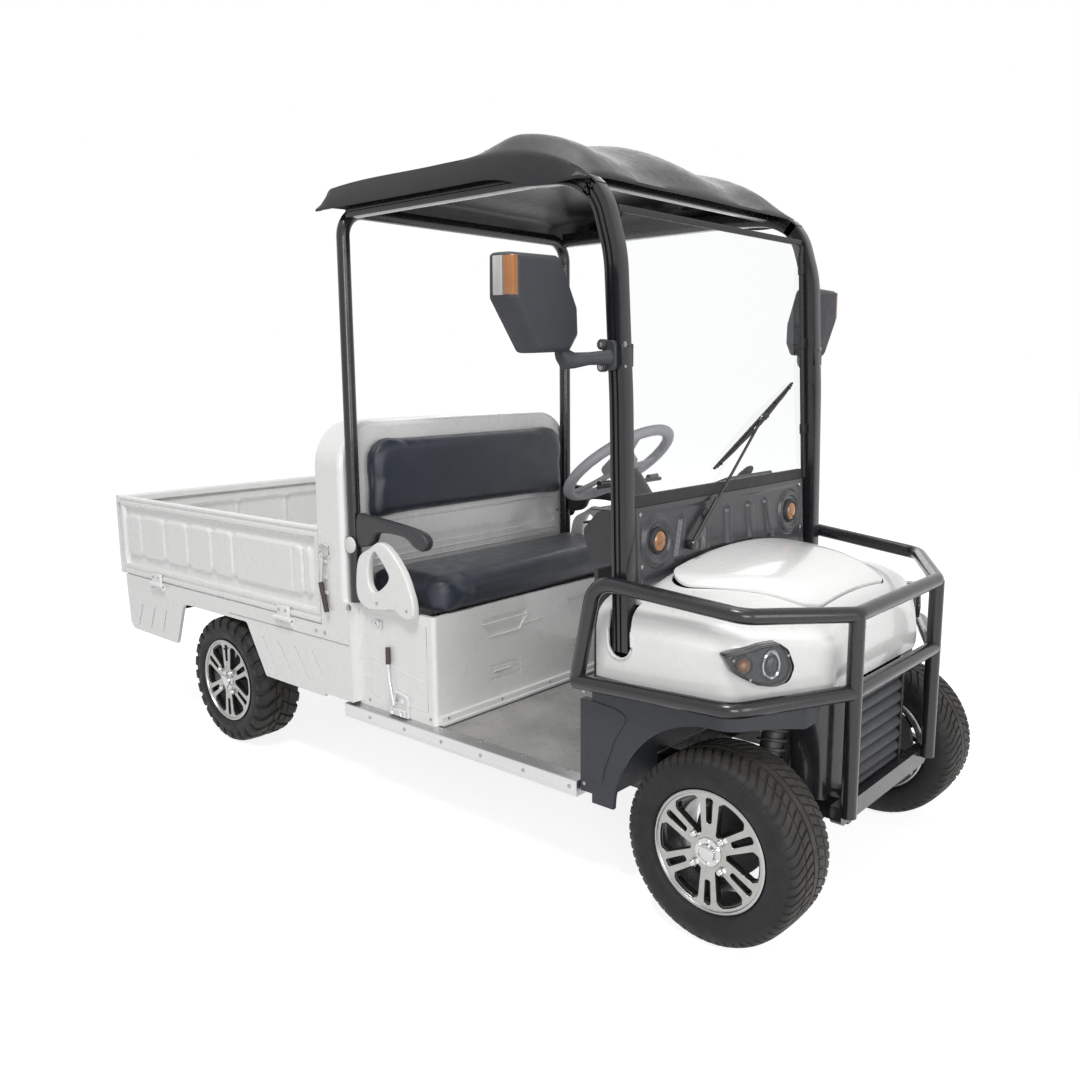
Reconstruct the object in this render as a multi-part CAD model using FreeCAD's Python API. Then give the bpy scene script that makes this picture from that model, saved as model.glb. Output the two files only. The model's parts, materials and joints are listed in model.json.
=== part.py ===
# Electric utility cart with a drop-side cargo bed, built as an assembly.
# Millimetres. +X points forward, +Y to the driver's left, +Z up.
# The origin is on the ground, under the middle of the bounding box.
import FreeCAD, Part
import math
import os
from types import SimpleNamespace
from FreeCAD import Placement, Rotation, Vector

# Driving dimensions, one spreadsheet cell each, grouped by the piece they shape.
SIZES = {
    # Whole vehicle
    "overall_length": 3020,
    "wheel_base": 2020,
    "body_half_width": 538,
    "fit_gap": 0.3,
    "moving_gap": 6,
    "overrun": 20,
    "sheet_gauge": 3,
    "panel_wall": 22,
    # Wheels and tyres
    "tyre_radius": 230,
    "rear_tyre_width": 168,
    "front_tyre_width": 190,
    "wheel_face_half_track": 549,
    "tyre_bead_radius": 134,
    "rim_flange_radius": 148,
    "rim_width": 165,
    "rim_flange_width": 9,
    "rim_well_radius": 112,
    "rim_barrel_wall": 7,
    "rim_dish": 22,
    "spoke_thickness": 20,
    "spoke_root_width": 30,
    "spoke_tip_width": 62,
    "spoke_slot_width": 12,
    "spoke_count": 6,
    "hub_radius": 44,
    "hub_cap_radius": 30,
    "hub_cap_rise": 14,
    "nut_count": 4,
    "lug_nut_circle": 101.6,
    "lug_nut_radius": 9.5,
    "lug_nut_rise": 13,
    "wheel_hub_bore": 15,
    "lug_height": 9,
    "lug_length": 62,
    "lug_width": 24,
    "lug_gap": 9,
    "lug_count": 24,
    "tyre_sides": 48,
    # Chassis rails and running gear
    "rail_half_track": 300,
    "front_rail_half_track": 195,
    "front_rail_end": 1385,
    "damper_top": 540,
    "rail_width": 50,
    "rail_height": 70,
    "rail_rear_inset": 70,
    "rear_kick_height": 410,
    "axle_tube_radius": 30,
    "stub_radius": 14.7,
    "gear_case_radius": 85,
    "gear_case_width": 130,
    "motor_radius": 78,
    "motor_length": 210,
    "spring_leaf_gauge": 9,
    "spring_leaf_width": 50,
    "spring_length": 660,
    "spring_camber": 68,
    "kingpin_half_track": 400,
    "kingpin_radius": 12,
    "knuckle_height": 130,
    "knuckle_width": 44,
    "steer_arm_length": 100,
    "arm_gauge": 22,
    "shock_radius": 27,
    "shock_rod_radius": 9,
    "battery_length": 260,
    "battery_width": 780,
    "battery_height": 230,
    # Floor and sills
    "floor_top": 287,
    "floor_gauge": 5,
    "sill_height": 42,
    "sill_width": 36,
    "sill_lip": 12,
    # Seat
    "seat_front": 322,
    "seat_half_width": 502,
    "seat_box_top": 620,
    "seat_wall": 14,
    "cushion_height": 105,
    "cushion_half_width": 480,
    "cushion_overhang": 12,
    "cushion_corner": 55,
    "cushion_round": 26,
    "back_pad_bottom": 865,
    "back_pad_top": 1135,
    "back_pad_depth": 62,
    "back_pad_half_width": 462,
    "back_pad_corner": 85,
    "guard_gauge": 26,
    "guard_front": 265,
    "guard_foot": 603,
    "guard_top": 826,
    "armrest_width": 34,
    "armrest_top": 899,
    "armrest_depth": 96,
    "armrest_length": 322,
    "grip_radius": 13,
    # Bulkhead behind the seat
    "headboard_front": -42,
    "headboard_depth": 123,
    "headboard_top": 1175,
    "headboard_corner": 140,
    "headboard_rim": 30,
    "corner_post_width": 66,
    "corner_post_bottom": 300,
    "swage_height": 6,
    # Cargo bed
    "bed_floor_top": 500,
    "bed_floor_gauge": 32,
    "deck_rib_count": 7,
    "bed_side_bottom": 530,
    "bed_side_top": 845,
    "rib_depth": 7,
    "rib_width": 26,
    "board_rail": 40,
    "tailgate_gauge": 30,
    "skirt_bottom": 300,
    "skirt_gauge": 12,
    "arch_top": 467,
    "arch_front": -500,
    "arch_rear": -1026,
    "arch_corner": 45,
    "slot_width": 10,
    "hinge_radius": 9,
    "hinge_drop": 2,
    "hinge_ear": 12,
    "hinge_length": 70,
    "latch_gauge": 6,
    "latch_width": 32,
    # Cab posts, roof and screen
    "post_radius": 20,
    "post_bend": 95,
    "hoop_half_width": 505,
    "hoop_top": 1765,
    "front_post_half_width": 490,
    "front_post_width": 46,
    "front_post_depth": 38,
    "front_post_flute": 9,
    "post_foot_x": 1000,
    "post_foot_z": 610,
    "post_knee_x": 962,
    "post_knee_z": 1375,
    "post_head_x": 880,
    "post_head_z": 1740,
    "post_head_bend": 150,
    "roof_rear": -111,
    "roof_front": 897,
    "roof_half_width": 534,
    "roof_gauge": 10,
    "roof_lip_z": 1800,
    "roof_crown_rise": 145,
    "roof_front_drop": 34,
    "roof_step_half_width": 507,
    "screen_gauge": 5,
    "screen_half_width": 455,
    "screen_top": 1700,
    "wiper_radius": 5,
    "wiper_pivot_y": -214,
    "wiper_pivot_z": 873,
    "wiper_joint_y": 173,
    "wiper_joint_z": 1185,
    "wiper_blade_low_y": -71,
    "wiper_blade_low_z": 1059,
    "wiper_blade_high_y": 379,
    "wiper_blade_high_z": 1282,
    "scuttle_bottom": 790,
    "scuttle_top": 990,
    "scuttle_half_width": 436,
    "scuttle_gauge": 8,
    "scuttle_rib_height": 9,
    "scuttle_rib_width": 26,
    "scuttle_lamp_place": 348,
    "scuttle_lamp_radius": 27,
    "lamp_ring_radius": 62,
    "screen_trim_height": 30,
    # Front body
    "cowl_rear": 925,
    "cowl_bottom": 572,
    "cowl_half_width": 508,
    "cowl_side_top": 700,
    "cowl_crown": 832,
    "cowl_corner_x": 1310,
    "cowl_nose_x": 1432,
    "cowl_nose_half_width": 250,
    "cowl_nose_crown": 715,
    "cowl_wall": 12,
    "hood_half_width": 370,
    "hood_gap": 0.9,
    "fender_half_width": 525,
    "fender_rear": 888,
    "fender_rear_low": 264,
    "fender_rear_top": 508,
    "fender_bottom": 240,
    "fender_gauge": 12,
    "fender_front": 1400,
    "arch_radius": 288,
    "lamp_length": 150,
    "lamp_height": 96,
    "lamp_depth": 26,
    "lamp_place_x": 1345,
    "tail_lamp_height": 62,
    "lamp_place_y": 438,
    "lamp_place_z": 690,
    # Bull bar and grille
    "bar_radius": 19,
    "bar_front": 1483,
    "bar_top": 766,
    "bar_middle": 580,
    "bar_bottom": 272,
    "bar_post_place": 250,
    "bar_corner_x": 1335,
    "bar_half_width": 545,
    "bar_foot_x": 892,
    "bar_bend": 60,
    "skid_height": 48,
    "grille_half_width": 143,
    "grille_foot_half_width": 117,
    "grille_bottom": 284,
    "grille_top": 520,
    "grille_depth": 16,
    "louvre_count": 9,
    # Mirrors, wheel and controls
    "mirror_inner": 575,
    "mirror_outer": 800,
    "mirror_x": 884,
    "mirror_depth": 82,
    "mirror_arm_radius": 12,
    "mirror_arm_z": 1350,
    "mirror_low": 1360,
    "mirror_high": 1580,
    "steering_x": 435,
    "steering_y": 235,
    "steering_z": 1020,
    "steering_radius": 190,
    "steering_rim_radius": 17,
    "steering_tilt": 38,
    "steering_spoke_width": 34,
    "steering_hub_radius": 52,
    "column_radius": 38,
    "shroud_length": 210,
    "column_length": 860,
    "wall_gauge": 11,
    "dash_depth": 150,
    "dash_bottom": 840,
    "dash_top": 975,
    "pod_rise": 42,
    "pod_half_width": 130,
    "pedal_width": 62,
    "pedal_height": 95,
    "pedal_gauge": 10,
    "brake_x": 125,
    "brake_low": 371,
    "brake_high": 500,
    "brake_bracket_length": 88,
}


def make_sheet(doc):
    """Put every driving dimension in a spreadsheet cell with its own alias."""
    sheet = doc.addObject("Spreadsheet::Sheet", "Sizes")
    for row, (alias, number) in enumerate(SIZES.items(), start=1):
        sheet.set("A%d" % row, alias)
        sheet.set("B%d" % row, str(number))
        sheet.setAlias("B%d" % row, alias)
    doc.recompute()
    return sheet


doc = FreeCAD.newDocument("UtilityCart")
sheet = make_sheet(doc)
d = SimpleNamespace(**{alias: sheet.get(alias) for alias in SIZES})

# Places that several pieces share, worked out from the driving dimensions.
REAR = -d.overall_length / 2
FRONT_AXLE = d.overall_length / 2 - d.tyre_radius
REAR_AXLE = FRONT_AXLE - d.wheel_base
BED_REAR = REAR + d.tailgate_gauge
HEADBOARD_REAR = d.headboard_front - d.headboard_depth
RAIL_BOTTOM = d.floor_top - d.floor_gauge - d.fit_gap - d.rail_height
FLOOR_FRONT = d.cowl_rear - d.fit_gap
HOOP_FRONT = d.headboard_front + d.post_radius * 2 + d.fit_gap * 3
HINGE_Z = d.bed_side_bottom - d.hinge_radius - d.hinge_drop
SAME_POINT = 1e-6
ORIGIN = Vector(0, 0, 0)
ACROSS = Vector(0, 1, 0)
ALONG = Vector(1, 0, 0)
UP = Vector(0, 0, 1)


# Drawing helpers
def rounded_wire(points, to_space):
    """Close a polygon of (u, v, corner radius) points with tangent arcs at its corners."""
    flat = [Vector(u, v, 0) for u, v, radius in points]
    radii = [radius for u, v, radius in points]
    starts, ends, middles = [], [], []
    for i, corner in enumerate(flat):
        before = (flat[i - 1] - corner).normalize()
        after = (flat[(i + 1) % len(flat)] - corner).normalize()
        half = before.getAngle(after) / 2
        reach = radii[i] / math.tan(half)
        bisector = (before + after).normalize() if radii[i] else Vector()
        starts.append(corner + before * reach)
        ends.append(corner + after * reach)
        middles.append(corner + bisector * (radii[i] / math.sin(half) - radii[i]))
    edges = []
    for i in range(len(flat)):
        if radii[i]:
            edges.append(Part.Arc(*[to_space(p) for p in (starts[i], middles[i], ends[i])]).toShape())
        run_end = starts[(i + 1) % len(flat)]
        if (run_end - ends[i]).Length > SAME_POINT:
            edges.append(Part.makeLine(to_space(ends[i]), to_space(run_end)))
    return Part.Wire(edges)


def pad_along(axis, points, low, high):
    """Extrude an outline between two planes that are square to the X, Y or Z axis."""
    to_space = {
        "x": lambda p: Vector(low, p.x, p.y),
        "y": lambda p: Vector(p.x, low, p.y),
        "z": lambda p: Vector(p.x, p.y, low),
    }[axis]
    direction = {"x": ALONG, "y": ACROSS, "z": UP}[axis]
    return Part.Face(rounded_wire(points, to_space)).extrude(direction * (high - low))


def rectangle(low_u, low_v, high_u, high_v, radius=0):
    return [(low_u, low_v, radius), (high_u, low_v, radius),
            (high_u, high_v, radius), (low_u, high_v, radius)]


def block(low, high):
    return Part.makeBox(high[0] - low[0], high[1] - low[1], high[2] - low[2], Vector(*low))


def rod(start, end, radius):
    start, end = Vector(*start), Vector(*end)
    return Part.makeCylinder(radius, (end - start).Length, start, end - start)


def mirrored(shape):
    return shape.mirror(ORIGIN, ACROSS)


def with_mirror(*shapes):
    return list(shapes) + [mirrored(shape) for shape in shapes]


def fused(shapes):
    shapes = list(shapes)
    return shapes[0].multiFuse(shapes[1:]).removeSplitter() if len(shapes) > 1 else shapes[0]


def tube_path(points, bend):
    """Straight runs through the points, joined by tangent arcs of one bend radius."""
    points = [Vector(*p) for p in points]
    edges, start = [], points[0]
    for i in range(1, len(points) - 1):
        before = (points[i - 1] - points[i]).normalize()
        after = (points[i + 1] - points[i]).normalize()
        half = before.getAngle(after) / 2
        reach = bend / math.tan(half)
        middle = points[i] + (before + after).normalize() * (bend / math.sin(half) - bend)
        arc_start, arc_end = points[i] + before * reach, points[i] + after * reach
        edges.append(Part.makeLine(start, arc_start))
        edges.append(Part.Arc(arc_start, middle, arc_end).toShape())
        start = arc_end
    edges.append(Part.makeLine(start, points[-1]))
    return Part.Wire(edges)


def bent_tube(points, bend, radius):
    """A round bar swept along straight runs and tangent bends."""
    path = tube_path(points, bend)
    start = Vector(*points[0])
    circle = Part.Wire(Part.makeCircle(radius, start, Vector(*points[1]) - start))
    return path.makePipeShell([circle], True, False)


def revolved(profile, centre, axis, angle=360):
    """Turn an (x, z) outline, drawn in the XZ plane through the centre, about an axis."""
    return Part.Face(profile).revolve(centre, axis, angle)


nodes = {}


def add(name, *shapes):
    """Keep one named sub-part, as one solid or as solids that stand apart."""
    feature = doc.addObject("Part::Feature", name)
    feature.Label = name
    feature.Shape = shapes[0] if len(shapes) == 1 else Part.makeCompound(list(shapes))
    nodes[name] = feature
    return feature


# Wheels
def tyre_profile(width, tread, crown):
    """Section of a tyre as (across, radius) points: bead, bulged wall, shoulder and crown."""
    half = width / 2
    seat = d.rim_flange_radius + d.fit_gap
    bead = d.rim_width / 2 - d.rim_flange_width - d.fit_gap
    side = [(bead, d.tyre_bead_radius), (bead, seat)]
    side += [(half * wide, seat + (tread - seat) * up) for wide, up in SIDE_WALL_SHARES]
    middle = [(0, crown)] if crown > tread else []
    return side + middle + [(-across, radius) for across, radius in reversed(side)]


# Across half the width, then up the wall from rim to tread.
SIDE_WALL_SHARES = ((0.97, 0.22), (1.0, 0.5), (0.86, 1.0))


def flat_ring(outline, sides):
    """Turn an (across, radius) outline about the Y axis in flats; a radius is met mid-flat."""
    reach = 1 / math.cos(math.pi / sides)
    rings = []
    for i in range(sides + 1):
        angle = math.pi * (2 * i - 1) / sides
        out, up = math.sin(angle) * reach, math.cos(angle) * reach
        rings.append([Vector(radius * out, WHEEL_CENTRE_Y + across, radius * up) for across, radius in outline])
    rings[-1] = rings[0]
    faces = []
    for here, there in zip(rings, rings[1:]):
        for k in range(len(outline)):
            after = (k + 1) % len(outline)
            faces.append(Part.Face(Part.makePolygon([here[k], here[after], there[after], there[k], here[k]])))
    ring = Part.Solid(Part.makeShell(faces))
    if ring.Volume < 0:
        ring.reverse()
    return ring


WHEEL_CENTRE_Y = -d.wheel_face_half_track + d.rim_width / 2

def wheel_axis_shape(shape, x):
    """Move a shape drawn round the origin's Y axis to a wheel centre."""
    return shape.translated(Vector(x, 0, d.tyre_radius))


def front_tyre():
    """Road tyre, drawn for the right side."""
    tread = d.tyre_radius - d.lug_height / 3
    return flat_ring(tyre_profile(d.front_tyre_width, tread, d.tyre_radius), int(d.tyre_sides))


def rear_tyre():
    """Block-tread tyre: a plain carcass with staggered rows of lugs, one on each flat."""
    tread = d.tyre_radius - d.lug_height
    sides = int(d.lug_count) * 2
    carcass = flat_ring(tyre_profile(d.rear_tyre_width, tread, tread), sides)
    lugs = []
    for i in range(sides):
        side = 1 if i % 2 else -1
        near = WHEEL_CENTRE_Y + side * d.lug_gap / 2
        far = near + side * d.lug_length
        lug = block((-d.lug_width / 2, min(near, far), tread - d.lug_height),
                    (d.lug_width / 2, max(near, far), d.tyre_radius))
        lug.rotate(ORIGIN, ACROSS, 360 * i / sides)
        lugs.append(lug)
    return carcass.fuse(lugs)


def rim():
    """Cast wheel with split spokes, a raised hub cap and four nuts, for the right side."""
    half, flange, well = d.rim_width / 2, d.rim_flange_radius, d.rim_well_radius
    seat, lip = d.tyre_bead_radius - d.fit_gap, d.rim_width / 2 - d.rim_flange_width
    barrel = flat_ring([(-half, well), (-half, flange), (-lip, flange), (-lip, seat), (lip, seat), (lip, flange),
                        (half, flange), (half, well)], int(d.tyre_sides))
    face = -d.wheel_face_half_track
    hub_face = face + d.rim_dish
    hub = Part.makeCylinder(d.hub_radius, d.spoke_thickness * 2, Vector(0, hub_face, 0), ACROSS)
    cap = Part.makeCone(d.hub_cap_radius, d.hub_cap_radius * CAP_TAPER_SHARE, d.hub_cap_rise,
                        Vector(0, hub_face, 0), -ACROSS)
    pieces = [barrel, hub, cap]
    tip = well + d.rim_barrel_wall / 2
    spoke_face = hub_face - d.rim_dish * SPOKE_CROWN_SHARE
    spoke = pad_along("y", [
        (-d.spoke_root_width / 2, d.hub_radius * ROOT_SHARE, 0), (d.spoke_root_width / 2, d.hub_radius * ROOT_SHARE, 0),
        (d.spoke_tip_width / 2, tip, 0), (-d.spoke_tip_width / 2, tip, 0)],
        spoke_face, hub_face + d.spoke_thickness)
    spoke = spoke.cut(pad_along("y", [
        (0, d.hub_radius + d.spoke_slot_width, 0), (d.spoke_slot_width / 2, well - d.rim_barrel_wall, 0),
        (-d.spoke_slot_width / 2, well - d.rim_barrel_wall, 0)],
        face, hub_face + d.spoke_thickness + d.overrun))
    for i in range(int(d.spoke_count)):
        turned = spoke.copy()
        turned.rotate(ORIGIN, ACROSS, 360 * i / d.spoke_count)
        pieces.append(turned)
    for i in range(int(d.nut_count)):
        angle = 2 * math.pi * (i + NUT_TURN_SHARE) / d.nut_count
        place = Vector(math.sin(angle) * d.lug_nut_circle / 2, hub_face, math.cos(angle) * d.lug_nut_circle / 2)
        corners = [place + Vector(math.sin(turn), 0, math.cos(turn)) * d.lug_nut_radius
                   for turn in (math.radians(60 * k) for k in range(7))]
        pieces.append(Part.Face(Part.makePolygon(corners)).extrude(ACROSS * -d.lug_nut_rise))
    wheel = fused(pieces)
    return wheel.cut(Part.makeCylinder(d.wheel_hub_bore, d.rim_width, Vector(0, hub_face + d.spoke_thickness, 0),
                                       ACROSS))


CAP_TAPER_SHARE = 0.8
ROOT_SHARE = 0.7
SPOKE_CROWN_SHARE = 0.6
NUT_TURN_SHARE = 0.5
SLOT_END_SHARE = 0.45


def wheels():
    right_rim, front, rear = rim(), front_tyre(), rear_tyre()
    for end, x, tyre in (("front", FRONT_AXLE, front), ("rear", REAR_AXLE, rear)):
        tyre_here, rim_here = wheel_axis_shape(tyre, x), wheel_axis_shape(right_rim, x)
        add("%s_right_tyre" % end, tyre_here)
        add("%s_left_tyre" % end, mirrored(tyre_here))
        add("%s_right_rim" % end, rim_here)
        add("%s_left_rim" % end, mirrored(rim_here))


# Chassis and running gear
HUB_FACE_Y = d.wheel_face_half_track - d.rim_dish - d.spoke_thickness - d.fit_gap


def chassis_frame():
    """Ladder frame: box rails kicked up over the rear axle, narrower rails ahead, cross members."""
    rear = BED_REAR + d.rail_rear_inset
    low, high = RAIL_BOTTOM, RAIL_BOTTOM + d.rail_height
    top_low, top_high = d.rear_kick_height - d.rail_height / 2, d.rear_kick_height + d.rail_height / 2
    kick = HEADBOARD_REAR
    slope = d.rear_kick_height - RAIL_BOTTOM
    rail = pad_along("y", [
        (FLOOR_FRONT, low, 0), (FLOOR_FRONT, high, 0), (kick, high, 0), (kick - slope, top_high, 0),
        (rear, top_high, 0), (rear, top_low, 0), (kick - slope - d.rail_height / 2, top_low, 0),
        (kick - d.rail_height / 2, low, 0)],
        -d.rail_half_track - d.rail_width / 2, -d.rail_half_track + d.rail_width / 2)
    front_rail = block((FLOOR_FRONT - d.rail_width, -d.front_rail_half_track - d.rail_width / 2, low),
                       (d.front_rail_end, -d.front_rail_half_track + d.rail_width / 2, high))
    pieces = with_mirror(rail, front_rail)
    for x, bottom, half in (
            (FLOOR_FRONT - d.rail_width, low, d.rail_half_track), (d.seat_front, low, d.rail_half_track),
            (d.headboard_front - d.rail_width, low, d.rail_half_track), (rear, top_low, d.rail_half_track),
            (REAR_AXLE - d.tyre_radius, top_low, d.rail_half_track),
            (d.front_rail_end - d.rail_width, low, d.front_rail_half_track)):
        pieces.append(block((x, -half, bottom), (x + d.rail_width, half, bottom + d.rail_height)))
    add("chassis_frame", fused(pieces))


def battery_pack():
    rear = d.headboard_front + d.seat_wall * 2
    low = d.floor_top + d.fit_gap
    add("battery_pack", block((rear, -d.battery_width / 2, low),
                              (rear + d.battery_length, d.battery_width / 2, low + d.battery_height)))


def rear_axle():
    """Solid axle: tubes, central gear case, and the drive motor in front of it."""
    z = d.tyre_radius
    inner = HUB_FACE_Y - d.hub_radius
    tube = rod((REAR_AXLE, -inner, z), (REAR_AXLE, inner, z), d.axle_tube_radius)
    stub = rod((REAR_AXLE, -HUB_FACE_Y, z), (REAR_AXLE, HUB_FACE_Y, z), d.stub_radius)
    case = rod((REAR_AXLE, -d.gear_case_width / 2, z), (REAR_AXLE, d.gear_case_width / 2, z), d.gear_case_radius)
    motor = rod((REAR_AXLE, 0, z), (REAR_AXLE + d.gear_case_radius + d.motor_length, 0, z), d.motor_radius)
    drums = [rod((REAR_AXLE, side * inner, z), (REAR_AXLE, side * (inner - d.hub_radius), z),
                 d.rim_well_radius - d.rim_dish) for side in (-1, 1)]
    add("rear_axle", fused([tube, stub, case, motor] + drums))


def leaf_springs():
    """Arched leaf packs clamped on the axle tube, with shackle eyes at both ends."""
    z_seat = d.tyre_radius + d.axle_tube_radius + d.fit_gap
    half = d.spring_length / 2
    springs = []
    for leaf in range(3):
        reach = half * (1 - leaf * LEAF_STEP_SHARE)
        rise = d.spring_camber * (reach / half) ** 2
        low = z_seat + (2 - leaf) * d.spring_leaf_gauge
        under = Part.Arc(Vector(REAR_AXLE - reach, 0, low + rise), Vector(REAR_AXLE, 0, low),
                         Vector(REAR_AXLE + reach, 0, low + rise)).toShape()
        over = Part.Arc(Vector(REAR_AXLE + reach, 0, low + rise + d.spring_leaf_gauge),
                        Vector(REAR_AXLE, 0, low + d.spring_leaf_gauge),
                        Vector(REAR_AXLE - reach, 0, low + rise + d.spring_leaf_gauge)).toShape()
        ends = [Part.makeLine(under.valueAt(under.LastParameter), over.valueAt(over.FirstParameter)),
                Part.makeLine(over.valueAt(over.LastParameter), under.valueAt(under.FirstParameter))]
        outline = Part.Wire([under, ends[0], over, ends[1]])
        springs.append(Part.Face(outline).extrude(ACROSS * d.spring_leaf_width))
    top = z_seat + 3 * d.spring_leaf_gauge + d.spring_camber
    for side in (-1, 1):
        eye_x = REAR_AXLE + side * half
        springs.append(Part.makeCylinder(d.spring_leaf_gauge * 2, d.spring_leaf_width,
                                         Vector(eye_x, 0, top), ACROSS))
        springs.append(block((eye_x - d.spring_leaf_gauge, 0, top),
                             (eye_x + d.spring_leaf_gauge, d.spring_leaf_width,
                              d.rear_kick_height - d.rail_height / 2 - d.fit_gap)))
    pack = fused(springs)
    pack.translate(Vector(0, -d.rail_half_track - d.spring_leaf_width / 2, 0))
    add("leaf_springs", *with_mirror(pack))


LEAF_STEP_SHARE = 0.25


def front_suspension():
    """Cross beam, upper and lower arms, kingpins and coil-over dampers."""
    z = d.tyre_radius
    inner = d.front_rail_half_track + d.rail_width / 2
    beam = block((FRONT_AXLE - d.rail_width / 2, -inner, RAIL_BOTTOM - d.arm_gauge),
                 (FRONT_AXLE + d.rail_width / 2, inner, RAIL_BOTTOM - d.fit_gap))
    half = d.knuckle_height / 2
    arms = []
    for low in (z - half - d.arm_gauge, z + half):
        arms.append(block((FRONT_AXLE - d.knuckle_width / 2, -d.kingpin_half_track, low),
                          (FRONT_AXLE + d.knuckle_width / 2, -inner + d.rail_width, low + d.arm_gauge)))
        arms.append(Part.makeCylinder(d.knuckle_width / 2, d.arm_gauge,
                                      Vector(FRONT_AXLE, -d.kingpin_half_track, low)))
    pin = rod((FRONT_AXLE, -d.kingpin_half_track, z - half - d.arm_gauge),
              (FRONT_AXLE, -d.kingpin_half_track, z + half + d.arm_gauge), d.kingpin_radius)
    drop = block((FRONT_AXLE - d.knuckle_width / 2, -inner, z - half - d.arm_gauge),
                 (FRONT_AXLE + d.knuckle_width / 2, -inner + d.arm_gauge, RAIL_BOTTOM - d.fit_gap))
    rise = block((FRONT_AXLE - d.knuckle_width / 2, -inner, RAIL_BOTTOM + d.rail_height + d.fit_gap),
                 (FRONT_AXLE + d.knuckle_width / 2, -inner + d.rail_width, d.damper_top))
    foot = (FRONT_AXLE, -d.kingpin_half_track * DAMPER_FOOT_SHARE, z + half + d.arm_gauge / 2)
    head = (FRONT_AXLE, -inner, d.damper_top - d.shock_radius)
    joint = [low + (high - low) * DAMPER_ROD_SHARE for low, high in zip(foot, head)]
    damper = [rod(foot, head, d.shock_rod_radius), rod(joint, head, d.shock_radius)]
    side = fused(arms + [pin, drop, rise] + damper)
    add("front_suspension", fused([beam] + with_mirror(side)))


DAMPER_FOOT_SHARE = 0.74
DAMPER_ROD_SHARE = 0.2


def knuckles():
    """Steering knuckles: barrel on the kingpin, stub axle, brake drum and steering arm."""
    z = d.tyre_radius
    height = d.knuckle_height - 2 * d.fit_gap
    y = -d.kingpin_half_track
    barrel = Part.makeCylinder(d.knuckle_width / 2, height, Vector(FRONT_AXLE, y, z - height / 2))
    stub = rod((FRONT_AXLE, y, z), (FRONT_AXLE, -HUB_FACE_Y, z), d.stub_radius)
    drum_face = y - d.knuckle_width / 2 - d.moving_gap
    drum = rod((FRONT_AXLE, drum_face, z), (FRONT_AXLE, drum_face - d.knuckle_width / 2, z),
               d.rim_well_radius - d.rim_dish)
    arm = block((FRONT_AXLE - d.steer_arm_length, y - d.arm_gauge / 2, z - d.arm_gauge / 2),
                (FRONT_AXLE, y + d.arm_gauge / 2, z + d.arm_gauge / 2))
    knuckle = fused([barrel, stub, drum, arm])
    knuckle = knuckle.cut(rod((FRONT_AXLE, y, z - height), (FRONT_AXLE, y, z + height),
                              d.kingpin_radius + KINGPIN_GAP))
    add("right_knuckle", knuckle)
    add("left_knuckle", mirrored(knuckle))


KINGPIN_GAP = d.fit_gap / 6


# Floor, sills and seat
def floor():
    add("cab_floor", block((HEADBOARD_REAR, -SILL_INNER, d.floor_top - d.floor_gauge),
                           (FLOOR_FRONT, SILL_INNER, d.floor_top)))


SILL_INNER = d.body_half_width - d.sill_width


def sills():
    """Aluminium edge channel along both sides of the floor, with a lip over the plate."""
    top = d.floor_top + d.sheet_gauge
    outline = [(-d.body_half_width, top - d.sill_height, 0), (-d.body_half_width, top, d.sheet_gauge),
               (-SILL_INNER + d.sill_lip, top, 0), (-SILL_INNER + d.sill_lip, d.floor_top + d.fit_gap, 0),
               (-SILL_INNER - d.fit_gap, d.floor_top + d.fit_gap, 0),
               (-SILL_INNER - d.fit_gap, top - d.sill_height, 0)]
    sill = pad_along("x", outline, d.headboard_front - d.panel_wall, d.fender_rear - d.sheet_gauge)
    add("sills", *with_mirror(sill))


def seat_box():
    """Open-topped box under the bench, with an embossed front and louvre slots."""
    rear, low, top = d.headboard_front + d.fit_gap, d.floor_top + d.sheet_gauge + d.fit_gap, d.seat_box_top
    half = d.seat_half_width
    outer = pad_along("z", rectangle(rear, -half, d.seat_front, half, d.seat_wall), low, top)
    inner = block((rear + d.seat_wall, -half + d.seat_wall, low - d.overrun),
                  (d.seat_front - d.seat_wall, half - d.seat_wall, top + d.overrun))
    box = outer.cut(inner)
    emboss_depth = d.seat_wall / 3
    for side in (-1, 1):
        mid = side * half * PANEL_PLACE_SHARE
        wide, narrow = half * PANEL_TOP_SHARE, half * PANEL_FOOT_SHARE
        high, lower = top - d.seat_wall * 3, top - d.cushion_height
        box = box.cut(pad_along("x", [
            (mid - wide, high, 0), (mid + wide, high, 0), (mid + narrow, lower, 0), (mid - narrow, lower, 0)],
            d.seat_front - emboss_depth, d.seat_front + d.overrun))
        for row in range(3):
            z = low + (top - low) * LOUVRE_FOOT_SHARE + row * d.slot_width * 2
            box = box.cut(block((d.seat_front - emboss_depth, mid - narrow, z),
                                (d.seat_front + d.overrun, mid + narrow, z + d.slot_width)))
    add("seat_box", box)


PANEL_PLACE_SHARE = 0.4
PANEL_TOP_SHARE = 0.2
PANEL_FOOT_SHARE = 0.14
LOUVRE_FOOT_SHARE = 0.26


def padded_block(outline, axis, low, high, edge_round):
    """Closed outline made into a pad whose far face is rounded over."""
    pad = pad_along(axis, outline, low, high)
    normal = {"x": ALONG, "z": UP}[axis]
    far = max(pad.Faces, key=lambda face: face.CenterOfMass.dot(normal))
    return pad.makeFillet(edge_round, far.Edges)


def seat_cushion():
    """Bench cushion, which is also the lid of the seat box."""
    rear, front = CUSHION_REAR, d.seat_front + d.cushion_overhang
    half = d.cushion_half_width
    outline = [(rear, -half, d.cushion_round / 2), (front, -half, d.cushion_corner),
               (front, half, d.cushion_corner), (rear, half, d.cushion_round / 2)]
    low = d.seat_box_top + d.fit_gap * 2
    add("seat_cushion", padded_block(outline, "z", low, low + d.cushion_height, d.cushion_round))


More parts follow.
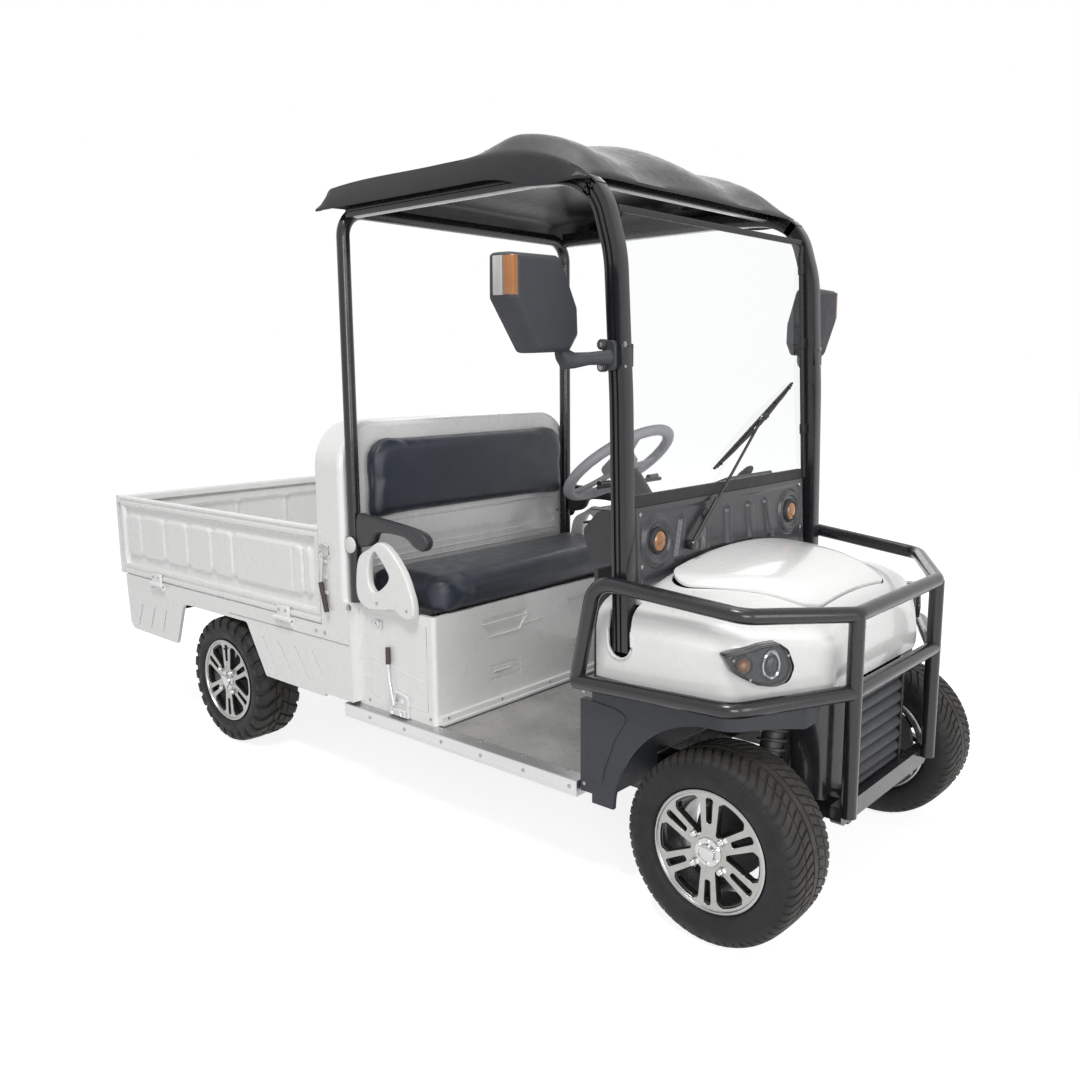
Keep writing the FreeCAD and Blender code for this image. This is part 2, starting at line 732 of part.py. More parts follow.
CUSHION_REAR = d.headboard_front + d.back_pad_depth * 2 / 3


def back_pad():
    front = d.headboard_front + d.fit_gap
    half, corner = d.back_pad_half_width, d.back_pad_corner
    outline = [(-half, d.back_pad_bottom, d.cushion_round), (half, d.back_pad_bottom, d.cushion_round),
               (half, d.back_pad_top, corner), (-half, d.back_pad_top, corner)]
    add("back_pad", padded_block(outline, "x", front, front + d.back_pad_depth, d.cushion_round))


def outline_from(shares, start, end, low, high):
    """Points at (along, up, corner) shares of a length and a height."""
    length, height = end - start, high - low
    return [(start + along * length, low + up * height, corner * height) for along, up, corner in shares]


def seat_guards():
    """White end plates beside the cushion, each with a teardrop hand hole."""
    y = -d.seat_half_width - d.guard_gauge - d.fit_gap
    place = (HOOP_FRONT, d.guard_front, d.guard_foot, d.guard_top)
    plate = pad_along("y", outline_from(GUARD_SHARES, *place), y, y + d.guard_gauge)
    hole = pad_along("y", outline_from(GUARD_HOLE_SHARES, *place), y - d.overrun, y + d.guard_gauge + d.overrun)
    add("seat_guards", *with_mirror(plate.cut(hole)))


# Along the plate, up it, then the corner radius against its height.
GUARD_SHARES = ((0.18, 0.0, 0.05), (0.0, 0.40, 0.15), (0.454, 1.0, 0.2), (0.80, 0.62, 0.4), (1.0, 0.13, 0.05),
                (1.0, 0.0, 0.05))
GUARD_HOLE_SHARES = ((0.36, 0.28, 0.07), (0.61, 0.52, 0.07), (0.36, 0.82, 0.07), (0.22, 0.43, 0.07))


def armrests():
    """Dark arm rests from the hoop forward, each with a bracket below and a drooped end."""
    y_out = -d.hoop_half_width - d.armrest_width / 2
    outline = outline_from(ARMREST_SHARES, HOOP_FRONT, HOOP_FRONT + d.armrest_length, d.armrest_top - d.armrest_depth,
                           d.armrest_top)
    add("armrests", *with_mirror(pad_along("y", outline, y_out, y_out + d.armrest_width)))


ARMREST_SHARES = ((0.0, 0.0, 0.0), (0.16, 0.0, 0.12), (0.36, 0.44, 0.3), (0.74, 0.40, 0.2), (0.82, 0.16, 0.12),
                  (0.94, 0.14, 0.16), (1.0, 0.42, 0.16), (0.97, 0.76, 0.12), (0.1, 1.0, 0.12), (0.0, 0.9, 0.0))


# Bulkhead and cargo bed
def headboard():
    """Pressed bulkhead: front skin with two swages and a deep turned rim, and its corner posts."""
    half, corner = d.body_half_width, d.headboard_corner
    low = d.bed_floor_top - d.bed_floor_gauge

    def arch(inset, base):
        return [(-half + inset, base, 0), (half - inset, base, 0),
                (half - inset, d.headboard_top - inset, corner - inset),
                (-half + inset, d.headboard_top - inset, corner - inset)]

    shell = pad_along("x", arch(0, low), HEADBOARD_REAR, d.headboard_front)
    hollow = pad_along("x", arch(d.headboard_rim, low - d.overrun), HEADBOARD_REAR - d.overrun,
                       d.headboard_front - d.panel_wall)
    shell = shell.cut(hollow)
    face = max(shell.Faces, key=lambda one: one.CenterOfMass.x if one.Surface.TypeId == "Part::GeomPlane" else -half)
    arc_edges = [edge for edge in face.Edges if edge.BoundBox.ZMax > d.bed_side_top]
    shell = shell.makeFillet(d.headboard_rim * ROUND_SHARE, arc_edges)
    for z in (d.back_pad_bottom - d.cushion_height, d.back_pad_bottom - d.cushion_height * 1.6):
        bead = pad_along("x", rectangle(-d.back_pad_half_width, z, d.back_pad_half_width, z + d.rib_width,
                                        d.rib_width * SLOT_END_SHARE),
                         d.headboard_front - d.swage_height, d.headboard_front + d.overrun)
        shell = shell.cut(bead)
    post = block((d.headboard_front - d.corner_post_width / 3, -half, d.corner_post_bottom),
                 (d.headboard_front + d.corner_post_width / 3, -d.seat_half_width - d.fit_gap, d.seat_box_top))
    web = block((HEADBOARD_REAR, -half, d.corner_post_bottom),
                (d.headboard_front - d.corner_post_width / 3 + d.fit_gap, -d.seat_half_width - d.fit_gap,
                 d.bed_floor_top + d.fit_gap))
    add("headboard", fused([shell] + with_mirror(fused([post, web]))))


ROUND_SHARE = 0.6


def bed_floor():
    """Corrugated deck with side and end beams under it."""
    half = d.body_half_width - d.panel_wall - d.fit_gap
    low = d.bed_floor_top - d.bed_floor_gauge
    deck = block((BED_REAR + d.moving_gap, -half, low + d.bed_floor_gauge / 2),
                 (HEADBOARD_REAR - d.fit_gap, half, d.bed_floor_top))
    pieces = [deck]
    pitch = 2 * half / d.deck_rib_count
    for i in range(int(d.deck_rib_count)):
        y = -half + pitch * (i + 0.5)
        pieces.append(block((BED_REAR + d.moving_gap, y - pitch / 6, low),
                            (HEADBOARD_REAR - d.fit_gap, y + pitch / 6, low + d.bed_floor_gauge / 2)))
    add("bed_floor", fused(pieces))


SKIRT_TOP = d.bed_side_bottom - d.moving_gap
SKIRT_FRONT = HEADBOARD_REAR - d.fit_gap


def bed_skirts():
    """Fixed side aprons under the bed with the wheel arch and slanted slots."""
    y = -d.body_half_width
    low = d.skirt_bottom
    outline = [
        (BED_REAR + d.moving_gap, SKIRT_TOP, 0), (BED_REAR + d.arch_corner, low + d.panel_wall, d.arch_corner),
        (d.arch_rear - d.arch_corner, low, d.arch_corner / 2), (d.arch_rear, d.arch_top, d.arch_corner),
        (d.arch_front, d.arch_top, d.arch_corner), (d.arch_front + d.arch_corner * 2, low - d.skirt_gauge, 0),
        (SKIRT_FRONT, low - d.skirt_gauge / 2, 0), (SKIRT_FRONT, SKIRT_TOP, 0)]
    skirt = pad_along("y", outline, y, y + d.skirt_gauge)
    slots = []
    high = d.arch_top - d.arch_corner
    for count, start, pitch in ((3, BED_REAR + d.arch_corner * 2.6, d.arch_corner * 1.95),
                                (4, d.arch_front + d.arch_corner * 2.5, d.arch_corner * 2.05)):
        lean = d.arch_corner * 1.5 * (1 if count == 4 else -0.8)
        for i in range(count):
            x = start + i * pitch
            slots.append(pad_along("y", [
                (x, high, 0), (x + d.slot_width, high, 0),
                (x + lean + d.slot_width, low + d.arch_corner * 0.8, 0), (x + lean, low + d.arch_corner * 0.8, 0)],
                y - d.overrun, y + d.skirt_gauge / 3))
    skirt = skirt.cut(Part.makeCompound(slots))
    inner_y = -d.body_half_width + d.panel_wall
    beam = block((BED_REAR + d.moving_gap, y + d.skirt_gauge - d.fit_gap, d.bed_floor_top - d.bed_floor_gauge),
                 (SKIRT_FRONT, inner_y, SKIRT_TOP - d.fit_gap))
    ears = []
    for x in SIDE_HINGES:
        for start in (x - d.hinge_ear - d.fit_gap, x + d.hinge_length + d.fit_gap):
            ears.append(Part.makeCylinder(d.hinge_radius, d.hinge_ear, Vector(start, HINGE_Y, HINGE_Z), ALONG))
            ears.append(block((start, HINGE_Y, HINGE_Z - d.hinge_radius),
                              (start + d.hinge_ear, y + d.skirt_gauge / 2, HINGE_Z)))
    add("bed_skirts", *with_mirror(fused([skirt, beam] + ears)))


def ribbed_board(length, height, gauge, rib_places):
    """Flat board lying in XZ with rails round its edge and upright ribs on its outer face."""
    plate = block((0, 0, 0), (length, gauge - d.rib_depth, height))
    rail = d.board_rail
    raised = [block((0, gauge - d.rib_depth - d.fit_gap, height - rail), (length, gauge, height)),
              block((0, gauge - d.rib_depth - d.fit_gap, 0), (length, gauge, rail * 1.4))]
    for place in rib_places:
        centre = place * length
        raised.append(block((centre - d.rib_width / 2, gauge - d.rib_depth - d.fit_gap, rail),
                            (centre + d.rib_width / 2, gauge, height - rail / 2)))
    return fused([plate] + raised)


SIDE_RIB_SHARES = (0.02, 0.111, 0.25, 0.38, 0.508, 0.615, 0.873, 0.98)
GATE_RIB_SHARES = (0.03, 0.27, 0.5, 0.73, 0.97)


def side_boards():
    """Drop sides, hinged along their lower edge, with hinge knuckles and an end latch."""
    length = HEADBOARD_REAR - BED_REAR - d.moving_gap * 2
    height = d.bed_side_top - d.bed_side_bottom
    board = ribbed_board(length, height, d.panel_wall, SIDE_RIB_SHARES)
    board.rotate(ORIGIN, ALONG, 180)
    board.translate(Vector(BED_REAR + d.moving_gap, -d.body_half_width + d.panel_wall, d.bed_side_bottom + height))
    leaves = []
    for x in SIDE_HINGES:
        barrel = Part.makeCylinder(d.hinge_radius, d.hinge_length, Vector(x, HINGE_Y, HINGE_Z), ALONG)
        leaf = block((x, HINGE_Y - d.hinge_radius, HINGE_Z), (x + d.hinge_length, HINGE_Y, d.bed_side_bottom
                                                              + d.board_rail))
        arm = block((x, HINGE_Y - d.fit_gap, d.bed_side_bottom + d.fit_gap),
                    (x + d.hinge_length, -d.body_half_width + d.fit_gap, d.bed_side_bottom + d.board_rail))
        leaves.append(fused([barrel, leaf, arm]))
    board = fused([board] + leaves)
    add("right_side_board", board)
    add("left_side_board", mirrored(board))


HINGE_Y = -d.body_half_width - d.hinge_radius - d.hinge_drop
SIDE_HINGES = [BED_REAR + share * (HEADBOARD_REAR - BED_REAR) for share in (0.18, 0.82)]


def tailgate():
    """Tail board across the rear, hinged along its lower edge."""
    width = 2 * d.body_half_width
    height = d.bed_side_top - d.bed_side_bottom
    board = ribbed_board(width, height, d.tailgate_gauge, GATE_RIB_SHARES)
    board.rotate(ORIGIN, UP, 90)
    board.translate(Vector(BED_REAR, -d.body_half_width, d.bed_side_bottom))
    leaves = []
    for y in GATE_HINGES:
        barrel = Part.makeCylinder(d.hinge_radius, d.hinge_length, Vector(GATE_HINGE_X, y, HINGE_Z), ACROSS)
        leaf = block((GATE_HINGE_X - d.hinge_radius, y, HINGE_Z),
                     (GATE_HINGE_X, y + d.hinge_length, d.bed_side_bottom + d.fit_gap))
        leaves.append(fused([barrel, leaf]))
    add("tailgate", fused([board] + leaves))


GATE_HINGE_X = REAR + d.hinge_radius
GATE_HINGES = [side * d.rail_half_track - d.hinge_length / 2 for side in (-1, 1)]


def latches():
    """Over-centre latches that hold the drop sides to the bulkhead."""
    y = -d.body_half_width
    x = HEADBOARD_REAR + d.panel_wall
    z_low, z_high = d.bed_side_bottom + d.board_rail, d.bed_side_top - d.board_rail
    strap = block((x, y - d.latch_gauge, z_low), (x + d.latch_width, y - d.fit_gap, z_high))
    lever = block((x + d.fit_gap, y - d.latch_gauge * 3, (z_low + z_high) / 2),
                  (x + d.latch_width - d.fit_gap, y - d.latch_gauge + d.fit_gap, z_high - d.latch_width))
    add("latches", *with_mirror(fused([strap, lever])))


def rear_apron():
    """Cross panel under the tail board that carries its hinges and the lamps."""
    y = d.body_half_width - d.skirt_gauge - d.fit_gap
    x = BED_REAR + d.moving_gap + d.lamp_depth
    low, high = d.skirt_bottom + d.arch_corner, d.bed_floor_top - d.bed_floor_gauge - d.fit_gap
    pieces = [block((x, -y, low), (x + d.skirt_gauge, y, high))]
    for start in GATE_HINGES:
        for ear in (start - d.hinge_ear - d.fit_gap, start + d.hinge_length + d.fit_gap):
            pieces.append(Part.makeCylinder(d.hinge_radius, d.hinge_ear, Vector(GATE_HINGE_X, ear, HINGE_Z), ACROSS))
            pieces.append(block((GATE_HINGE_X, ear, HINGE_Z - d.hinge_radius),
                                (BED_REAR + d.moving_gap / 2, ear + d.hinge_ear, HINGE_Z)))
            pieces.append(block((BED_REAR + d.fit_gap, ear, high - d.hinge_ear),
                                (BED_REAR + d.moving_gap - d.fit_gap, ear + d.hinge_ear, HINGE_Z)))
            pieces.append(block((BED_REAR + d.fit_gap, ear, high - d.hinge_ear),
                                (x + d.fit_gap, ear + d.hinge_ear, high)))
    add("rear_apron", fused(pieces))
    lamp_low = low + d.arch_corner / 2
    lamps = []
    for side in (-1, 1):
        near, far = sorted((side * (y - d.lamp_length), side * (y - d.arch_corner / 2)))
        lamps.append(block((x - d.lamp_depth, near, lamp_low), (x - d.fit_gap, far, lamp_low + d.tail_lamp_height)))
    add("tail_lamps", *lamps)


# Cab posts, roof and screen
def rear_hoop():
    """Upside-down U of round tube behind the seat, on feet bolted to the corner posts."""
    x = d.headboard_front + d.post_radius + d.fit_gap
    y, foot = d.hoop_half_width, d.seat_box_top + d.fit_gap
    hoop = bent_tube([(x, -y, foot), (x, -y, d.hoop_top), (x, y, d.hoop_top), (x, y, foot)],
                     d.post_bend, d.post_radius)
    add("rear_hoop", hoop)


def front_posts():
    """Fluted front posts that bend back at the head and run under the roof as rails."""
    y = -d.front_post_half_width
    half_w, half_d = d.front_post_width / 2, d.front_post_depth / 2
    points = [(d.post_foot_x, y, d.post_foot_z), (d.post_knee_x, y, d.post_knee_z),
              (d.post_head_x, y, d.post_head_z), (d.headboard_front + d.post_radius * 2 + d.fit_gap * 4, y,
                                                  d.hoop_top)]
    vectors = [Vector(*p) for p in points]
    path = bent_path(vectors, (d.post_head_bend * 4, d.post_head_bend))
    along = (vectors[1] - vectors[0]).normalize()
    depth = along.cross(ACROSS).normalize()
    start = vectors[0]

    def at(u, v):
        return start + depth * u + ACROSS * v

    flute = d.front_post_flute
    section = Part.makePolygon([
        at(-half_w, -half_d), at(-flute, -half_d), at(-flute / 2, -half_d + flute), at(flute / 2, -half_d + flute),
        at(flute, -half_d), at(half_w, -half_d), at(half_w, half_d), at(-half_w, half_d), at(-half_w, -half_d)])
    pieces = [path.makePipeShell([section], True, False)]
    sunk_roof = nodes["roof"].Shape.translated(UP * -d.fit_gap)
    for x in (d.roof_rear + (d.roof_front - d.roof_rear) * share for share in ROOF_PAD_SHARES):
        pad = block((x - half_w, y - half_d / 2, d.hoop_top), (x + half_w, y + half_d / 2, d.roof_lip_z * 2))
        pieces.append(min(pad.cut(sunk_roof).Solids, key=lambda solid: solid.CenterOfMass.z))
    add("front_posts", *with_mirror(fused(pieces)))


ROOF_PAD_SHARES = (0.2, 0.5, 0.78)


def bent_path(points, bends):
    """As tube_path, with a bend radius of its own at each corner."""
    edges, start = [], points[0]
    for i, bend in zip(range(1, len(points) - 1), bends):
        before = (points[i - 1] - points[i]).normalize()
        after = (points[i + 1] - points[i]).normalize()
        half = before.getAngle(after) / 2
        reach = bend / math.tan(half)
        middle = points[i] + (before + after).normalize() * (bend / math.sin(half) - bend)
        edges.append(Part.makeLine(start, points[i] + before * reach))
        edges.append(Part.Arc(points[i] + before * reach, middle, points[i] + after * reach).toShape())
        start = points[i] + after * reach
    edges.append(Part.makeLine(start, points[-1]))
    return Part.Wire(edges)


def shell_section(x, lip, deck, drop):
    """Section of the roof shell at one station: leaning lips and a smooth deck, then both a wall lower."""
    down = UP * -drop
    points = [Vector(x, y, z) for y, z in deck]
    left, right = Vector(x, *lip), Vector(x, -lip[0], lip[1])
    top = Part.BSplineCurve()
    top.interpolate(points)
    under = Part.BSplineCurve()
    under.interpolate([point + down for point in points])
    return Part.Wire([
        Part.makeLine(left, points[0]), top.toShape(), Part.makeLine(points[-1], right),
        Part.makeLine(right, right + down), Part.makeLine(right + down, points[-1] + down), under.toShape(),
        Part.makeLine(points[0] + down, left + down), Part.makeLine(left + down, left)])


def roof():
    """Moulded roof: leaning lip, flat deck behind, then a raised front in three lobes."""
    half = d.roof_half_width
    length = d.roof_front - d.roof_rear
    sections = []
    for along, lip, step, shoulder, valley, centre in ROOF_STATION_SHARES:
        x = d.roof_rear + along * length
        z_lip = d.roof_lip_z - lip * d.roof_front_drop
        rises = (step, shoulder, valley, centre)
        places = (d.roof_step_half_width, half * LOBE_SHARE, half * VALLEY_SHARE, 0)
        near = [(-y, d.roof_lip_z + rise * d.roof_crown_rise) for y, rise in zip(places, rises)]
        deck = near + [(-y, z) for y, z in reversed(near[:-1])]
        sections.append(shell_section(x, (-half, z_lip), deck, d.roof_gauge))
    add("roof", Part.makeLoft(sections, True, True))


LOBE_SHARE = 0.79
VALLEY_SHARE = 0.44
# Along the length, the drop of the lip, then the rise of the step, outer lobe, valley and middle lobe.
ROOF_STATION_SHARES = (
    (0.0, 0.0, 0.10, 0.12, 0.12, 0.12), (0.04, 0.0, 0.38, 0.46, 0.48, 0.50), (0.5, 0.0, 0.42, 0.53, 0.55, 0.57),
    (0.59, 0.0, 0.42, 0.59, 0.62, 0.70), (0.69, 0.0, 0.41, 0.80, 0.82, 1.0), (0.75, 0.2, 0.38, 0.78, 0.78, 0.97),
    (0.84, 0.9, 0.28, 0.62, 0.56, 0.74), (0.92, 1.0, 0.12, 0.34, 0.28, 0.42), (0.98, 0.95, -0.08, 0.0, -0.04, 0.04),
    (1.0, 0.95, -0.17, -0.14, -0.14, -0.13))


def screen_x(z):
    """X of the windscreen plane, which leans back with the front posts."""
    lean = (d.post_knee_x - d.post_foot_x) / (d.post_knee_z - d.post_foot_z)
    return d.post_foot_x + lean * (z - d.post_foot_z)


def leaning_panel(outline, front_offset, gauge):
    """Extrude a (y, height) outline into a panel that leans with the front posts."""
    panel = pad_along("x", outline, front_offset - gauge, front_offset)
    lean = math.degrees(math.atan2(d.post_foot_x - d.post_knee_x, d.post_knee_z - d.post_foot_z))
    panel.rotate(Vector(0, 0, d.post_foot_z), ACROSS, -lean)
    panel.translate(Vector(d.post_foot_x, 0, 0))
    return panel


def windscreen():
    half = d.screen_half_width
    add("windscreen", leaning_panel(rectangle(-half, d.scuttle_top + d.screen_trim_height + d.fit_gap, half,
                                              d.screen_top, d.arch_corner), d.screen_gauge / 2, d.screen_gauge))


def scuttle_panel():
    """Pressed panel below the screen: upright ribs, a ring round each lamp, a rubber strip on top."""
    half = d.scuttle_half_width
    gauge = d.scuttle_gauge
    front = d.screen_gauge / 2 + gauge / 2
    panel = leaning_panel(rectangle(-half, d.scuttle_bottom, half, d.scuttle_top, d.cushion_round), front, gauge)
    middle = (d.scuttle_bottom + d.scuttle_top) / 2
    ribs = []
    for place in SCUTTLE_RIB_SHARES:
        y = place * half
        lean = -place * d.scuttle_rib_width * 2
        tall = (d.scuttle_top - d.scuttle_bottom) * 0.3
        ribs.append(leaning_panel([
            (y - d.scuttle_rib_width / 2 + lean, middle - tall, 0), (y + d.scuttle_rib_width / 2 + lean, middle - tall, 0),
            (y + d.scuttle_rib_width / 2, middle + tall, 0), (y - d.scuttle_rib_width / 2, middle + tall, 0)],
            front + d.scuttle_rib_height, d.scuttle_rib_height + d.fit_gap))
    for side in (-1, 1):
        y = side * d.scuttle_lamp_place
        ring = Part.makeCone(d.lamp_ring_radius, d.lamp_ring_radius * CAP_TAPER_SHARE, d.scuttle_rib_height + d.fit_gap,
                             Vector(screen_x(middle) + front - d.fit_gap, y, middle + d.scuttle_rib_height), ALONG)
        ribs.append(ring)
    strip = leaning_panel(rectangle(-half, d.scuttle_top - d.fit_gap, half, d.scuttle_top + d.screen_trim_height),
                          front, gauge)
    body_top = body_loft(0, d.cowl_bottom)
    body_top.translate(UP * d.fit_gap)
    add("scuttle_panel", fused([panel, strip] + ribs).cut(body_top))


SCUTTLE_RIB_SHARES = (-0.52, -0.27, 0.0, 0.27, 0.5)


def scuttle_lamps():
    """Round amber side lamps seated on the scuttle rings."""
    middle = (d.scuttle_bottom + d.scuttle_top) / 2 + d.scuttle_rib_height
    x = screen_x(middle) + d.screen_gauge / 2 + d.scuttle_gauge / 2 + d.scuttle_rib_height + d.fit_gap
    lamps = []
    for side in (-1, 1):
        lamp = Part.makeCone(d.scuttle_lamp_radius, d.scuttle_lamp_radius * CAP_TAPER_SHARE,
                             d.scuttle_rib_height, Vector(x, side * d.scuttle_lamp_place, middle), ALONG)
        lamps.append(lamp.cut(nodes["scuttle_panel"].Shape))
    add("scuttle_lamps", *lamps)


def wiper():
    """Single wiper: pivot on the scuttle, straight arm and blade lying on the glass."""
    x = d.screen_gauge / 2 + d.scuttle_gauge * 2 + d.scuttle_rib_height
    pivot = Vector(screen_x(d.wiper_pivot_z) + x - d.scuttle_gauge, d.wiper_pivot_y, d.wiper_pivot_z)
    joint = Vector(screen_x(d.wiper_joint_z) + x - d.scuttle_gauge, d.wiper_joint_y, d.wiper_joint_z)
    arm = rod(pivot, joint, d.wiper_radius)
    stem = Part.makeCylinder(d.wiper_radius * 2, d.scuttle_gauge * 3, pivot - ALONG * d.scuttle_gauge * 2, ALONG)
    low = Vector(screen_x(d.wiper_blade_low_z) + d.screen_gauge + d.wiper_radius, d.wiper_blade_low_y,
                 d.wiper_blade_low_z)
    high = Vector(screen_x(d.wiper_blade_high_z) + d.screen_gauge + d.wiper_radius, d.wiper_blade_high_y,
                  d.wiper_blade_high_z)
    blade = rod(low, high, d.wiper_radius)
    near = low + (high - low) * WIPER_JOINT_SHARE
    link = rod(joint, near, d.wiper_radius)
    add("wiper", fused([arm, stem, blade, link]).cut(nodes["scuttle_panel"].Shape))


WIPER_JOINT_SHARE = 0.58


# Front body
def body_section(x, half, low, side_top, crown):
    """Closed section of the front body: upright sides and one smooth crown."""
    rise = crown - side_top
    crown_line = Part.BSplineCurve()
    points = [(-half, side_top)]
    points += [(-half * across, side_top + rise * up) for across, up in CROWN_SHARES]
    points += [(0, crown)]
    points += [(half * across, side_top + rise * up) for across, up in reversed(CROWN_SHARES)]
    points += [(half, side_top)]
    crown_line.interpolate([Vector(x, y, z) for y, z in points])
    return Part.Wire([
        Part.makeLine(Vector(x, -half, low), Vector(x, -half, side_top)), crown_line.toShape(),
        Part.makeLine(Vector(x, half, side_top), Vector(x, half, low)),
        Part.makeLine(Vector(x, half, low), Vector(x, -half, low))])


# Across the half width, then up the rise of the crown.
CROWN_SHARES = ((0.965, 0.42), (0.86, 0.66), (0.62, 0.86), (0.3, 0.97))
# Along the front body, then its half width, side height and crown height between rear and nose.
COWL_STATION_SHARES = ((0.0, 0.0, 0.0, 0.0), (0.25, 0.0, 0.0, 0.05), (0.6, 0.03, 0.1, 0.2),
                       (0.76, 0.14, 0.3, 0.38), (0.88, 0.5, 0.5, 0.62), (0.96, 0.82, 0.7, 0.84),
                       (1.0, 1.0, 0.85, 1.0))


def body_loft(inset, low):
    """Loft the front body through its stations, drawn in by an inset for the inner skin."""
    sections = []
    length = d.cowl_nose_x - d.cowl_rear
    for along, narrow, side, fall in COWL_STATION_SHARES:
        x = d.cowl_rear + along * (length - inset) - (inset if along == 0 else 0)
        half = d.cowl_half_width - narrow * (d.cowl_half_width - d.cowl_nose_half_width) - inset
        crown = d.cowl_crown - fall * (d.cowl_crown - d.cowl_nose_crown) - inset
        side_top = d.cowl_side_top - side * (d.cowl_side_top - d.cowl_bottom) * 0.5 - inset
        sections.append(body_section(x, half, low, side_top, crown))
    return Part.makeLoft(sections, True, True)


def front_body():
    """Hollow front body, split into the bonnet on top and the cowl round it."""
    shell = body_loft(0, d.cowl_bottom).cut(body_loft(d.cowl_wall, d.cowl_bottom - d.overrun))
    length = d.cowl_nose_x - d.cowl_rear
    rear_x = d.cowl_rear + length * HOOD_REAR_SHARE
    nose = d.cowl_rear + length * HOOD_NOSE_SHARE
    outline = [(rear_x, -d.hood_half_width, d.cushion_corner), (nose, -d.hood_half_width * HOOD_TAPER_SHARE,
                                                                d.cushion_corner),
               (nose, d.hood_half_width * HOOD_TAPER_SHARE, d.cushion_corner),
               (rear_x, d.hood_half_width, d.cushion_corner)]
    grown = [(x + math.copysign(d.hood_gap, x - (rear_x + nose) / 2), y + math.copysign(d.hood_gap, y), r)
             for x, y, r in outline]
    low = d.cowl_bottom + d.panel_wall * 2
    bonnet = shell.common(pad_along("z", outline, low, d.cowl_crown + d.overrun))
    cowl = shell.cut(pad_along("z", grown, low, d.cowl_crown + d.overrun))
    foot_slots = [block((d.post_foot_x - d.front_post_width, side * d.front_post_half_width - d.front_post_depth,
                         d.post_foot_z - d.overrun * 2),
                        (d.post_foot_x + d.front_post_width, side * d.front_post_half_width + d.front_post_depth,
                         d.cowl_crown + d.overrun)) for side in (-1, 1)]
    cowl = cowl.cut(Part.makeCompound(foot_slots))
    add("bonnet", bonnet)
    add("cowl", max(cowl.Solids, key=lambda solid: solid.Volume))


HOOD_REAR_SHARE = 0.17
HOOD_NOSE_SHARE = 0.86
HOOD_TAPER_SHARE = 0.6


def fenders():
    """Dark lower wings below the bar, with round wheel arches and a return flange beside the sill."""
    top = d.cowl_bottom - d.fit_gap
    rear, front = d.cowl_rear + d.fit_gap, d.fender_front
    half, gauge = d.fender_half_width, d.fender_gauge
    nose, inner = d.cowl_nose_half_width * NOSE_PLAN_SHARE, d.front_rail_half_track * NOSE_PLAN_SHARE
    body = pad_along("z", [(rear, -half, 0), (d.cowl_corner_x, -half, d.cushion_corner),
                           (front, -nose, d.cushion_round), (front, -inner, 0), (rear, -inner, 0)],
                     d.fender_bottom, top)
    hollow = pad_along("z", [
        (rear + gauge, -half + gauge, 0), (d.cowl_corner_x - gauge / 2, -half + gauge, d.cushion_corner),
        (front - gauge, -nose + gauge / 2, d.cushion_round / 2), (front - gauge, 0, 0), (rear + gauge, 0, 0)],
        d.fender_bottom - d.overrun, top - gauge)
    arch = Part.makeCylinder(d.arch_radius, half * 2, Vector(FRONT_AXLE, -half * 1.5, d.tyre_radius), ACROSS)
    below = block((FRONT_AXLE - d.arch_radius + d.overrun, -half * 2, 0), (front + d.overrun, half, d.tyre_radius))
    shell = body.cut(Part.makeCompound([hollow, arch, below]))
    flange = block((d.fender_rear, -half, d.fender_rear_low),
                   (rear + gauge, -SILL_INNER - d.fit_gap, d.fender_rear_top))
    add("fenders", *with_mirror(fused([max(shell.Solids, key=lambda solid: solid.Volume), flange])))


NOSE_PLAN_SHARE = 1.3


def headlights():
    """Teardrop lamp units let into the front corners, each with a projector ring."""
    lamp = pad_along("y", outline_from(LAMP_SHARES, -d.lamp_length / 2, d.lamp_length / 2,
                                       d.lamp_place_z - d.lamp_height / 2, d.lamp_place_z + d.lamp_height / 2),
                     -d.lamp_depth / 2, d.lamp_depth)
    ring = rod((d.lamp_length * RING_PLACE_SHARE, -d.lamp_depth, d.lamp_place_z),
               (d.lamp_length * RING_PLACE_SHARE, 0, d.lamp_place_z), d.lamp_height * RING_SHARE)
    lamp = fused([lamp, ring])
    lamp.rotate(ORIGIN, UP, LAMP_TURN)
    lamp.translate(Vector(d.lamp_place_x, -d.lamp_place_y, 0))
    add("headlights", *with_mirror(max(lamp.cut(nodes["cowl"].Shape).Solids, key=lambda solid: solid.Volume)))


RING_PLACE_SHARE = 0.16
RING_SHARE = 0.3
LAMP_SHARES = ((0.0, 0.78, 0.05), (0.18, 0.28, 0.2), (0.6, 0.0, 0.2), (0.92, 0.02, 0.12), (1.0, 0.5, 0.2),
               (0.86, 0.9, 0.2), (0.62, 1.0, 0.2))


LAMP_TURN = 60


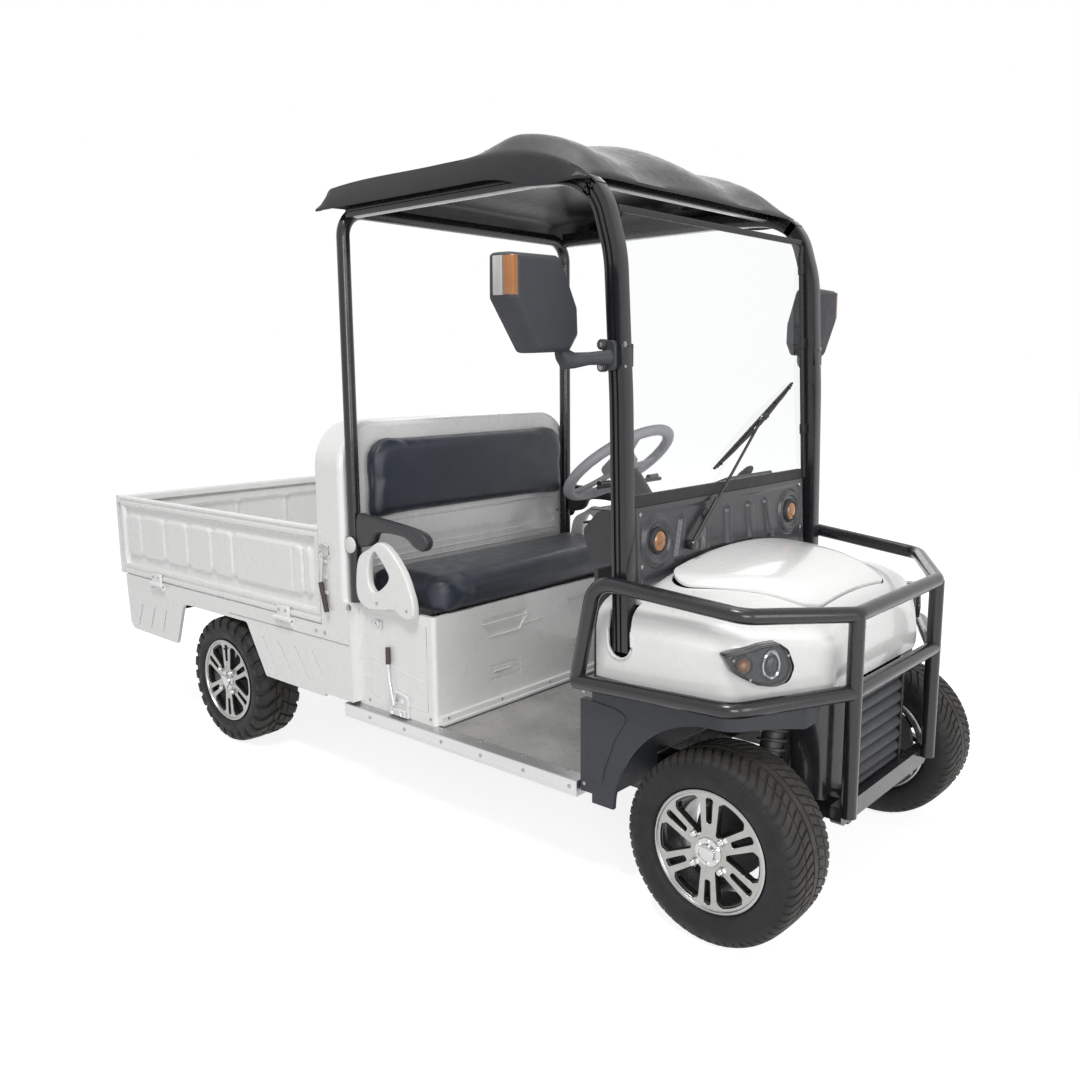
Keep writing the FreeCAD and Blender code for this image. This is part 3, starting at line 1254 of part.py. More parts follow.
def bull_bar():
    """Tube guard round the front: upper and lower loops, two posts and a skid plate."""
    r, half = d.bar_radius, d.bar_half_width
    top, mid = d.bar_top, d.bar_middle
    nose, corner = d.bar_front, d.bar_corner_x
    post_y = d.bar_post_place
    inner = half * UPPER_BAR_SHARE
    upper = [(d.bar_foot_x, -half, mid - r), (d.bar_foot_x + r * 3, -half, top + r * 3), (corner, -inner, top + r),
             (nose, -post_y, top)]
    lower = [(d.bar_foot_x, -half - r / 4, mid - r), (corner, -half - r / 4, mid), (nose, -post_y, mid)]
    loops = []
    for side in (upper, lower):
        path = side + [(x, -y, z) for x, y, z in reversed(side)]
        loops.append(bent_tube(path, d.bar_bend, r))
    posts = [rod((nose, side * post_y, d.bar_bottom), (nose, side * post_y, top), r) for side in (-1, 1)]
    plate = pad_along("x", [
        (-post_y - r, d.bar_bottom - d.skid_height / 2, r), (post_y + r, d.bar_bottom - d.skid_height / 2, r),
        (post_y + r, d.bar_bottom + d.skid_height / 2, 0), (-post_y - r, d.bar_bottom + d.skid_height / 2, 0)],
        nose - r * 2, nose - r / 2)
    stays = [block((d.front_rail_end + d.fit_gap, side * d.front_rail_half_track - r / 2, RAIL_BOTTOM + r),
                   (nose - r, side * d.front_rail_half_track + r / 2, d.bar_bottom + r)) for side in (-1, 1)]
    add("bull_bar", fused(loops + posts + [plate] + stays))


UPPER_BAR_SHARE = 0.92


def grille():
    """Louvred grille between the guard's posts, narrower at its foot."""
    half, low, high = d.grille_half_width, d.grille_bottom, d.grille_top
    pitch = (high - low) / d.louvre_count
    front = d.bar_front - d.bar_radius * 2 - d.fit_gap
    back = front - d.grille_depth
    root = front - d.grille_depth * LOUVRE_DEPTH_SHARE
    profile = [(back, high, 0), (back, low, 0)]
    for i in range(int(d.louvre_count)):
        z = low + i * pitch
        profile += [(root, z, 0), (front, z + pitch * LOUVRE_LOW_SHARE, 0), (front, z + pitch * LOUVRE_HIGH_SHARE, 0)]
    profile += [(root, high, 0)]
    panel = pad_along("y", profile, -half, half)
    face = pad_along("x", [(-d.grille_foot_half_width, low, 0), (d.grille_foot_half_width, low, 0),
                           (half, high, 0), (-half, high, 0)], back, front)
    add("grille", panel.common(face))


LOUVRE_DEPTH_SHARE = 0.4
LOUVRE_LOW_SHARE = 0.25
LOUVRE_HIGH_SHARE = 0.7


# Mirrors and controls
def mirrors():
    """Hexagonal mirror heads on clamped arms, with the glass facing back."""
    x = d.mirror_x
    low, high = d.mirror_low, d.mirror_high
    inner, outer = -d.mirror_inner, -d.mirror_outer
    wide = outer - inner
    tall = high - low
    middle_y, middle_z = (inner + outer) / 2, (low + high) / 2
    sections = []
    for back_share, size_share in MIRROR_DEPTH_SHARES:
        corners = [Vector(x + (back_share - 0.5) * d.mirror_depth,
                          middle_y + (inner + wide * share_y - middle_y) * size_share,
                          middle_z + (low + tall * share_z - middle_z) * size_share)
                   for share_y, share_z in MIRROR_SHARES]
        sections.append(Part.makePolygon(corners + corners[:1]))
    head = Part.makeLoft(sections, True, True)
    clamp_x = screen_x(d.mirror_arm_z)
    r = d.mirror_arm_radius
    arm = bent_tube([(x, inner + wide * 0.3, low + tall * 0.1), (x, inner + wide * 0.12, d.mirror_arm_z),
                     (clamp_x, -d.front_post_half_width - d.front_post_depth, d.mirror_arm_z)], r * 1.5, r)
    clamp = block((clamp_x - d.front_post_width / 2, -d.front_post_half_width - d.front_post_depth - r,
                   d.mirror_arm_z - r * 2),
                  (clamp_x + d.front_post_width / 2, -d.front_post_half_width - d.front_post_depth / 2 - d.fit_gap,
                   d.mirror_arm_z + r * 3))
    add("mirrors", *with_mirror(fused([head, arm, clamp])))


# Through the depth of the head, then the size of the outline there.
MIRROR_DEPTH_SHARES = ((0.0, 1.0), (0.55, 1.0), (0.9, 0.86), (1.0, 0.7))
MIRROR_SHARES = ((1.0, 1.0), (0.42, 1.0), (0.0, 0.44), (0.0, 0.18), (0.18, 0.02), (0.72, 0.0), (1.0, 0.61))


def steering_frame(shape):
    """Lean a shape drawn round the Z axis onto the steering column axis."""
    shape.rotate(ORIGIN, ACROSS, -d.steering_tilt)
    shape.translate(Vector(d.steering_x, d.steering_y, d.steering_z))
    return shape


def steering_wheel():
    """Rim, three spokes and a padded hub."""
    r = d.steering_rim_radius
    corners = [Vector(d.steering_radius + math.cos(turn) * r, 0, math.sin(turn) * r)
               for turn in (math.pi * k / 4 for k in range(9))]
    pieces = [revolved(Part.makePolygon(corners), ORIGIN, UP)]
    pieces.append(Part.makeCone(d.steering_hub_radius, d.steering_hub_radius * CAP_TAPER_SHARE, d.column_radius,
                                Vector(0, 0, -d.column_radius)))
    for turn in (90, 210, 330):
        spoke = block((0, -d.steering_spoke_width / 2, -r), (d.steering_radius, d.steering_spoke_width / 2, 0))
        spoke.rotate(ORIGIN, UP, turn)
        pieces.append(spoke)
    add("steering_wheel", steering_frame(fused(pieces)))


def steering_column():
    """Column shroud with two stalks, and the shaft down to the floor."""
    start = -d.column_radius - d.fit_gap
    shroud = Part.makeCylinder(d.column_radius, d.shroud_length, Vector(0, 0, start), -UP)
    shaft = Part.makeCylinder(d.column_radius / 2, d.column_length, Vector(0, 0, start), -UP)
    stalks = [rod((0, 0, start - d.column_radius), (0, side * d.steering_radius * 0.9, start - d.column_radius),
                  d.grip_radius / 2) for side in (-1, 1)]
    column = steering_frame(fused([shroud, shaft] + stalks))
    wall_face = FLOOR_FRONT - d.wall_gauge - d.fit_gap
    beyond = block((wall_face, -d.steering_y, 0), (wall_face + d.column_length, d.steering_y * 2, d.dash_top))
    add("steering_column", column.cut(beyond))


def dashboard():
    """Dash shelf across the cab behind the scuttle, with an instrument pod."""
    half = d.scuttle_half_width
    front = screen_x(d.dash_top) - d.scuttle_gauge - d.fit_gap
    rear = front - d.dash_depth
    top, low = d.dash_top, d.dash_bottom
    dash = pad_along("y", [(front, low, 0), (front, top, 0), (rear + d.cushion_round * 2, top, d.cushion_round),
                           (rear, top - d.cushion_round * 2, d.cushion_round), (rear + d.cushion_round, low, 0)],
                     -half, half)
    pod = pad_along("y", [(front - d.cushion_round, top - d.fit_gap, 0), (front - d.cushion_round * 2, top + d.pod_rise, 0),
                          (rear + d.cushion_round * 2.2, top + d.pod_rise * 0.6, 0),
                          (rear + d.cushion_round * 2.4, top - d.fit_gap, 0)],
                    d.steering_y - d.pod_half_width, d.steering_y + d.pod_half_width)
    add("dashboard", fused([dash, pod]))
    wall = block((FLOOR_FRONT - d.wall_gauge, -SILL_INNER, d.floor_top + d.fit_gap),
                 (FLOOR_FRONT, SILL_INNER, low - d.fit_gap))
    add("front_wall", wall)


def pedals():
    """Accelerator and brake pedals on arms from the front wall."""
    wall_x = FLOOR_FRONT - d.wall_gauge - d.fit_gap
    pieces = []
    for y in (d.steering_y - d.pedal_width * 2.3, d.steering_y - d.pedal_width):
        low = d.floor_top + d.pedal_height * 0.7
        pad = block((wall_x - d.pedal_height * 1.3, y - d.pedal_width / 2, low),
                    (wall_x - d.pedal_height * 1.3 + d.pedal_gauge, y + d.pedal_width / 2, low + d.pedal_height))
        arm = block((wall_x - d.pedal_height * 1.3, y - d.pedal_gauge, low + d.pedal_height * 0.8),
                    (wall_x, y + d.pedal_gauge, low + d.pedal_height * 0.8 + d.pedal_gauge * 2))
        pieces.append(fused([pad, arm]))
    add("pedals", *pieces)


def brake_lever():
    """Parking brake lever with its bracket on the right side of the seat box."""
    y = -d.seat_half_width - d.fit_gap - d.grip_radius / 2
    x = d.brake_x
    bracket = block((x, y - d.grip_radius / 2, d.floor_top + d.sheet_gauge + d.fit_gap),
                    (x + d.brake_bracket_length, -d.seat_half_width - d.fit_gap, d.brake_low))
    bar = rod((x + d.grip_radius, y, d.brake_low - d.grip_radius), (x, y, d.brake_high - d.pedal_height / 2),
              d.grip_radius / 3)
    grip = rod((x, y, d.brake_high - d.pedal_height / 2), (x, y, d.brake_high), d.grip_radius / 2)
    add("brake_lever", fused([bracket, bar, grip]))


def build():
    """Make every sub-part."""
    for make in (wheels, chassis_frame, battery_pack, rear_axle, leaf_springs, front_suspension, knuckles, floor,
                 sills, seat_box, seat_cushion, back_pad, seat_guards, armrests, headboard, bed_floor, bed_skirts,
                 side_boards, tailgate, latches, rear_apron, rear_hoop, roof, front_posts, windscreen,
                 scuttle_panel, scuttle_lamps, wiper, front_body, fenders, headlights, bull_bar, grille, mirrors,
                 steering_wheel, steering_column, dashboard, pedals, brake_lever):
        make()


def write_steps():
    """Check every sub-part, then write one STEP file for each."""
    doc.recompute()
    for item in doc.Objects:
        if "Invalid" in item.State or "Error" in item.State:
            raise RuntimeError("%s did not rebuild" % item.Label)
    for name, feature in nodes.items():
        if feature.Shape.isNull() or not feature.Shape.isValid():
            raise RuntimeError("%s has no valid shape" % name)
    os.makedirs("parts", exist_ok=True)
    for name, feature in nodes.items():
        feature.Shape.exportStep(os.path.join("parts", name + ".step"))


build()
write_steps()
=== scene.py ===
# Studio picture of an electric utility cart with a drop-side bed.
import json
import math

import bmesh
import bpy
from mathutils import Matrix, Vector


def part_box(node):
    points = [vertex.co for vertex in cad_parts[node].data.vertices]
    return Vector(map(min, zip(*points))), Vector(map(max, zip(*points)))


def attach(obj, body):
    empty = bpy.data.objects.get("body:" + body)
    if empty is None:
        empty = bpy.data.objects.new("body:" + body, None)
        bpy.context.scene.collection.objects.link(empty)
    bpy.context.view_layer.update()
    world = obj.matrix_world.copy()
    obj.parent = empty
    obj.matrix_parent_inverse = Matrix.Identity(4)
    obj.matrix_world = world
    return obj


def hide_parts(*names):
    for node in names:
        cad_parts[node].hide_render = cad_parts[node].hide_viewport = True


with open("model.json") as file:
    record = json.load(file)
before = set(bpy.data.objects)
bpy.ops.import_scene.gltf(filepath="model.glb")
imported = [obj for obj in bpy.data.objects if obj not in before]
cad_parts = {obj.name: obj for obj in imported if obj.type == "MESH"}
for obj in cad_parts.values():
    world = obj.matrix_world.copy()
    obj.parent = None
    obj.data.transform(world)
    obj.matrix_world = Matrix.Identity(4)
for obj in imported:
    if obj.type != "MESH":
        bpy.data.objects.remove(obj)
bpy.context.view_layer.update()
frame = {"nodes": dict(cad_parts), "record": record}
NODES = frame["nodes"]

# Camera, found by fitting the cart's sizes to the photograph
CAMERA_PLACE = Vector((2.4055, -2.3949, 1.3204))
CAMERA_YAW = math.radians(41.414)
CAMERA_PITCH = math.radians(9.592)
CAMERA_ROLL = math.radians(-0.46)
FOCAL_PIXELS = 994.54
FRAME_PIXELS = 1080
SENSOR_WIDTH = 36.0

# Places and sizes shared by several pieces, in metres
FRONT_AXLE_X = 1.28
REAR_AXLE_X = -0.74
WHEEL_RADIUS = 0.23
WHEEL_CENTRE_Y = 0.4665
SIDES = (("right", -1), ("left", 1))


def make_camera():
    """Camera at the photograph's place, looking down the fitted direction."""
    forward = Vector((-math.sin(CAMERA_YAW) * math.cos(CAMERA_PITCH),
                      math.cos(CAMERA_YAW) * math.cos(CAMERA_PITCH), -math.sin(CAMERA_PITCH)))
    level = Vector((math.cos(CAMERA_YAW), math.sin(CAMERA_YAW), 0))
    upright = level.cross(forward)
    right = level * math.cos(CAMERA_ROLL) + upright * math.sin(CAMERA_ROLL)
    up = upright * math.cos(CAMERA_ROLL) - level * math.sin(CAMERA_ROLL)
    turn = Matrix((right, up, -forward)).transposed().to_4x4()
    data = bpy.data.cameras.new("Camera")
    data.sensor_width = SENSOR_WIDTH
    data.lens = FOCAL_PIXELS / FRAME_PIXELS * SENSOR_WIDTH
    data.clip_start = 0.05
    camera = bpy.data.objects.new("Camera", data)
    camera.matrix_world = Matrix.Translation(CAMERA_PLACE) @ turn
    bpy.context.scene.collection.objects.link(camera)
    bpy.context.scene.camera = camera


# Materials
WHITE = (1, 1, 1, 1)
DUST = (0.3, 0.27, 0.22)
FINE_GRAIN = 0.0006
# Colour and roughness of the painted, moulded and cast finishes, and what sets each apart
FINISHES = {
    "body_white": ((0.8, 0.8, 0.79), 0.28, dict(spread=0.03, coat=0.5, blotch=0.006, blotch_scale=1.4)),
    "chassis_black": ((0.01, 0.01, 0.012), 0.24, dict(coat=0.2, dust=0.06, gloss=0.35)),
    "battery_case": ((0.06, 0.06, 0.065), 0.5, dict(grain=0.2)),
    "axle_steel": ((0.05, 0.05, 0.052), 0.5, dict(metal=0.4, grain=0.25, grain_scale=400, dust=0.4)),
    "cab_trim": ((0.025, 0.026, 0.028), 0.5, dict(grain=0.3)),
    "grey_plastic": ((0.034, 0.037, 0.044), 0.5, dict(grain=0.35, dust=0.12, gloss=0.35)),
    "post_black": ((0.012, 0.012, 0.014), 0.26, dict(coat=0.3, gloss=0.4)),
    "roof_black": ((0.018, 0.018, 0.02), 0.34, dict(blotch=0.1, gloss=0.28)),
    "scuttle_grey": ((0.03, 0.031, 0.035), 0.32, dict(coat=0.2)),
    "rubber_black": ((0.012, 0.012, 0.012), 0.6, dict(grain=0.3)),
    "lamp_unit": ((0.018, 0.018, 0.02), 0.22, dict(coat=0.5)),
    "latch_steel": ((0.62, 0.62, 0.61), 0.35, dict(metal=0.2)),
    "rim_alloy": ((0.4, 0.4, 0.4), 0.3, dict(metal=1.0)),
    "wheel_grip": ((0.48, 0.48, 0.51), 0.6, dict(blotch=0.05, grain=0.5, grain_scale=700)),
    "pocket_black": ((0.012, 0.012, 0.013), 0.3, dict(coat=0.4)),
    "bright_chrome": ((0.5, 0.5, 0.5), 0.06, dict(spread=0.02, metal=1.0, blotch=0.02)),
    "screw_steel": ((0.34, 0.34, 0.34), 0.32, dict(metal=1.0)),
    "white_plastic": ((0.72, 0.72, 0.71), 0.42, dict(blotch=0.02)),
    "worn_grip": ((0.055, 0.04, 0.032), 0.6, dict(blotch=0.25, grain=0.4)),
    # Near-black used as painted shade behind the post keyholes
    "inner_dark": ((0.008, 0.008, 0.008), 0.7, {}),
    "lamp_bowl": ((0.05, 0.05, 0.052), 0.3, dict(metal=0.7)),
    # Grey of the skirts' seam lines, also used as painted shade inside the skirts' slots
    "grey_seam": ((0.3, 0.3, 0.3), 0.5, {}),
    "worn_pad": ((0.42, 0.42, 0.42), 0.45, dict(blotch=0.05, grain=0.3))}


def graph(name):
    """New node material: (material, its tree, its principled shader)."""
    made = bpy.data.materials.new(name)
    made.use_nodes = True
    return made, made.node_tree, made.node_tree.nodes["Principled BSDF"]


def fill(tree, node, sockets):
    """Set a node's sockets: the output of another node is linked, anything else is the value."""
    for name, value in sockets.items():
        if isinstance(value, bpy.types.NodeSocket):
            tree.links.new(value, node.inputs[name])
        else:
            node.inputs[name].default_value = value


def add_node(tree, kind, output, sockets):
    """New node with its sockets set; gives back one of its outputs."""
    node = tree.nodes.new("ShaderNode" + kind)
    fill(tree, node, sockets)
    return node.outputs[output]


def place_node(tree, scale=(1, 1, 1)):
    """Object coordinates in metres, stretched by a scale."""
    return add_node(tree, "Mapping", "Vector",
                    {"Scale": scale, "Vector": add_node(tree, "TexCoord", "Object", {})})


def noise_node(tree, where, scale, detail=4.0):
    """Soft noise."""
    return add_node(tree, "TexNoise", "Fac",
                    {"Scale": scale, "Detail": detail, "Roughness": 0.55, "Vector": where})


def ramp_node(tree, fac, colours, places=(0.3, 0.7)):
    """Colours at places along a texture."""
    ramp = tree.nodes.new("ShaderNodeValToRGB")
    elements = ramp.color_ramp.elements
    while len(elements) < len(colours):
        elements.new(0.5)
    for element, place, colour in zip(elements, places, colours):
        element.position = place
        element.color = (*colour, 1)
    fill(tree, ramp, {"Fac": fac})
    return ramp.outputs["Color"]


def range_node(tree, fac, low, high, start=0.3, end=0.7):
    """Map a stretch of a texture onto a range of numbers."""
    return add_node(tree, "MapRange", "Result",
                    {"From Min": start, "From Max": end, "To Min": low, "To Max": high, "Value": fac})


def math_node(tree, operation, first, second):
    """Two values joined by arithmetic; either may be a plain number."""
    made = tree.nodes.new("ShaderNodeMath")
    made.operation = operation
    fill(tree, made, {0: first, 1: second})
    return made.outputs["Value"]


def bump_node(tree, height, strength, distance=FINE_GRAIN):
    """Normal of a fine relief."""
    return add_node(tree, "Bump", "Normal", {"Strength": strength, "Distance": distance, "Height": height})


def mix_node(tree, fac, first, second):
    """Blend of a colour from the nodes and a plain one."""
    mix = tree.nodes.new("ShaderNodeMix")
    mix.data_type = "RGBA"
    fill(tree, mix, {"Factor": fac, "A": first, "B": (*second, 1)})
    return mix.outputs["Result"]


def shade(colour, *factors):
    """A colour made darker or lighter, once for each factor."""
    return [tuple(min(1, channel * factor) for channel in colour) for factor in factors]


def dusted(tree, where, colour, amount):
    """Dust that gathers on faces turned up, patchy at the size of a hand."""
    normal = add_node(tree, "NewGeometry", "Normal", {})
    patch = range_node(tree, noise_node(tree, where, 9.0), 0.3, 1.0)
    upward = range_node(tree, add_node(tree, "SeparateXYZ", "Z", {"Vector": normal}), 0.0, amount, 0.2, 1.0)
    return mix_node(tree, math_node(tree, "MULTIPLY", patch, upward), colour, DUST)


def finish_material(name, colour, rough, spread=0.06, metal=0.0, coat=0.0, grain=0.0, grain_scale=900,
                    blotch=0.06, blotch_scale=5.0, dust=0.0, gloss=0.5):
    """Painted, moulded or cast finish: soft colour and gloss variation, with a fine grain."""
    made, tree, shader = graph(name)
    where = place_node(tree)
    base = ramp_node(tree, noise_node(tree, where, blotch_scale), shade(colour, 1 - blotch, 1 + blotch))
    if dust:
        base = dusted(tree, where, base, dust)
    fine = noise_node(tree, where, blotch_scale * 8)
    fill(tree, shader,
         {"Metallic": metal, "Coat Weight": coat, "Coat Roughness": 0.05, "Specular IOR Level": gloss,
          "Base Color": base,
          "Roughness": range_node(tree, fine, max(0.02, rough - spread), rough + spread)})
    if grain:
        fill(tree, shader, {"Normal": bump_node(tree, noise_node(tree, where, grain_scale, 2.0), grain)})
    return made


def tyre_material(name):
    """Rubber that is dusty where the tread meets the road, measured from the wheel's centre."""
    made, tree, shader = graph(name)
    where = place_node(tree)
    length = tree.nodes.new("ShaderNodeVectorMath")
    length.operation = "LENGTH"
    fill(tree, length, {0: place_node(tree, (1, 0, 1))})
    band = range_node(tree, length.outputs["Value"], 0.0, 0.85, 0.212, 0.228)
    patch = range_node(tree, noise_node(tree, where, 26.0), 0.35, 1.0)
    rubber = ramp_node(tree, noise_node(tree, where, 14.0), ((0.008, 0.008, 0.009), (0.016, 0.016, 0.017)))
    dusty = mix_node(tree, math_node(tree, "MULTIPLY", band, patch), rubber, (0.05, 0.047, 0.04))
    fill(tree, shader, {"Base Color": dusty, "Specular IOR Level": 0.3,
                        "Roughness": range_node(tree, noise_node(tree, where, 30.0), 0.5, 0.72),
                        "Normal": bump_node(tree, noise_node(tree, where, 700, 2.0), 0.35)})
    return made


def vinyl_material(name, colour):
    """Leather-grained vinyl: round cells under a soft sheen."""
    made, tree, shader = graph(name)
    where = place_node(tree)
    cells = add_node(tree, "TexVoronoi", "Distance", {"Scale": 520, "Vector": where})
    fill(tree, shader,
         {"Base Color": ramp_node(tree, noise_node(tree, where, 7.0), shade(colour, 0.8, 1.25)),
          "Roughness": range_node(tree, noise_node(tree, where, 22.0), 0.34, 0.5), "Sheen Weight": 0.15,
          "Normal": bump_node(tree, cells, 0.35, 0.0005)})
    return made


def brushed_material(name, colour, rough, stretch):
    """Drawn metal with fine lines along one direction."""
    made, tree, shader = graph(name)
    lines = noise_node(tree, place_node(tree, stretch), 60.0, 3.0)
    fill(tree, shader, {"Metallic": 1.0, "Base Color": ramp_node(tree, lines, shade(colour, 0.86, 1)),
                        "Roughness": range_node(tree, lines, rough * 0.8, rough * 1.3),
                        "Normal": bump_node(tree, lines, 0.12, 0.0004)})
    return made


def floor_material(name):
    """Ribbed floor mat, grey with trodden dust."""
    made, tree, shader = graph(name)
    where = place_node(tree)
    wave = tree.nodes.new("ShaderNodeTexWave")
    wave.bands_direction = "Y"
    fill(tree, wave, {"Scale": 42, "Vector": where})
    greys = ((0.24, 0.24, 0.24), (0.36, 0.355, 0.345), (0.46, 0.45, 0.43))
    fill(tree, shader,
         {"Base Color": ramp_node(tree, noise_node(tree, where, 4.0, 6.0), greys, (0.3, 0.55, 0.75)),
          "Roughness": 0.75, "Normal": bump_node(tree, wave.outputs["Fac"], 0.5, 0.002)})
    return made


def glass_material(name, tint):
    """Thin clear glass: what lies behind shows, with a light reflection over it."""
    made, tree, shader = graph(name)
    inside = add_node(tree, "NewGeometry", "Backfacing", {})
    edge = math_node(tree, "MULTIPLY", add_node(tree, "Fresnel", "Fac", {"IOR": 1.45}),
                     math_node(tree, "SUBTRACT", 1.0, inside))
    clear = add_node(tree, "BsdfTransparent", "BSDF", {"Color": (*tint, 1)})
    gloss = add_node(tree, "BsdfGlossy", "BSDF", {"Roughness": 0.02})
    mix = add_node(tree, "MixShader", "Shader", {"Fac": edge, 1: clear, 2: gloss})
    fill(tree, tree.nodes["Material Output"], {"Surface": mix})
    tree.nodes.remove(shader)
    return made


def mirror_material(name):
    """Silvered glass with a faint haze."""
    made, tree, shader = graph(name)
    where = place_node(tree)
    silver = ramp_node(tree, noise_node(tree, where, 8.0), ((0.7, 0.74, 0.76), (0.78, 0.81, 0.82)))
    fill(tree, shader, {"Metallic": 1.0, "Base Color": silver,
                        "Roughness": range_node(tree, noise_node(tree, where, 30.0), 0.02, 0.06)})
    return made


def lens_material(name, colour, glow=0.0):
    """Moulded lens with fine upright flutes."""
    made, tree, shader = graph(name)
    flutes = noise_node(tree, place_node(tree, (1, 1, 0.02)), 260.0, 1.0)
    fill(tree, shader, {"Base Color": ramp_node(tree, flutes, shade(colour, 0.8, 1.15)),
                        "Roughness": range_node(tree, flutes, 0.12, 0.2), "Transmission Weight": 0.25,
                        "Coat Weight": 0.8, "Emission Color": (*colour, 1), "Emission Strength": glow,
                        "Normal": bump_node(tree, flutes, 0.25, 0.0008)})
    return made


def make_materials():
    """Every material by name: the record's slots, and the finishes that share a slot."""
    made = {}
    for name, (colour, rough, more) in FINISHES.items():
        made[name] = finish_material(name, colour, rough, **more)
    for maker, name, *values in ((floor_material, "floor_plate"), (tyre_material, "tyre_rubber"),
                                 (mirror_material, "mirror_glass"),
                                 (vinyl_material, "seat_vinyl", (0.014, 0.019, 0.031)),
                                 (brushed_material, "sill_aluminium", (0.6, 0.6, 0.6), 0.32, (0.03, 1, 1)),
                                 (brushed_material, "lever_steel", (0.66, 0.66, 0.67), 0.2, (1, 1, 0.05)),
                                 (brushed_material, "spoke_face", (0.38, 0.38, 0.365), 0.28, (1, 1, 1)),
                                 (lens_material, "amber_lens", (0.42, 0.15, 0.025)),
                                 (lens_material, "lens_clear", (0.55, 0.55, 0.53)),
                                 (lens_material, "red_lens", (0.55, 0.015, 0.012), 0.05),
                                 (glass_material, "screen_glass", (0.99, 0.995, 0.995)),
                                 (glass_material, "lamp_clear", (0.86, 0.87, 0.88))):
        made[name] = maker(name, *values)
    return made


def paint_nodes():
    """Give each CAD node the material of its slot."""
    for row in frame["record"]["subparts"]:
        node = NODES[row["node"]]
        node.data.materials.clear()
        node.data.materials.append(MATERIALS[row["material_slot"]])


POST_LEAN = 38 / 765
POST_Y = 0.49


def screen_x(z):
    """X of the leaning screen and posts at a height."""
    return 1.0 - POST_LEAN * (z - 0.61)


# Mesh helpers
UP = Vector((0, 0, 1))
ACROSS = Vector((0, 1, 0))
ALONG = Vector((1, 0, 0))
TINY = 1e-6


def spot(*place):
    """Frame at a point, not turned."""
    return Matrix.Translation(Vector(place))


def facing(start, direction):
    """Frame at a point, with its Z axis along a direction."""
    return Matrix.Translation(start) @ Vector(direction).to_track_quat("Z", "Y").to_matrix().to_4x4()


def box_part(made, low, high, edge=0.003, place=Matrix.Identity(4)):
    """Block between two opposite corners, its edges rounded over."""
    low, high = Vector(low), Vector(high)
    size = [abs(length) for length in high - low]
    matrix = place @ Matrix.Translation((low + high) / 2) @ Matrix.Diagonal((*size, 1))
    corners = bmesh.ops.create_cube(made, size=1.0, matrix=matrix)["verts"]
    if edge:
        edges = list({line for corner in corners for line in corner.link_edges})
        bmesh.ops.bevel(made, geom=edges, offset=edge, segments=3, profile=0.5, affect="EDGES")


def around(share, radius):
    """Point on a circle, a share of the way round it."""
    angle = 2 * math.pi * share
    return math.cos(angle) * radius, math.sin(angle) * radius


def turned_part(made, profile, segments=40, place=Matrix.Identity(4), closed=False):
    """Turn (radius, along) points about the Z axis of a frame."""
    rings = []
    for radius, along in profile:
        count = segments if radius > TINY else 1
        rings.append([made.verts.new(place @ Vector((*around(k / segments, radius), along)))
                      for k in range(count)])
    pairs = list(zip(rings, rings[1:])) + ([(rings[-1], rings[0])] if closed else [])
    for here, there in pairs:
        for k in range(segments):
            loop = [here[k % len(here)], here[(k + 1) % len(here)], there[(k + 1) % len(there)],
                    there[k % len(there)]]
            corners = list(dict.fromkeys(loop))
            if len(corners) > 2:
                made.faces.new(corners)


def rod_part(made, start, end, radius, segments=20, edge=0.001):
    """Round bar between two points, with its ends eased."""
    start, end = Vector(start), Vector(end)
    length = (end - start).length
    profile = dict.fromkeys(((0, 0), (radius - edge, 0), (radius, edge), (radius, length - edge),
                             (radius - edge, length), (0, length)))
    turned_part(made, profile, segments, facing(start, end - start))


def bolt_part(made, place, direction, radius=0.0055, rise=0.005):
    """Hexagon head on a washer."""
    here = facing(Vector(place), direction)
    washer, top = rise * 0.3, rise * 1.2
    turned_part(made, [(0, 0), (radius * 1.5, 0), (radius * 1.5, washer), (0, washer)], 16, here)
    turned_part(made, [(0, 0), (radius, 0), (radius, rise), (radius * 0.85, top), (0, top)], 6, here)


def screw_part(made, place, direction, radius=0.0055):
    """Low domed head."""
    profile = [(0, 0), (radius, 0), (radius * 0.9, radius * 0.3), (radius * 0.5, radius * 0.5),
               (0, radius * 0.55)]
    turned_part(made, profile, 14, facing(Vector(place), direction))


def mirrored(points, sign):
    """Points of the left side, or their mirror images on the right."""
    return [(x, sign * y, z) for x, y, z in points]


def rounded(points, steps=6):
    """Corners of a flat outline given as (u, v, radius), eased with arcs of that radius."""
    flat = [Vector((u, v)) for u, v, radius in points]
    result = []
    for k, corner in enumerate(flat):
        radius = points[k][2]
        if not radius:
            result.append(corner)
            continue
        before = (flat[k - 1] - corner).normalized()
        after = (flat[(k + 1) % len(flat)] - corner).normalized()
        half = before.angle(after) / 2
        reach = radius / math.tan(half)
        centre = corner + (before + after).normalized() * (radius / math.sin(half))
        first, last = corner + before * reach - centre, corner + after * reach - centre
        turn = first.angle_signed(last)
        for step in range(steps + 1):
            result.append(centre + Matrix.Rotation(-turn * step / steps, 2) @ first)
    return result


def circle(radius, steps=72):
    """Points round a circle in the plane."""
    return [Vector(around(k / steps, radius)) for k in range(steps)]


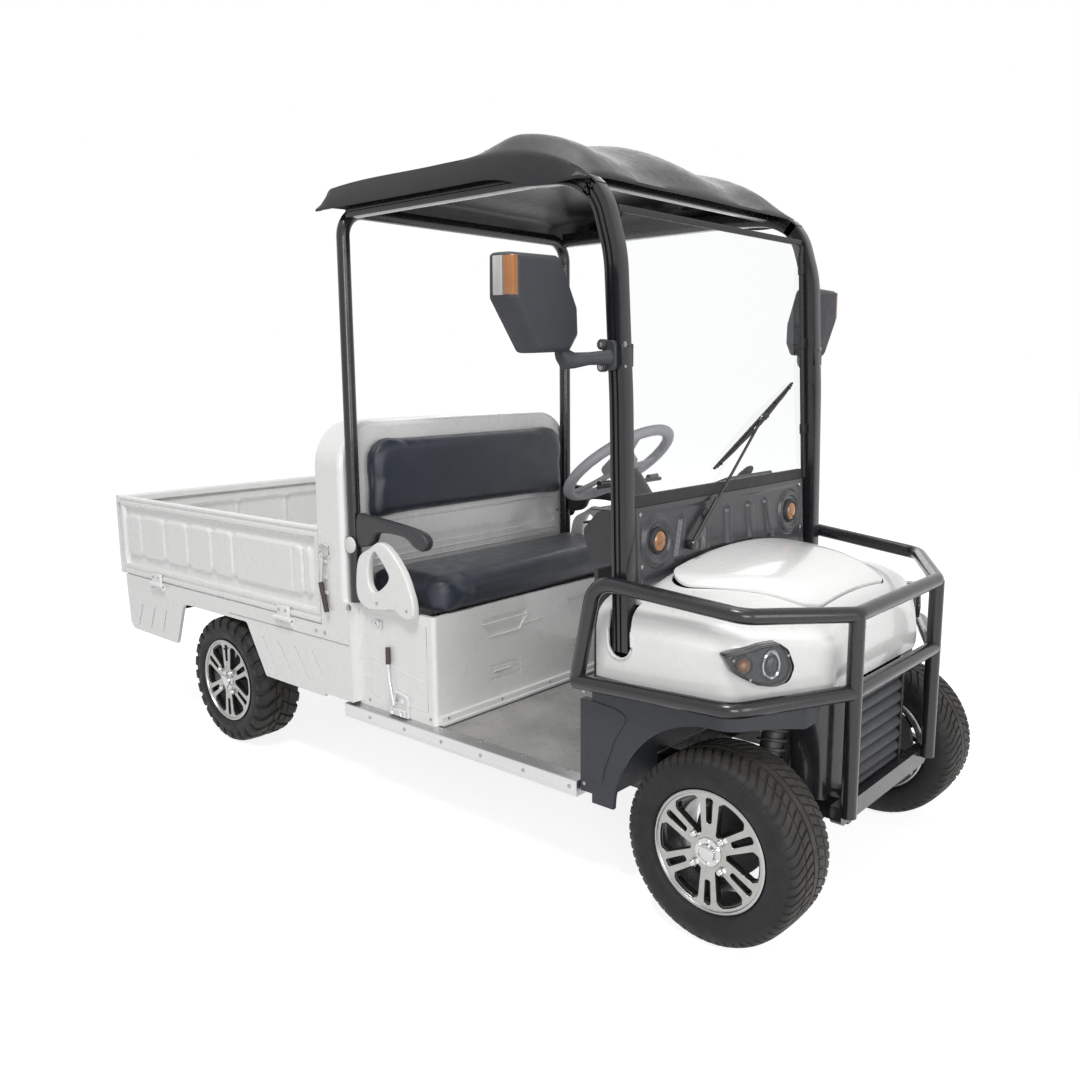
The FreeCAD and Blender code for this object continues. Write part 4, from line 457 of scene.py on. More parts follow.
def plate_mesh(outlines, thickness, edge=0.001):
    """Flat plate in XY from an outline and its holes, with eased edges, centred on Z."""
    curve = bpy.data.curves.new("outline", "CURVE")
    curve.dimensions = "2D"
    curve.fill_mode = "BOTH"
    curve.extrude = max(0.0, thickness / 2 - edge)
    curve.bevel_depth = edge
    curve.bevel_resolution = 2
    curve.offset = -edge
    for outline in outlines:
        spline = curve.splines.new("POLY")
        spline.points.add(len(outline) - 1)
        for point, place in zip(spline.points, outline):
            point.co = (place[0], place[1], 0, 1)
        spline.use_cyclic_u = True
    holder = bpy.data.objects.new("outline", curve)
    bpy.context.scene.collection.objects.link(holder)
    mesh = bpy.data.meshes.new_from_object(holder.evaluated_get(bpy.context.evaluated_depsgraph_get()))
    bpy.data.objects.remove(holder)
    bpy.data.curves.remove(curve)
    return mesh


def plate_part(made, outlines, thickness, place, edge=0.001):
    """Add a flat plate to a mesh under construction, moved by a frame."""
    mesh = plate_mesh(outlines, thickness, edge)
    mesh.transform(place)
    made.from_mesh(mesh)
    bpy.data.meshes.remove(mesh)


def side_frame(y):
    """Plate frame that lies in the XZ plane at one y."""
    return Matrix(((1, 0, 0, 0), (0, 0, -1, y), (0, 1, 0, 0), (0, 0, 0, 1)))


def cross_frame(x):
    """Plate frame that lies in the YZ plane at one x."""
    return Matrix(((0, 0, 1, x), (1, 0, 0, 0), (0, 1, 0, 0), (0, 0, 0, 1)))


def grid_part(made, rows, closed=False):
    """Skin over rows of points."""
    rings = [[made.verts.new(point) for point in row] for row in rows]
    for here, there in zip(rings, rings[1:]):
        for k in range(len(here) if closed else len(here) - 1):
            after = (k + 1) % len(here)
            made.faces.new((here[k], here[after], there[after], there[k]))
    return rings


def solid_part(made, rows):
    """Skin round closed rows of points, with a face over each end."""
    rings = grid_part(made, rows, closed=True)
    made.faces.new(reversed(rings[0]))
    made.faces.new(rings[-1])


def tube_part(made, points, radius, segments=8):
    """Round tube along a line through points, with flat ends."""
    points = [Vector(point) for point in points]
    rows = []
    for k, point in enumerate(points):
        ahead = points[min(k + 1, len(points) - 1)] - points[max(k - 1, 0)]
        turn = ahead.to_track_quat("Z", "Y").to_matrix()
        rows.append([point + turn @ Vector((*around(s / segments, radius), 0)) for s in range(segments)])
    solid_part(made, rows)


def finished_mesh(made, name, angle=35):
    """Turn a mesh under construction into a shaded mesh."""
    bmesh.ops.recalc_face_normals(made, faces=made.faces)
    mesh = bpy.data.meshes.new(name)
    made.to_mesh(mesh)
    made.free()
    mesh.shade_smooth()
    mesh.set_sharp_from_angle(angle=math.radians(angle))
    return mesh


def loose_item(name, data):
    """New object in the scene."""
    item = bpy.data.objects.new(name, data)
    bpy.context.scene.collection.objects.link(item)
    return item


def dress(item, material, body, stands_for=()):
    """Give a piece its one material, tie it to its body and name the CAD nodes it stands for."""
    item.data.materials.clear()
    item.data.materials.append(MATERIALS[material])
    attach(item, body)
    if stands_for:
        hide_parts(*stands_for)


def piece(name, made, material, body="chassis", stands_for=(), angle=35):
    """Finish a piece, place it, give it its material and tie it to its body."""
    item = loose_item(name, finished_mesh(made, name, angle))
    dress(item, material, body, stands_for)
    return item


def apply_modifiers(item):
    """Bake the modifiers of a piece into its mesh."""
    baked = bpy.data.meshes.new_from_object(item.evaluated_get(bpy.context.evaluated_depsgraph_get()))
    old = item.data
    item.modifiers.clear()
    item.data = baked
    baked.name = old.name
    bpy.data.meshes.remove(old)


def rolled(item, title, width, segments, angle):
    """Round the edges of an item that are sharper than an angle."""
    bevel = item.modifiers.new(title, "BEVEL")
    bevel.width = width
    bevel.segments = segments
    bevel.limit_method = "ANGLE"
    bevel.angle_limit = math.radians(angle)


def blend_table(table, along):
    """Smooth values between rows of a table whose first column is the place along."""
    last = len(table) - 2
    k = max(i for i in range(last + 1) if i == 0 or table[i][0] <= along)
    before, here = table[max(k - 1, 0)], table[k]
    there, after = table[k + 1], table[min(k + 2, len(table) - 1)]
    span = there[0] - here[0]
    share = min(1.0, max(0.0, (along - here[0]) / span))
    values = []
    for column in range(1, len(here)):
        slope_in = (there[column] - before[column]) / max(TINY, there[0] - before[0]) * span
        slope_out = (after[column] - here[column]) / max(TINY, after[0] - here[0]) * span
        a, b = here[column], there[column]
        values.append(a + slope_in * share + (3 * (b - a) - 2 * slope_in - slope_out) * share ** 2
                      + (2 * (a - b) + slope_in + slope_out) * share ** 3)
    return values


def smooth_step(value, low, high):
    """Nothing below one bound, one above the other, and a soft rise between."""
    share = min(1.0, max(0.0, (value - low) / (high - low)))
    return share * share * (3 - 2 * share)


# Wheels, drawn round the origin with the outer face towards -Y
SPOKE_COUNT = 6
NUT_COUNT = 4
HUB_BOLTS = 6
RIM_FACE = 0.0825
FACE_DEPTH = 0.007
POCKET_SHARE = 0.965


def spoke_holes():
    """Outlines of the six windows between spokes and of the slot in each spoke."""
    window = rounded([(-0.0055, 0.047, 0.004), (0.0055, 0.047, 0.004), (0.0375, 0.115, 0.008),
                      (0.03, 0.1295, 0.008), (0, 0.135, 0.12), (-0.03, 0.1295, 0.008),
                      (-0.0375, 0.115, 0.008)])
    slot = rounded([(-0.0072, 0.069, 0.006), (0.0072, 0.069, 0.006), (0.0095, 0.131, 0.007),
                    (-0.0095, 0.131, 0.007)])
    holes = []
    for k in range(SPOKE_COUNT):
        for outline, share in ((window, k + 0.5), (slot, k)):
            turn = Matrix.Rotation(2 * math.pi * share / SPOKE_COUNT, 2)
            holes.append([turn @ point for point in outline])
    return holes


def ring_of_bolts(made, count, shift, radius, plane, profiles):
    """Turned heads round the wheel's axis, on a plane this far out from its middle."""
    for k in range(count):
        v, u = around((k + shift) / count, radius)
        for profile, sides in profiles:
            turned_part(made, profile, sides, side_frame(0) @ spot(u, v, plane))


def rim_pieces():
    """Meshes under construction for one wheel, by material."""
    face, pockets, alloy, chrome, stem = [bmesh.new() for _ in range(5)]
    holes = spoke_holes()
    plane = RIM_FACE - FACE_DEPTH
    plate_part(face, [circle(0.14)] + holes, 0.004, side_frame(-plane))
    deep_holes = [[point * POCKET_SHARE for point in hole] for hole in holes]
    plate_part(pockets, [circle(0.1322)] + deep_holes, 0.018, side_frame(0.0115 - plane), 0.0006)
    outer = [(0.131, -0.034), (0.1322, -0.016), (0.134, -0.01), (0.1378, -0.0075), (0.14, -0.004),
             (0.1415, -0.0008), (0.144, 0), (0.1475, -0.0015), (0.148, -0.004), (0.1472, -0.0075),
             (0.1337, -0.0095)]
    inner = [(0.1337, 0.0095), (0.1472, 0.0075), (0.148, 0.002), (0.144, 0), (0.138, 0.004), (0.119, 0.02)]
    barrel = ([(radius, RIM_FACE + along) for radius, along in outer]
              + [(radius, along - RIM_FACE) for radius, along in inner] + [(0.115, 0.02)])
    turned_part(alloy, barrel, 72, side_frame(0), closed=True)
    cap = [(0.015, 0), (0.034, 0), (0.0345, 0.004), (0.033, 0.0055), (0.0215, 0.006), (0.02, 0.0115),
           (0.017, 0.0135), (0.008, 0.015), (0, 0.0153)]
    turned_part(chrome, cap, 40, side_frame(0) @ spot(0, 0, plane))
    bolt = [(0, 0), (0.004, 0), (0.004, 0.0035), (0.003, 0.0045), (0, 0.0045)]
    ring_of_bolts(chrome, HUB_BOLTS, 0, 0.0272, plane + 0.0054, [(bolt, 6)])
    nut = [(0, 0), (0.0105, 0), (0.0105, 0.006), (0.0092, 0.0075), (0, 0.0075)]
    dome = [(0, 0.005), (0.0082, 0.005), (0.008, 0.01), (0.0055, 0.0135), (0, 0.015)]
    ring_of_bolts(chrome, NUT_COUNT, 0.5, 0.0508, plane + 0.001, [(nut, 6), (dome, 18)])
    rod_part(stem, (0, 0.02 - RIM_FACE, 0.1225), (0, -0.004 - RIM_FACE, 0.1165), 0.0035, 12)
    return {"spoke_face": face, "pocket_black": pockets, "rim_alloy": alloy, "bright_chrome": chrome,
            "rubber_black": stem}


# From the middle of the tread to the bead: how far round it leans, in shares of a pitch, then across and
# radius in millimetres, on a tread block and, where it differs, on the floor of the groove
ROAD_TYRE = (
    (0, (0, 230)), (0, (8, 229.9)), (0, (9, 225)), (0, (13, 225)), (0.02, (14, 229.8), (14, 225)),
    (0.22, (28, 229.5), (28, 225)), (0.55, (42, 228.9), (42, 225)), (0.56, (43, 225.4), (43, 225)),
    (0.6, (46, 225.4), (46, 225)), (0.62, (47, 228.7), (47, 225)), (0.95, (60, 227.6), (60, 224)),
    (1.25, (72, 225.4), (72, 222.4)), (1.42, (80, 222), (79, 219.5)), (1.5, (86, 216), (84, 214.5)),
    (1.54, (90, 207), (89.2, 206.5)), (1.54, (92, 203)), (1.54, (92.6, 201)), (1.54, (94.2, 196)),
    (1.54, (95, 186)), (1.54, (94.4, 176)), (1.54, (92, 166)), (1.54, (88, 157.5)), (1.54, (84, 153)),
    (1.54, (82, 153.4)), (1.54, (79, 150)), (1.54, (75.5, 148.4)), (1.54, (73, 147)), (1.54, (72.6, 135)))
LUG_TYRE = (
    (0, (0, 221.5)), (0, (4, 221.5)), (0, (5.5, 229.8), (5.5, 221.5)), (0.22, (24, 229.9), (24, 221.5)),
    (0.23, (25, 223.6), (25, 221.5)), (0.26, (28, 223.6), (28, 221.5)), (0.28, (29, 229.8), (29, 221.5)),
    (0.55, (50, 229), (50, 221)), (0.7, (66, 227), (65, 219)), (0.76, (75, 223), (73, 215)),
    (0.8, (80, 216), (76.5, 208)), (0.82, (82.6, 206), (77.5, 201)), (0.84, (83.6, 197), (79, 195)),
    (0.86, (82.6, 193), (81, 191.5)), (0.86, (82, 189)), (0.86, (83, 184)), (0.86, (83.8, 178)),
    (0.86, (83.2, 168)), (0.86, (81, 159)), (0.86, (78, 153)), (0.86, (76.5, 153.4)), (0.86, (75, 149.5)),
    (0.86, (73, 147)), (0.86, (72.6, 135)))
MILLI = 0.001


def tyre_part(made, profile, pitches, block_share, offset):
    """Tyre whose tread blocks lean round the crown, one half of it set off by part of a pitch."""
    stations = ((0.0, 0), (0.03, 1), (block_share / 2, 1), (block_share, 1), (block_share + 0.03, 0),
                ((1 + block_share) / 2, 0))
    sides = [(-1, row) for row in reversed(profile)] + [(1, row) for row in profile[1:]]
    rings = []
    for pitch in range(pitches):
        for share, raised in stations:
            ring = []
            for side, (lean, *ends) in sides:
                across, radius = ends[0 if raised else -1]
                z, x = around((pitch + share + lean + (offset if side > 0 else 0)) / pitches, radius)
                ring.append(made.verts.new(Vector((x, side * across, z)) * MILLI))
            rings.append(ring)
    for here, there in zip(rings, rings[1:] + rings[:1]):
        for k in range(len(here)):
            after = (k + 1) % len(here)
            made.faces.new((here[k], here[after], there[after], there[k]))


def make_wheels():
    """Dress the four wheels: cast face, dark pockets, chrome cap and nuts, moulded tyre."""
    for end, x, profile, pitches, share, offset in (("front", FRONT_AXLE_X, ROAD_TYRE, 60, 0.7, 0.0),
                                                    ("rear", REAR_AXLE_X, LUG_TYRE, 26, 0.62, 0.5)):
        for side, sign in (("right", 1), ("left", -1)):
            corner = "%s_%s_" % (end, side)
            parts = rim_pieces()
            parts["tyre_rubber"] = bmesh.new()
            tyre_part(parts["tyre_rubber"], profile, pitches, share, offset)
            for material, made in parts.items():
                bmesh.ops.scale(made, vec=(1, sign, 1), verts=made.verts)
                item = loose_item(corner + material, finished_mesh(made, corner + material, 30))
                item.location = (x, -sign * WHEEL_CENTRE_Y, WHEEL_RADIUS)
                bpy.context.view_layer.update()
                stands_for = {"tyre_rubber": [corner + "tyre"], "rim_alloy": [corner + "rim"]}.get(material)
                dress(item, material, corner + "wheel", stands_for)


# Cargo bed
SHEET = 0.005
SHEET_LOW = 0.566
SHEET_HIGH = 0.816
BOARD_REAR = -1.474
BOARD_FRONT = -0.171
BOARD_LOW = 0.53
BOARD_HIGH = 0.845
BOARD_FACE = 0.538
BOARD_WALL = 0.0215
BOARD_GROOVES = (-1.331, -1.15, -0.982, -0.815, -0.676, -0.262)
BOARD_FAINT = -0.318
FIELD_REAR = -1.45
FIELD_FRONT = -0.212
FIELD_LOW = 0.604
FIELD_HIGH = 0.778
FIELD_CORNER = 0.032
HINGE_Y = 0.549
HINGE_Z = 0.519
HINGE_PLACES = (-1.2433, -0.4017)
HINGE_LENGTH = 0.07


def ridge(distance, width):
    """One inside a band, with soft shoulders."""
    return 1 - smooth_step(abs(distance), width * 0.5, width)


def inside_share(u, v, low, high, corner):
    """Distance inside a rectangle with round corners, below nothing outside it."""
    across = abs(u - (low[0] + high[0]) / 2) - (high[0] - low[0]) / 2 + corner
    rise = abs(v - (low[1] + high[1]) / 2) - (high[1] - low[1]) / 2 + corner
    return corner - math.hypot(max(across, 0), max(rise, 0)) - min(max(across, rise), 0)


def pressed_field(along, z, ends, grooves, faint):
    """Depth of a board's pressing below its rails: a sunk border, pillows and the grooves between them."""
    dip = 0.008 * max(ridge(along - place, 0.022) for place in grooves)
    field = inside_share(along, z, (ends[0], FIELD_LOW + dip), (ends[1], FIELD_HIGH - dip), FIELD_CORNER)
    border = inside_share(along, z, (ends[0] - 0.012, FIELD_LOW - 0.034),
                          (ends[1] + 0.026, FIELD_HIGH + 0.034), 0.006)
    groove = 0.0075 * max(ridge(along - place, 0.008) for place in grooves)
    groove = max(groove, 0.0035 * max(ridge(along - place, 0.007) for place in faint))
    depth = -0.015 * smooth_step(border, 0.0, 0.008) + 0.011 * smooth_step(field, 0.0, 0.012)
    return (depth - groove * smooth_step(field, 0.004, 0.016) - 0.004 * ridge(z - 0.828, 0.006)
            - 0.004 * ridge(z - 0.553, 0.006))


def board_relief(x, z):
    """Depth of a side board's pressing."""
    return pressed_field(x, z, (FIELD_REAR, FIELD_FRONT), BOARD_GROOVES, (BOARD_FAINT,))


def close_steps(low, high, count, places):
    """Even steps from low to high, with closer ones round the places where a surface turns."""
    steps = [low + (high - low) * k / count for k in range(count + 1)]
    for place in places:
        steps += [place + 0.014 * (k / 4 - 1) for k in range(9)]
    result = [low]
    for step in sorted(step for step in steps if step > low + 0.0005):
        if step - result[-1] > 0.0012 and step < high - 0.0012:
            result.append(step)
    return result + [high]


def relief_board(made, face, start, end, relief, turns, wall):
    """Pressed board: a relief on its outer face, a plain back and rolled upper and lower edges."""
    front, back = [], []
    columns = close_steps(start, end, 110, turns)
    for z in close_steps(BOARD_LOW, BOARD_HIGH, 26,
                         (BOARD_LOW, 0.553, 0.574, FIELD_LOW, FIELD_HIGH, 0.808, 0.828, BOARD_HIGH)):
        inside = min(1, max(0, min(z - BOARD_LOW, BOARD_HIGH - z) / 0.01))
        roll = 0.004 * (1 - math.sin(math.pi * inside / 2)) ** 2
        front.append([face(along, z, relief(along, z) - roll) for along in columns])
        sheet = SHEET_LOW < z < SHEET_HIGH
        back.append([face(along, z, roll + (max(-wall, relief(along, z) - SHEET) if sheet else -wall))
                     for along in columns])
    shell_part(made, front, back)


def make_side_boards():
    """Drop sides with their pressed field, hinge leaves and the screws that hold them."""
    turns = BOARD_GROOVES + (BOARD_FAINT, FIELD_REAR, FIELD_FRONT, FIELD_REAR - 0.012, FIELD_FRONT + 0.026)
    for name, sign in SIDES:
        body = name + "_side_board"
        board, leaves, bolts = bmesh.new(), bmesh.new(), bmesh.new()
        relief_board(board, lambda along, z, out: Vector((along, sign * (BOARD_FACE + out), z)), BOARD_REAR,
                     BOARD_FRONT, board_relief, turns, BOARD_WALL)
        piece(name + "_board_pressing", board, "body_white", body, (body,), angle=60)
        for x in HINGE_PLACES:
            end = x + HINGE_LENGTH
            rod_part(leaves, (x, sign * HINGE_Y, HINGE_Z), (end, sign * HINGE_Y, HINGE_Z), 0.009)
            box_part(leaves, (x + 0.002, sign * 0.5385, HINGE_Z + 0.002),
                     (end - 0.002, sign * (HINGE_Y + 0.0005), 0.562), 0.0025)
            for step in (0.016, 0.054):
                screw_part(bolts, (x + step, sign * (HINGE_Y + 0.0003), 0.548), (0, sign, 0))
        piece(name + "_board_hinges", leaves, "body_white", body)
        piece(name + "_board_screws", bolts, "screw_steel", body)


def gate_relief(y, z):
    """Depth of the tail board's pressing, which has no faint groove."""
    return pressed_field(y, z, (-0.498, 0.498), (-0.25, 0.0, 0.25), (2.0,))


def make_tailgate():
    """Tail board with its pressing, hinge leaves and their screws."""
    board, leaves, bolts = bmesh.new(), bmesh.new(), bmesh.new()
    relief_board(board, lambda along, z, out: Vector((-1.51 - out, along, z)), -0.538, 0.538, gate_relief,
                 (-0.51, -0.498, -0.25, 0, 0.25, 0.498, 0.524), 0.0295)
    piece("tailgate_pressing", board, "body_white", "tailgate", ("tailgate",), angle=60)
    for middle in (-0.3, 0.3):
        y = middle - HINGE_LENGTH / 2
        end = y + HINGE_LENGTH
        rod_part(leaves, (-1.501, y, HINGE_Z), (-1.501, end, HINGE_Z), 0.009)
        box_part(leaves, (-1.5098, y + 0.002, HINGE_Z), (-1.502, end - 0.002, 0.536), 0.002)
        for step in (-0.019, 0.019):
            screw_part(bolts, (-1.5097, middle + step, 0.5325), -ALONG, 0.0045)
    piece("tailgate_hinges", leaves, "body_white", "tailgate")
    piece("tailgate_screws", bolts, "screw_steel", "tailgate")


SKIRT_OUTLINE = ((-1.474, 0.5275, 0), (-1.46, 0.33, 0.01), (-1.436, 0.306, 0.03), (-1.096, 0.301, 0.014),
                 (-1.03, 0.467, 0.034), (-0.604, 0.467, 0.02), (-0.566, 0.402, 0.05), (-0.498, 0.292, 0.01),
                 (-0.1655, 0.2895, 0), (-0.1655, 0.5275, 0))
# Upper and lower end of each slot
SKIRT_SLOTS = (((-1.349, 0.419), (-1.394, 0.326)), ((-1.253, 0.421), (-1.295, 0.328)),
               ((-1.164, 0.422), (-1.2, 0.328)), ((-0.508, 0.43), (-0.439, 0.333)),
               ((-0.42, 0.431), (-0.345, 0.333)), ((-0.326, 0.431), (-0.25, 0.331)),
               ((-0.229, 0.432), (-0.176, 0.358)))
SLOT_HALF = 0.0028
HINGE_EAR = 0.012


def make_skirts():
    """Side aprons of pressed sheet with slanted slots, an arch over the wheel and the hinges' fixed ears;
    grey plates in the slots are painted shade.
    """
    for name, sign in SIDES:
        made = bmesh.new()
        holes = []
        for high, low in SKIRT_SLOTS:
            holes.append([Vector((high[0] - SLOT_HALF, high[1])), Vector((high[0] + SLOT_HALF, high[1])),
                          Vector((low[0] + SLOT_HALF, low[1])), Vector((low[0] - SLOT_HALF, low[1]))])
        outline = rounded(SKIRT_OUTLINE)
        plate_part(made, [outline] + holes, 0.004, side_frame(sign * 0.536), 0.0008)
        plate_part(made, [outline], 0.008, side_frame(sign * 0.5301))
        box_part(made, (-1.474, sign * 0.516, 0.468), (-0.1655, sign * 0.5262, 0.5275), 0.002)
        for x in HINGE_PLACES:
            for start in (x - HINGE_EAR - 0.0003, x + HINGE_LENGTH + 0.0003):
                rod_part(made, (start, sign * HINGE_Y, HINGE_Z),
                         (start + HINGE_EAR, sign * HINGE_Y, HINGE_Z), 0.009, 20)
                box_part(made, (start, sign * 0.537, 0.4985),
                         (start + HINGE_EAR, sign * (HINGE_Y + 0.0005), HINGE_Z), 0.0015)
            box_part(made, (x - HINGE_EAR, sign * 0.537, 0.49),
                     (x + HINGE_LENGTH + HINGE_EAR, sign * 0.5402, 0.507), 0.0012)
        piece("skirt_" + name, made, "body_white", stands_for=("bed_skirts",))
        # Grey plates inside the sheet, seen only through the slots: painted shade that makes each slot read
        # as a dark gap
        slot_shade_plates = bmesh.new()
        for hole in holes:
            plate_part(slot_shade_plates, [hole], 0.0006, side_frame(sign * 0.5344), 0.0001)
        piece("skirt_slot_shade_" + name, slot_shade_plates, "grey_seam")


def make_deck():
    """Raised ribs of the deck sheet."""
    deck = bmesh.new()
    for k in range(9):
        y = -0.432 + k * 0.108
        box_part(deck, (-1.466, y - 0.022, 0.4995), (-0.172, y + 0.022, 0.5045), 0.0022)
    piece("deck_ribs", deck, "body_white")


def make_skirt_trim():
    """Seam and screws of each skirt, and the bolt in front of it."""
    seams, screws = bmesh.new(), bmesh.new()
    for sign in (-1, 1):
        box_part(seams, (-0.712, sign * 0.5375, 0.4815), (-0.03, sign * 0.5392, 0.484), 0.0007)
        for x in (-0.197, -0.151):
            screw_part(screws, (x, sign * 0.538, 0.504), (0, sign, 0), 0.0065)
        bolt_part(screws, (-0.022, sign * 0.538, 0.606), (0, sign, 0), 0.0075, 0.006)
    piece("skirt_seams", seams, "grey_seam")
    piece("skirt_screws", screws, "screw_steel")


LATCH_WIRE = ((-0.148, 0.545, 0.79), (-0.127, 0.549, 0.798), (-0.106, 0.545, 0.79), (-0.104, 0.545, 0.765),
              (-0.127, 0.547, 0.758), (-0.15, 0.545, 0.765), (-0.149, 0.545, 0.787))
LATCH_GRIP = ((-0.147, 0.549, 0.672), (-0.146, 0.549, 0.668), (-0.133, 0.549, 0.622),
              (-0.122, 0.549, 0.583), (-0.121, 0.549, 0.579))


def make_latches():
    """Side latches: a strap with raised bars, a loop of wire, its rod and a worn grip."""
    for name, sign in SIDES:
        strap, grip = bmesh.new(), bmesh.new()
        box_part(strap, (-0.143, sign * 0.5383, 0.6), (-0.111, sign * 0.5415, 0.8), 0.0014)
        for z in (0.64, 0.69, 0.74):
            box_part(strap, (-0.139, sign * 0.541, z - 0.006), (-0.115, sign * 0.5465, z + 0.006), 0.002)
        tube_part(strap, mirrored(LATCH_WIRE, sign), 0.0032, 10)
        rod_part(strap, (-0.135, sign * 0.549, 0.752), (-0.146, sign * 0.549, 0.668), 0.0045, 12)
        piece("latch_strap_" + name, strap, "latch_steel", stands_for=("latches",))
        tube_part(grip, mirrored(LATCH_GRIP, sign), 0.008, 14)
        piece("latch_grip_" + name, grip, "worn_grip")


# Seat surround
GUARD_POINTS = ((0.118, 0.824), (0.07, 0.8), (0.02, 0.768), (0.003, 0.7), (0.008, 0.64), (0.05, 0.612),
                (0.12, 0.616), (0.175, 0.624), (0.204, 0.61), (0.238, 0.605), (0.262, 0.618),
                (0.2645, 0.65), (0.252, 0.69), (0.222, 0.748), (0.166, 0.805))
GUARD_HOLE = ((0.092, 0.792), (0.118, 0.774), (0.143, 0.747), (0.157, 0.722), (0.138, 0.695),
              (0.096, 0.669), (0.072, 0.677), (0.062, 0.706), (0.068, 0.758))
ARM_POINTS = ((0.004, 0.806), (0.05, 0.803), (0.078, 0.818), (0.098, 0.846), (0.16, 0.852), (0.225, 0.846),
              (0.262, 0.824), (0.296, 0.814), (0.318, 0.828), (0.32, 0.85), (0.296, 0.868), (0.24, 0.879),
              (0.12, 0.892), (0.04, 0.898), (0.006, 0.893))


def smooth_loop(points, steps=6):
    """Closed smooth line through flat points."""
    result = []
    count = len(points)
    for k in range(count):
        a, b, c, e = [Vector(points[(k + j) % count]) for j in (-1, 0, 1, 2)]
        for step in range(steps):
            share = step / steps
            result.append(b + (c - a) * (0.5 * share) + (2 * a - 5 * b + 4 * c - e) * (0.5 * share ** 2)
                          + (3 * b - a - 3 * c + e) * (0.5 * share ** 3))
    return result


def make_seat_surround():
    """End guards with a teardrop hand hole, arm rests with a bulb end, and their caps and screws."""
    for name, sign in SIDES:
        guard = bmesh.new()
        plate_part(guard, [smooth_loop(GUARD_POINTS), smooth_loop(GUARD_HOLE)], 0.024,
                   side_frame(sign * 0.5155), 0.005)
        piece("seat_guard_" + name, guard, "body_white", stands_for=("seat_guards",))
        arm = bmesh.new()
        plate_part(arm, [smooth_loop(ARM_POINTS)], 0.034, side_frame(sign * 0.505), 0.011)
        piece("arm_rest_" + name, arm, "cab_trim", stands_for=("armrests",))
        cap = bmesh.new()
        turned_part(cap, [(0, 0), (0.025, 0), (0.0255, 0.002), (0.024, 0.005), (0.019, 0.0068),
                          (0, 0.0075)], 36, facing(Vector((-0.017, sign * 0.5255, 0.802)), (0, sign, 0)))
        piece("arm_rest_cap_" + name, cap, "white_plastic")
        boss = bmesh.new()
        rod_part(boss, (-0.017, sign * 0.524, 0.802), (-0.017, sign * 0.5265, 0.802), 0.0285, 36)
        piece("arm_rest_boss_" + name, boss, "cab_trim")
        screws = bmesh.new()
        for x, z in ((0.1, 0.636), (0.235, 0.632)):
            screw_part(screws, (x, sign * 0.5272, z), (0, sign, 0))
        piece("guard_screws_" + name, screws, "screw_steel")


BOX_FRONT = 0.322
BOX_SIDE = 0.502


def make_box_lines():
    """Embossed lines on the front and the ends of the box under the bench."""
    lines = bmesh.new()
    for mid in (-0.2, 0.2):
        corners = [(BOX_FRONT, mid + y, z) for y, z in ((0.105, 0.56), (-0.105, 0.56), (-0.065, 0.516),
                                                        (0.065, 0.516), (0.105, 0.56))]
        tube_part(lines, corners, 0.0018)
        tube_part(lines, [(BOX_FRONT, mid + 0.068, 0.53), (BOX_FRONT, mid + 0.18, 0.532)], 0.0015)
        tube_part(lines, [(BOX_FRONT, mid - 0.055, 0.402), (BOX_FRONT, mid + 0.02, 0.402)], 0.003)
    for y in (-BOX_SIDE, BOX_SIDE):
        for line in (((0.035, 0.59), (0.29, 0.59), (0.29, 0.33), (0.035, 0.33), (0.035, 0.59)),
                     ((0.03, 0.452), (0.11, 0.44), (0.292, 0.414))):
            tube_part(lines, [(x, y, z) for x, z in line], 0.0014)
    piece("seat_box_lines", lines, "body_white")


def make_box_fittings():
    """Foot rail, lock and fixing screws of the box under the bench."""
    rail, lock, screws = bmesh.new(), bmesh.new(), bmesh.new()
    box_part(rail, (0.3195, -0.49, 0.291), (0.333, 0.49, 0.318))
    box_part(rail, (0.3325, -0.488, 0.291), (0.341, 0.488, 0.302))
    piece("seat_box_rail", rail, "white_plastic")
    turned_part(lock, [(0, 0), (0.0125, 0), (0.0125, 0.003), (0.01, 0.0055), (0.006, 0.006),
                       (0.0055, 0.004), (0, 0.004)], 32, facing(Vector((0.07, -BOX_SIDE, 0.566)), -ACROSS))
    box_part(lock, (0.086, -0.502, 0.552), (0.094, -0.508, 0.576), 0.002)
    piece("seat_box_lock", lock, "bright_chrome")
    for sign in (-1, 1):
        for x in (0.02, 0.3):
            screw_part(screws, (x, sign * BOX_SIDE, 0.31), (0, sign, 0), 0.005)
    for k in range(-2, 3):
        screw_part(screws, (0.333, 0.23 * k, 0.31), ALONG, 0.0045)
    piece("seat_box_screws", screws, "screw_steel")


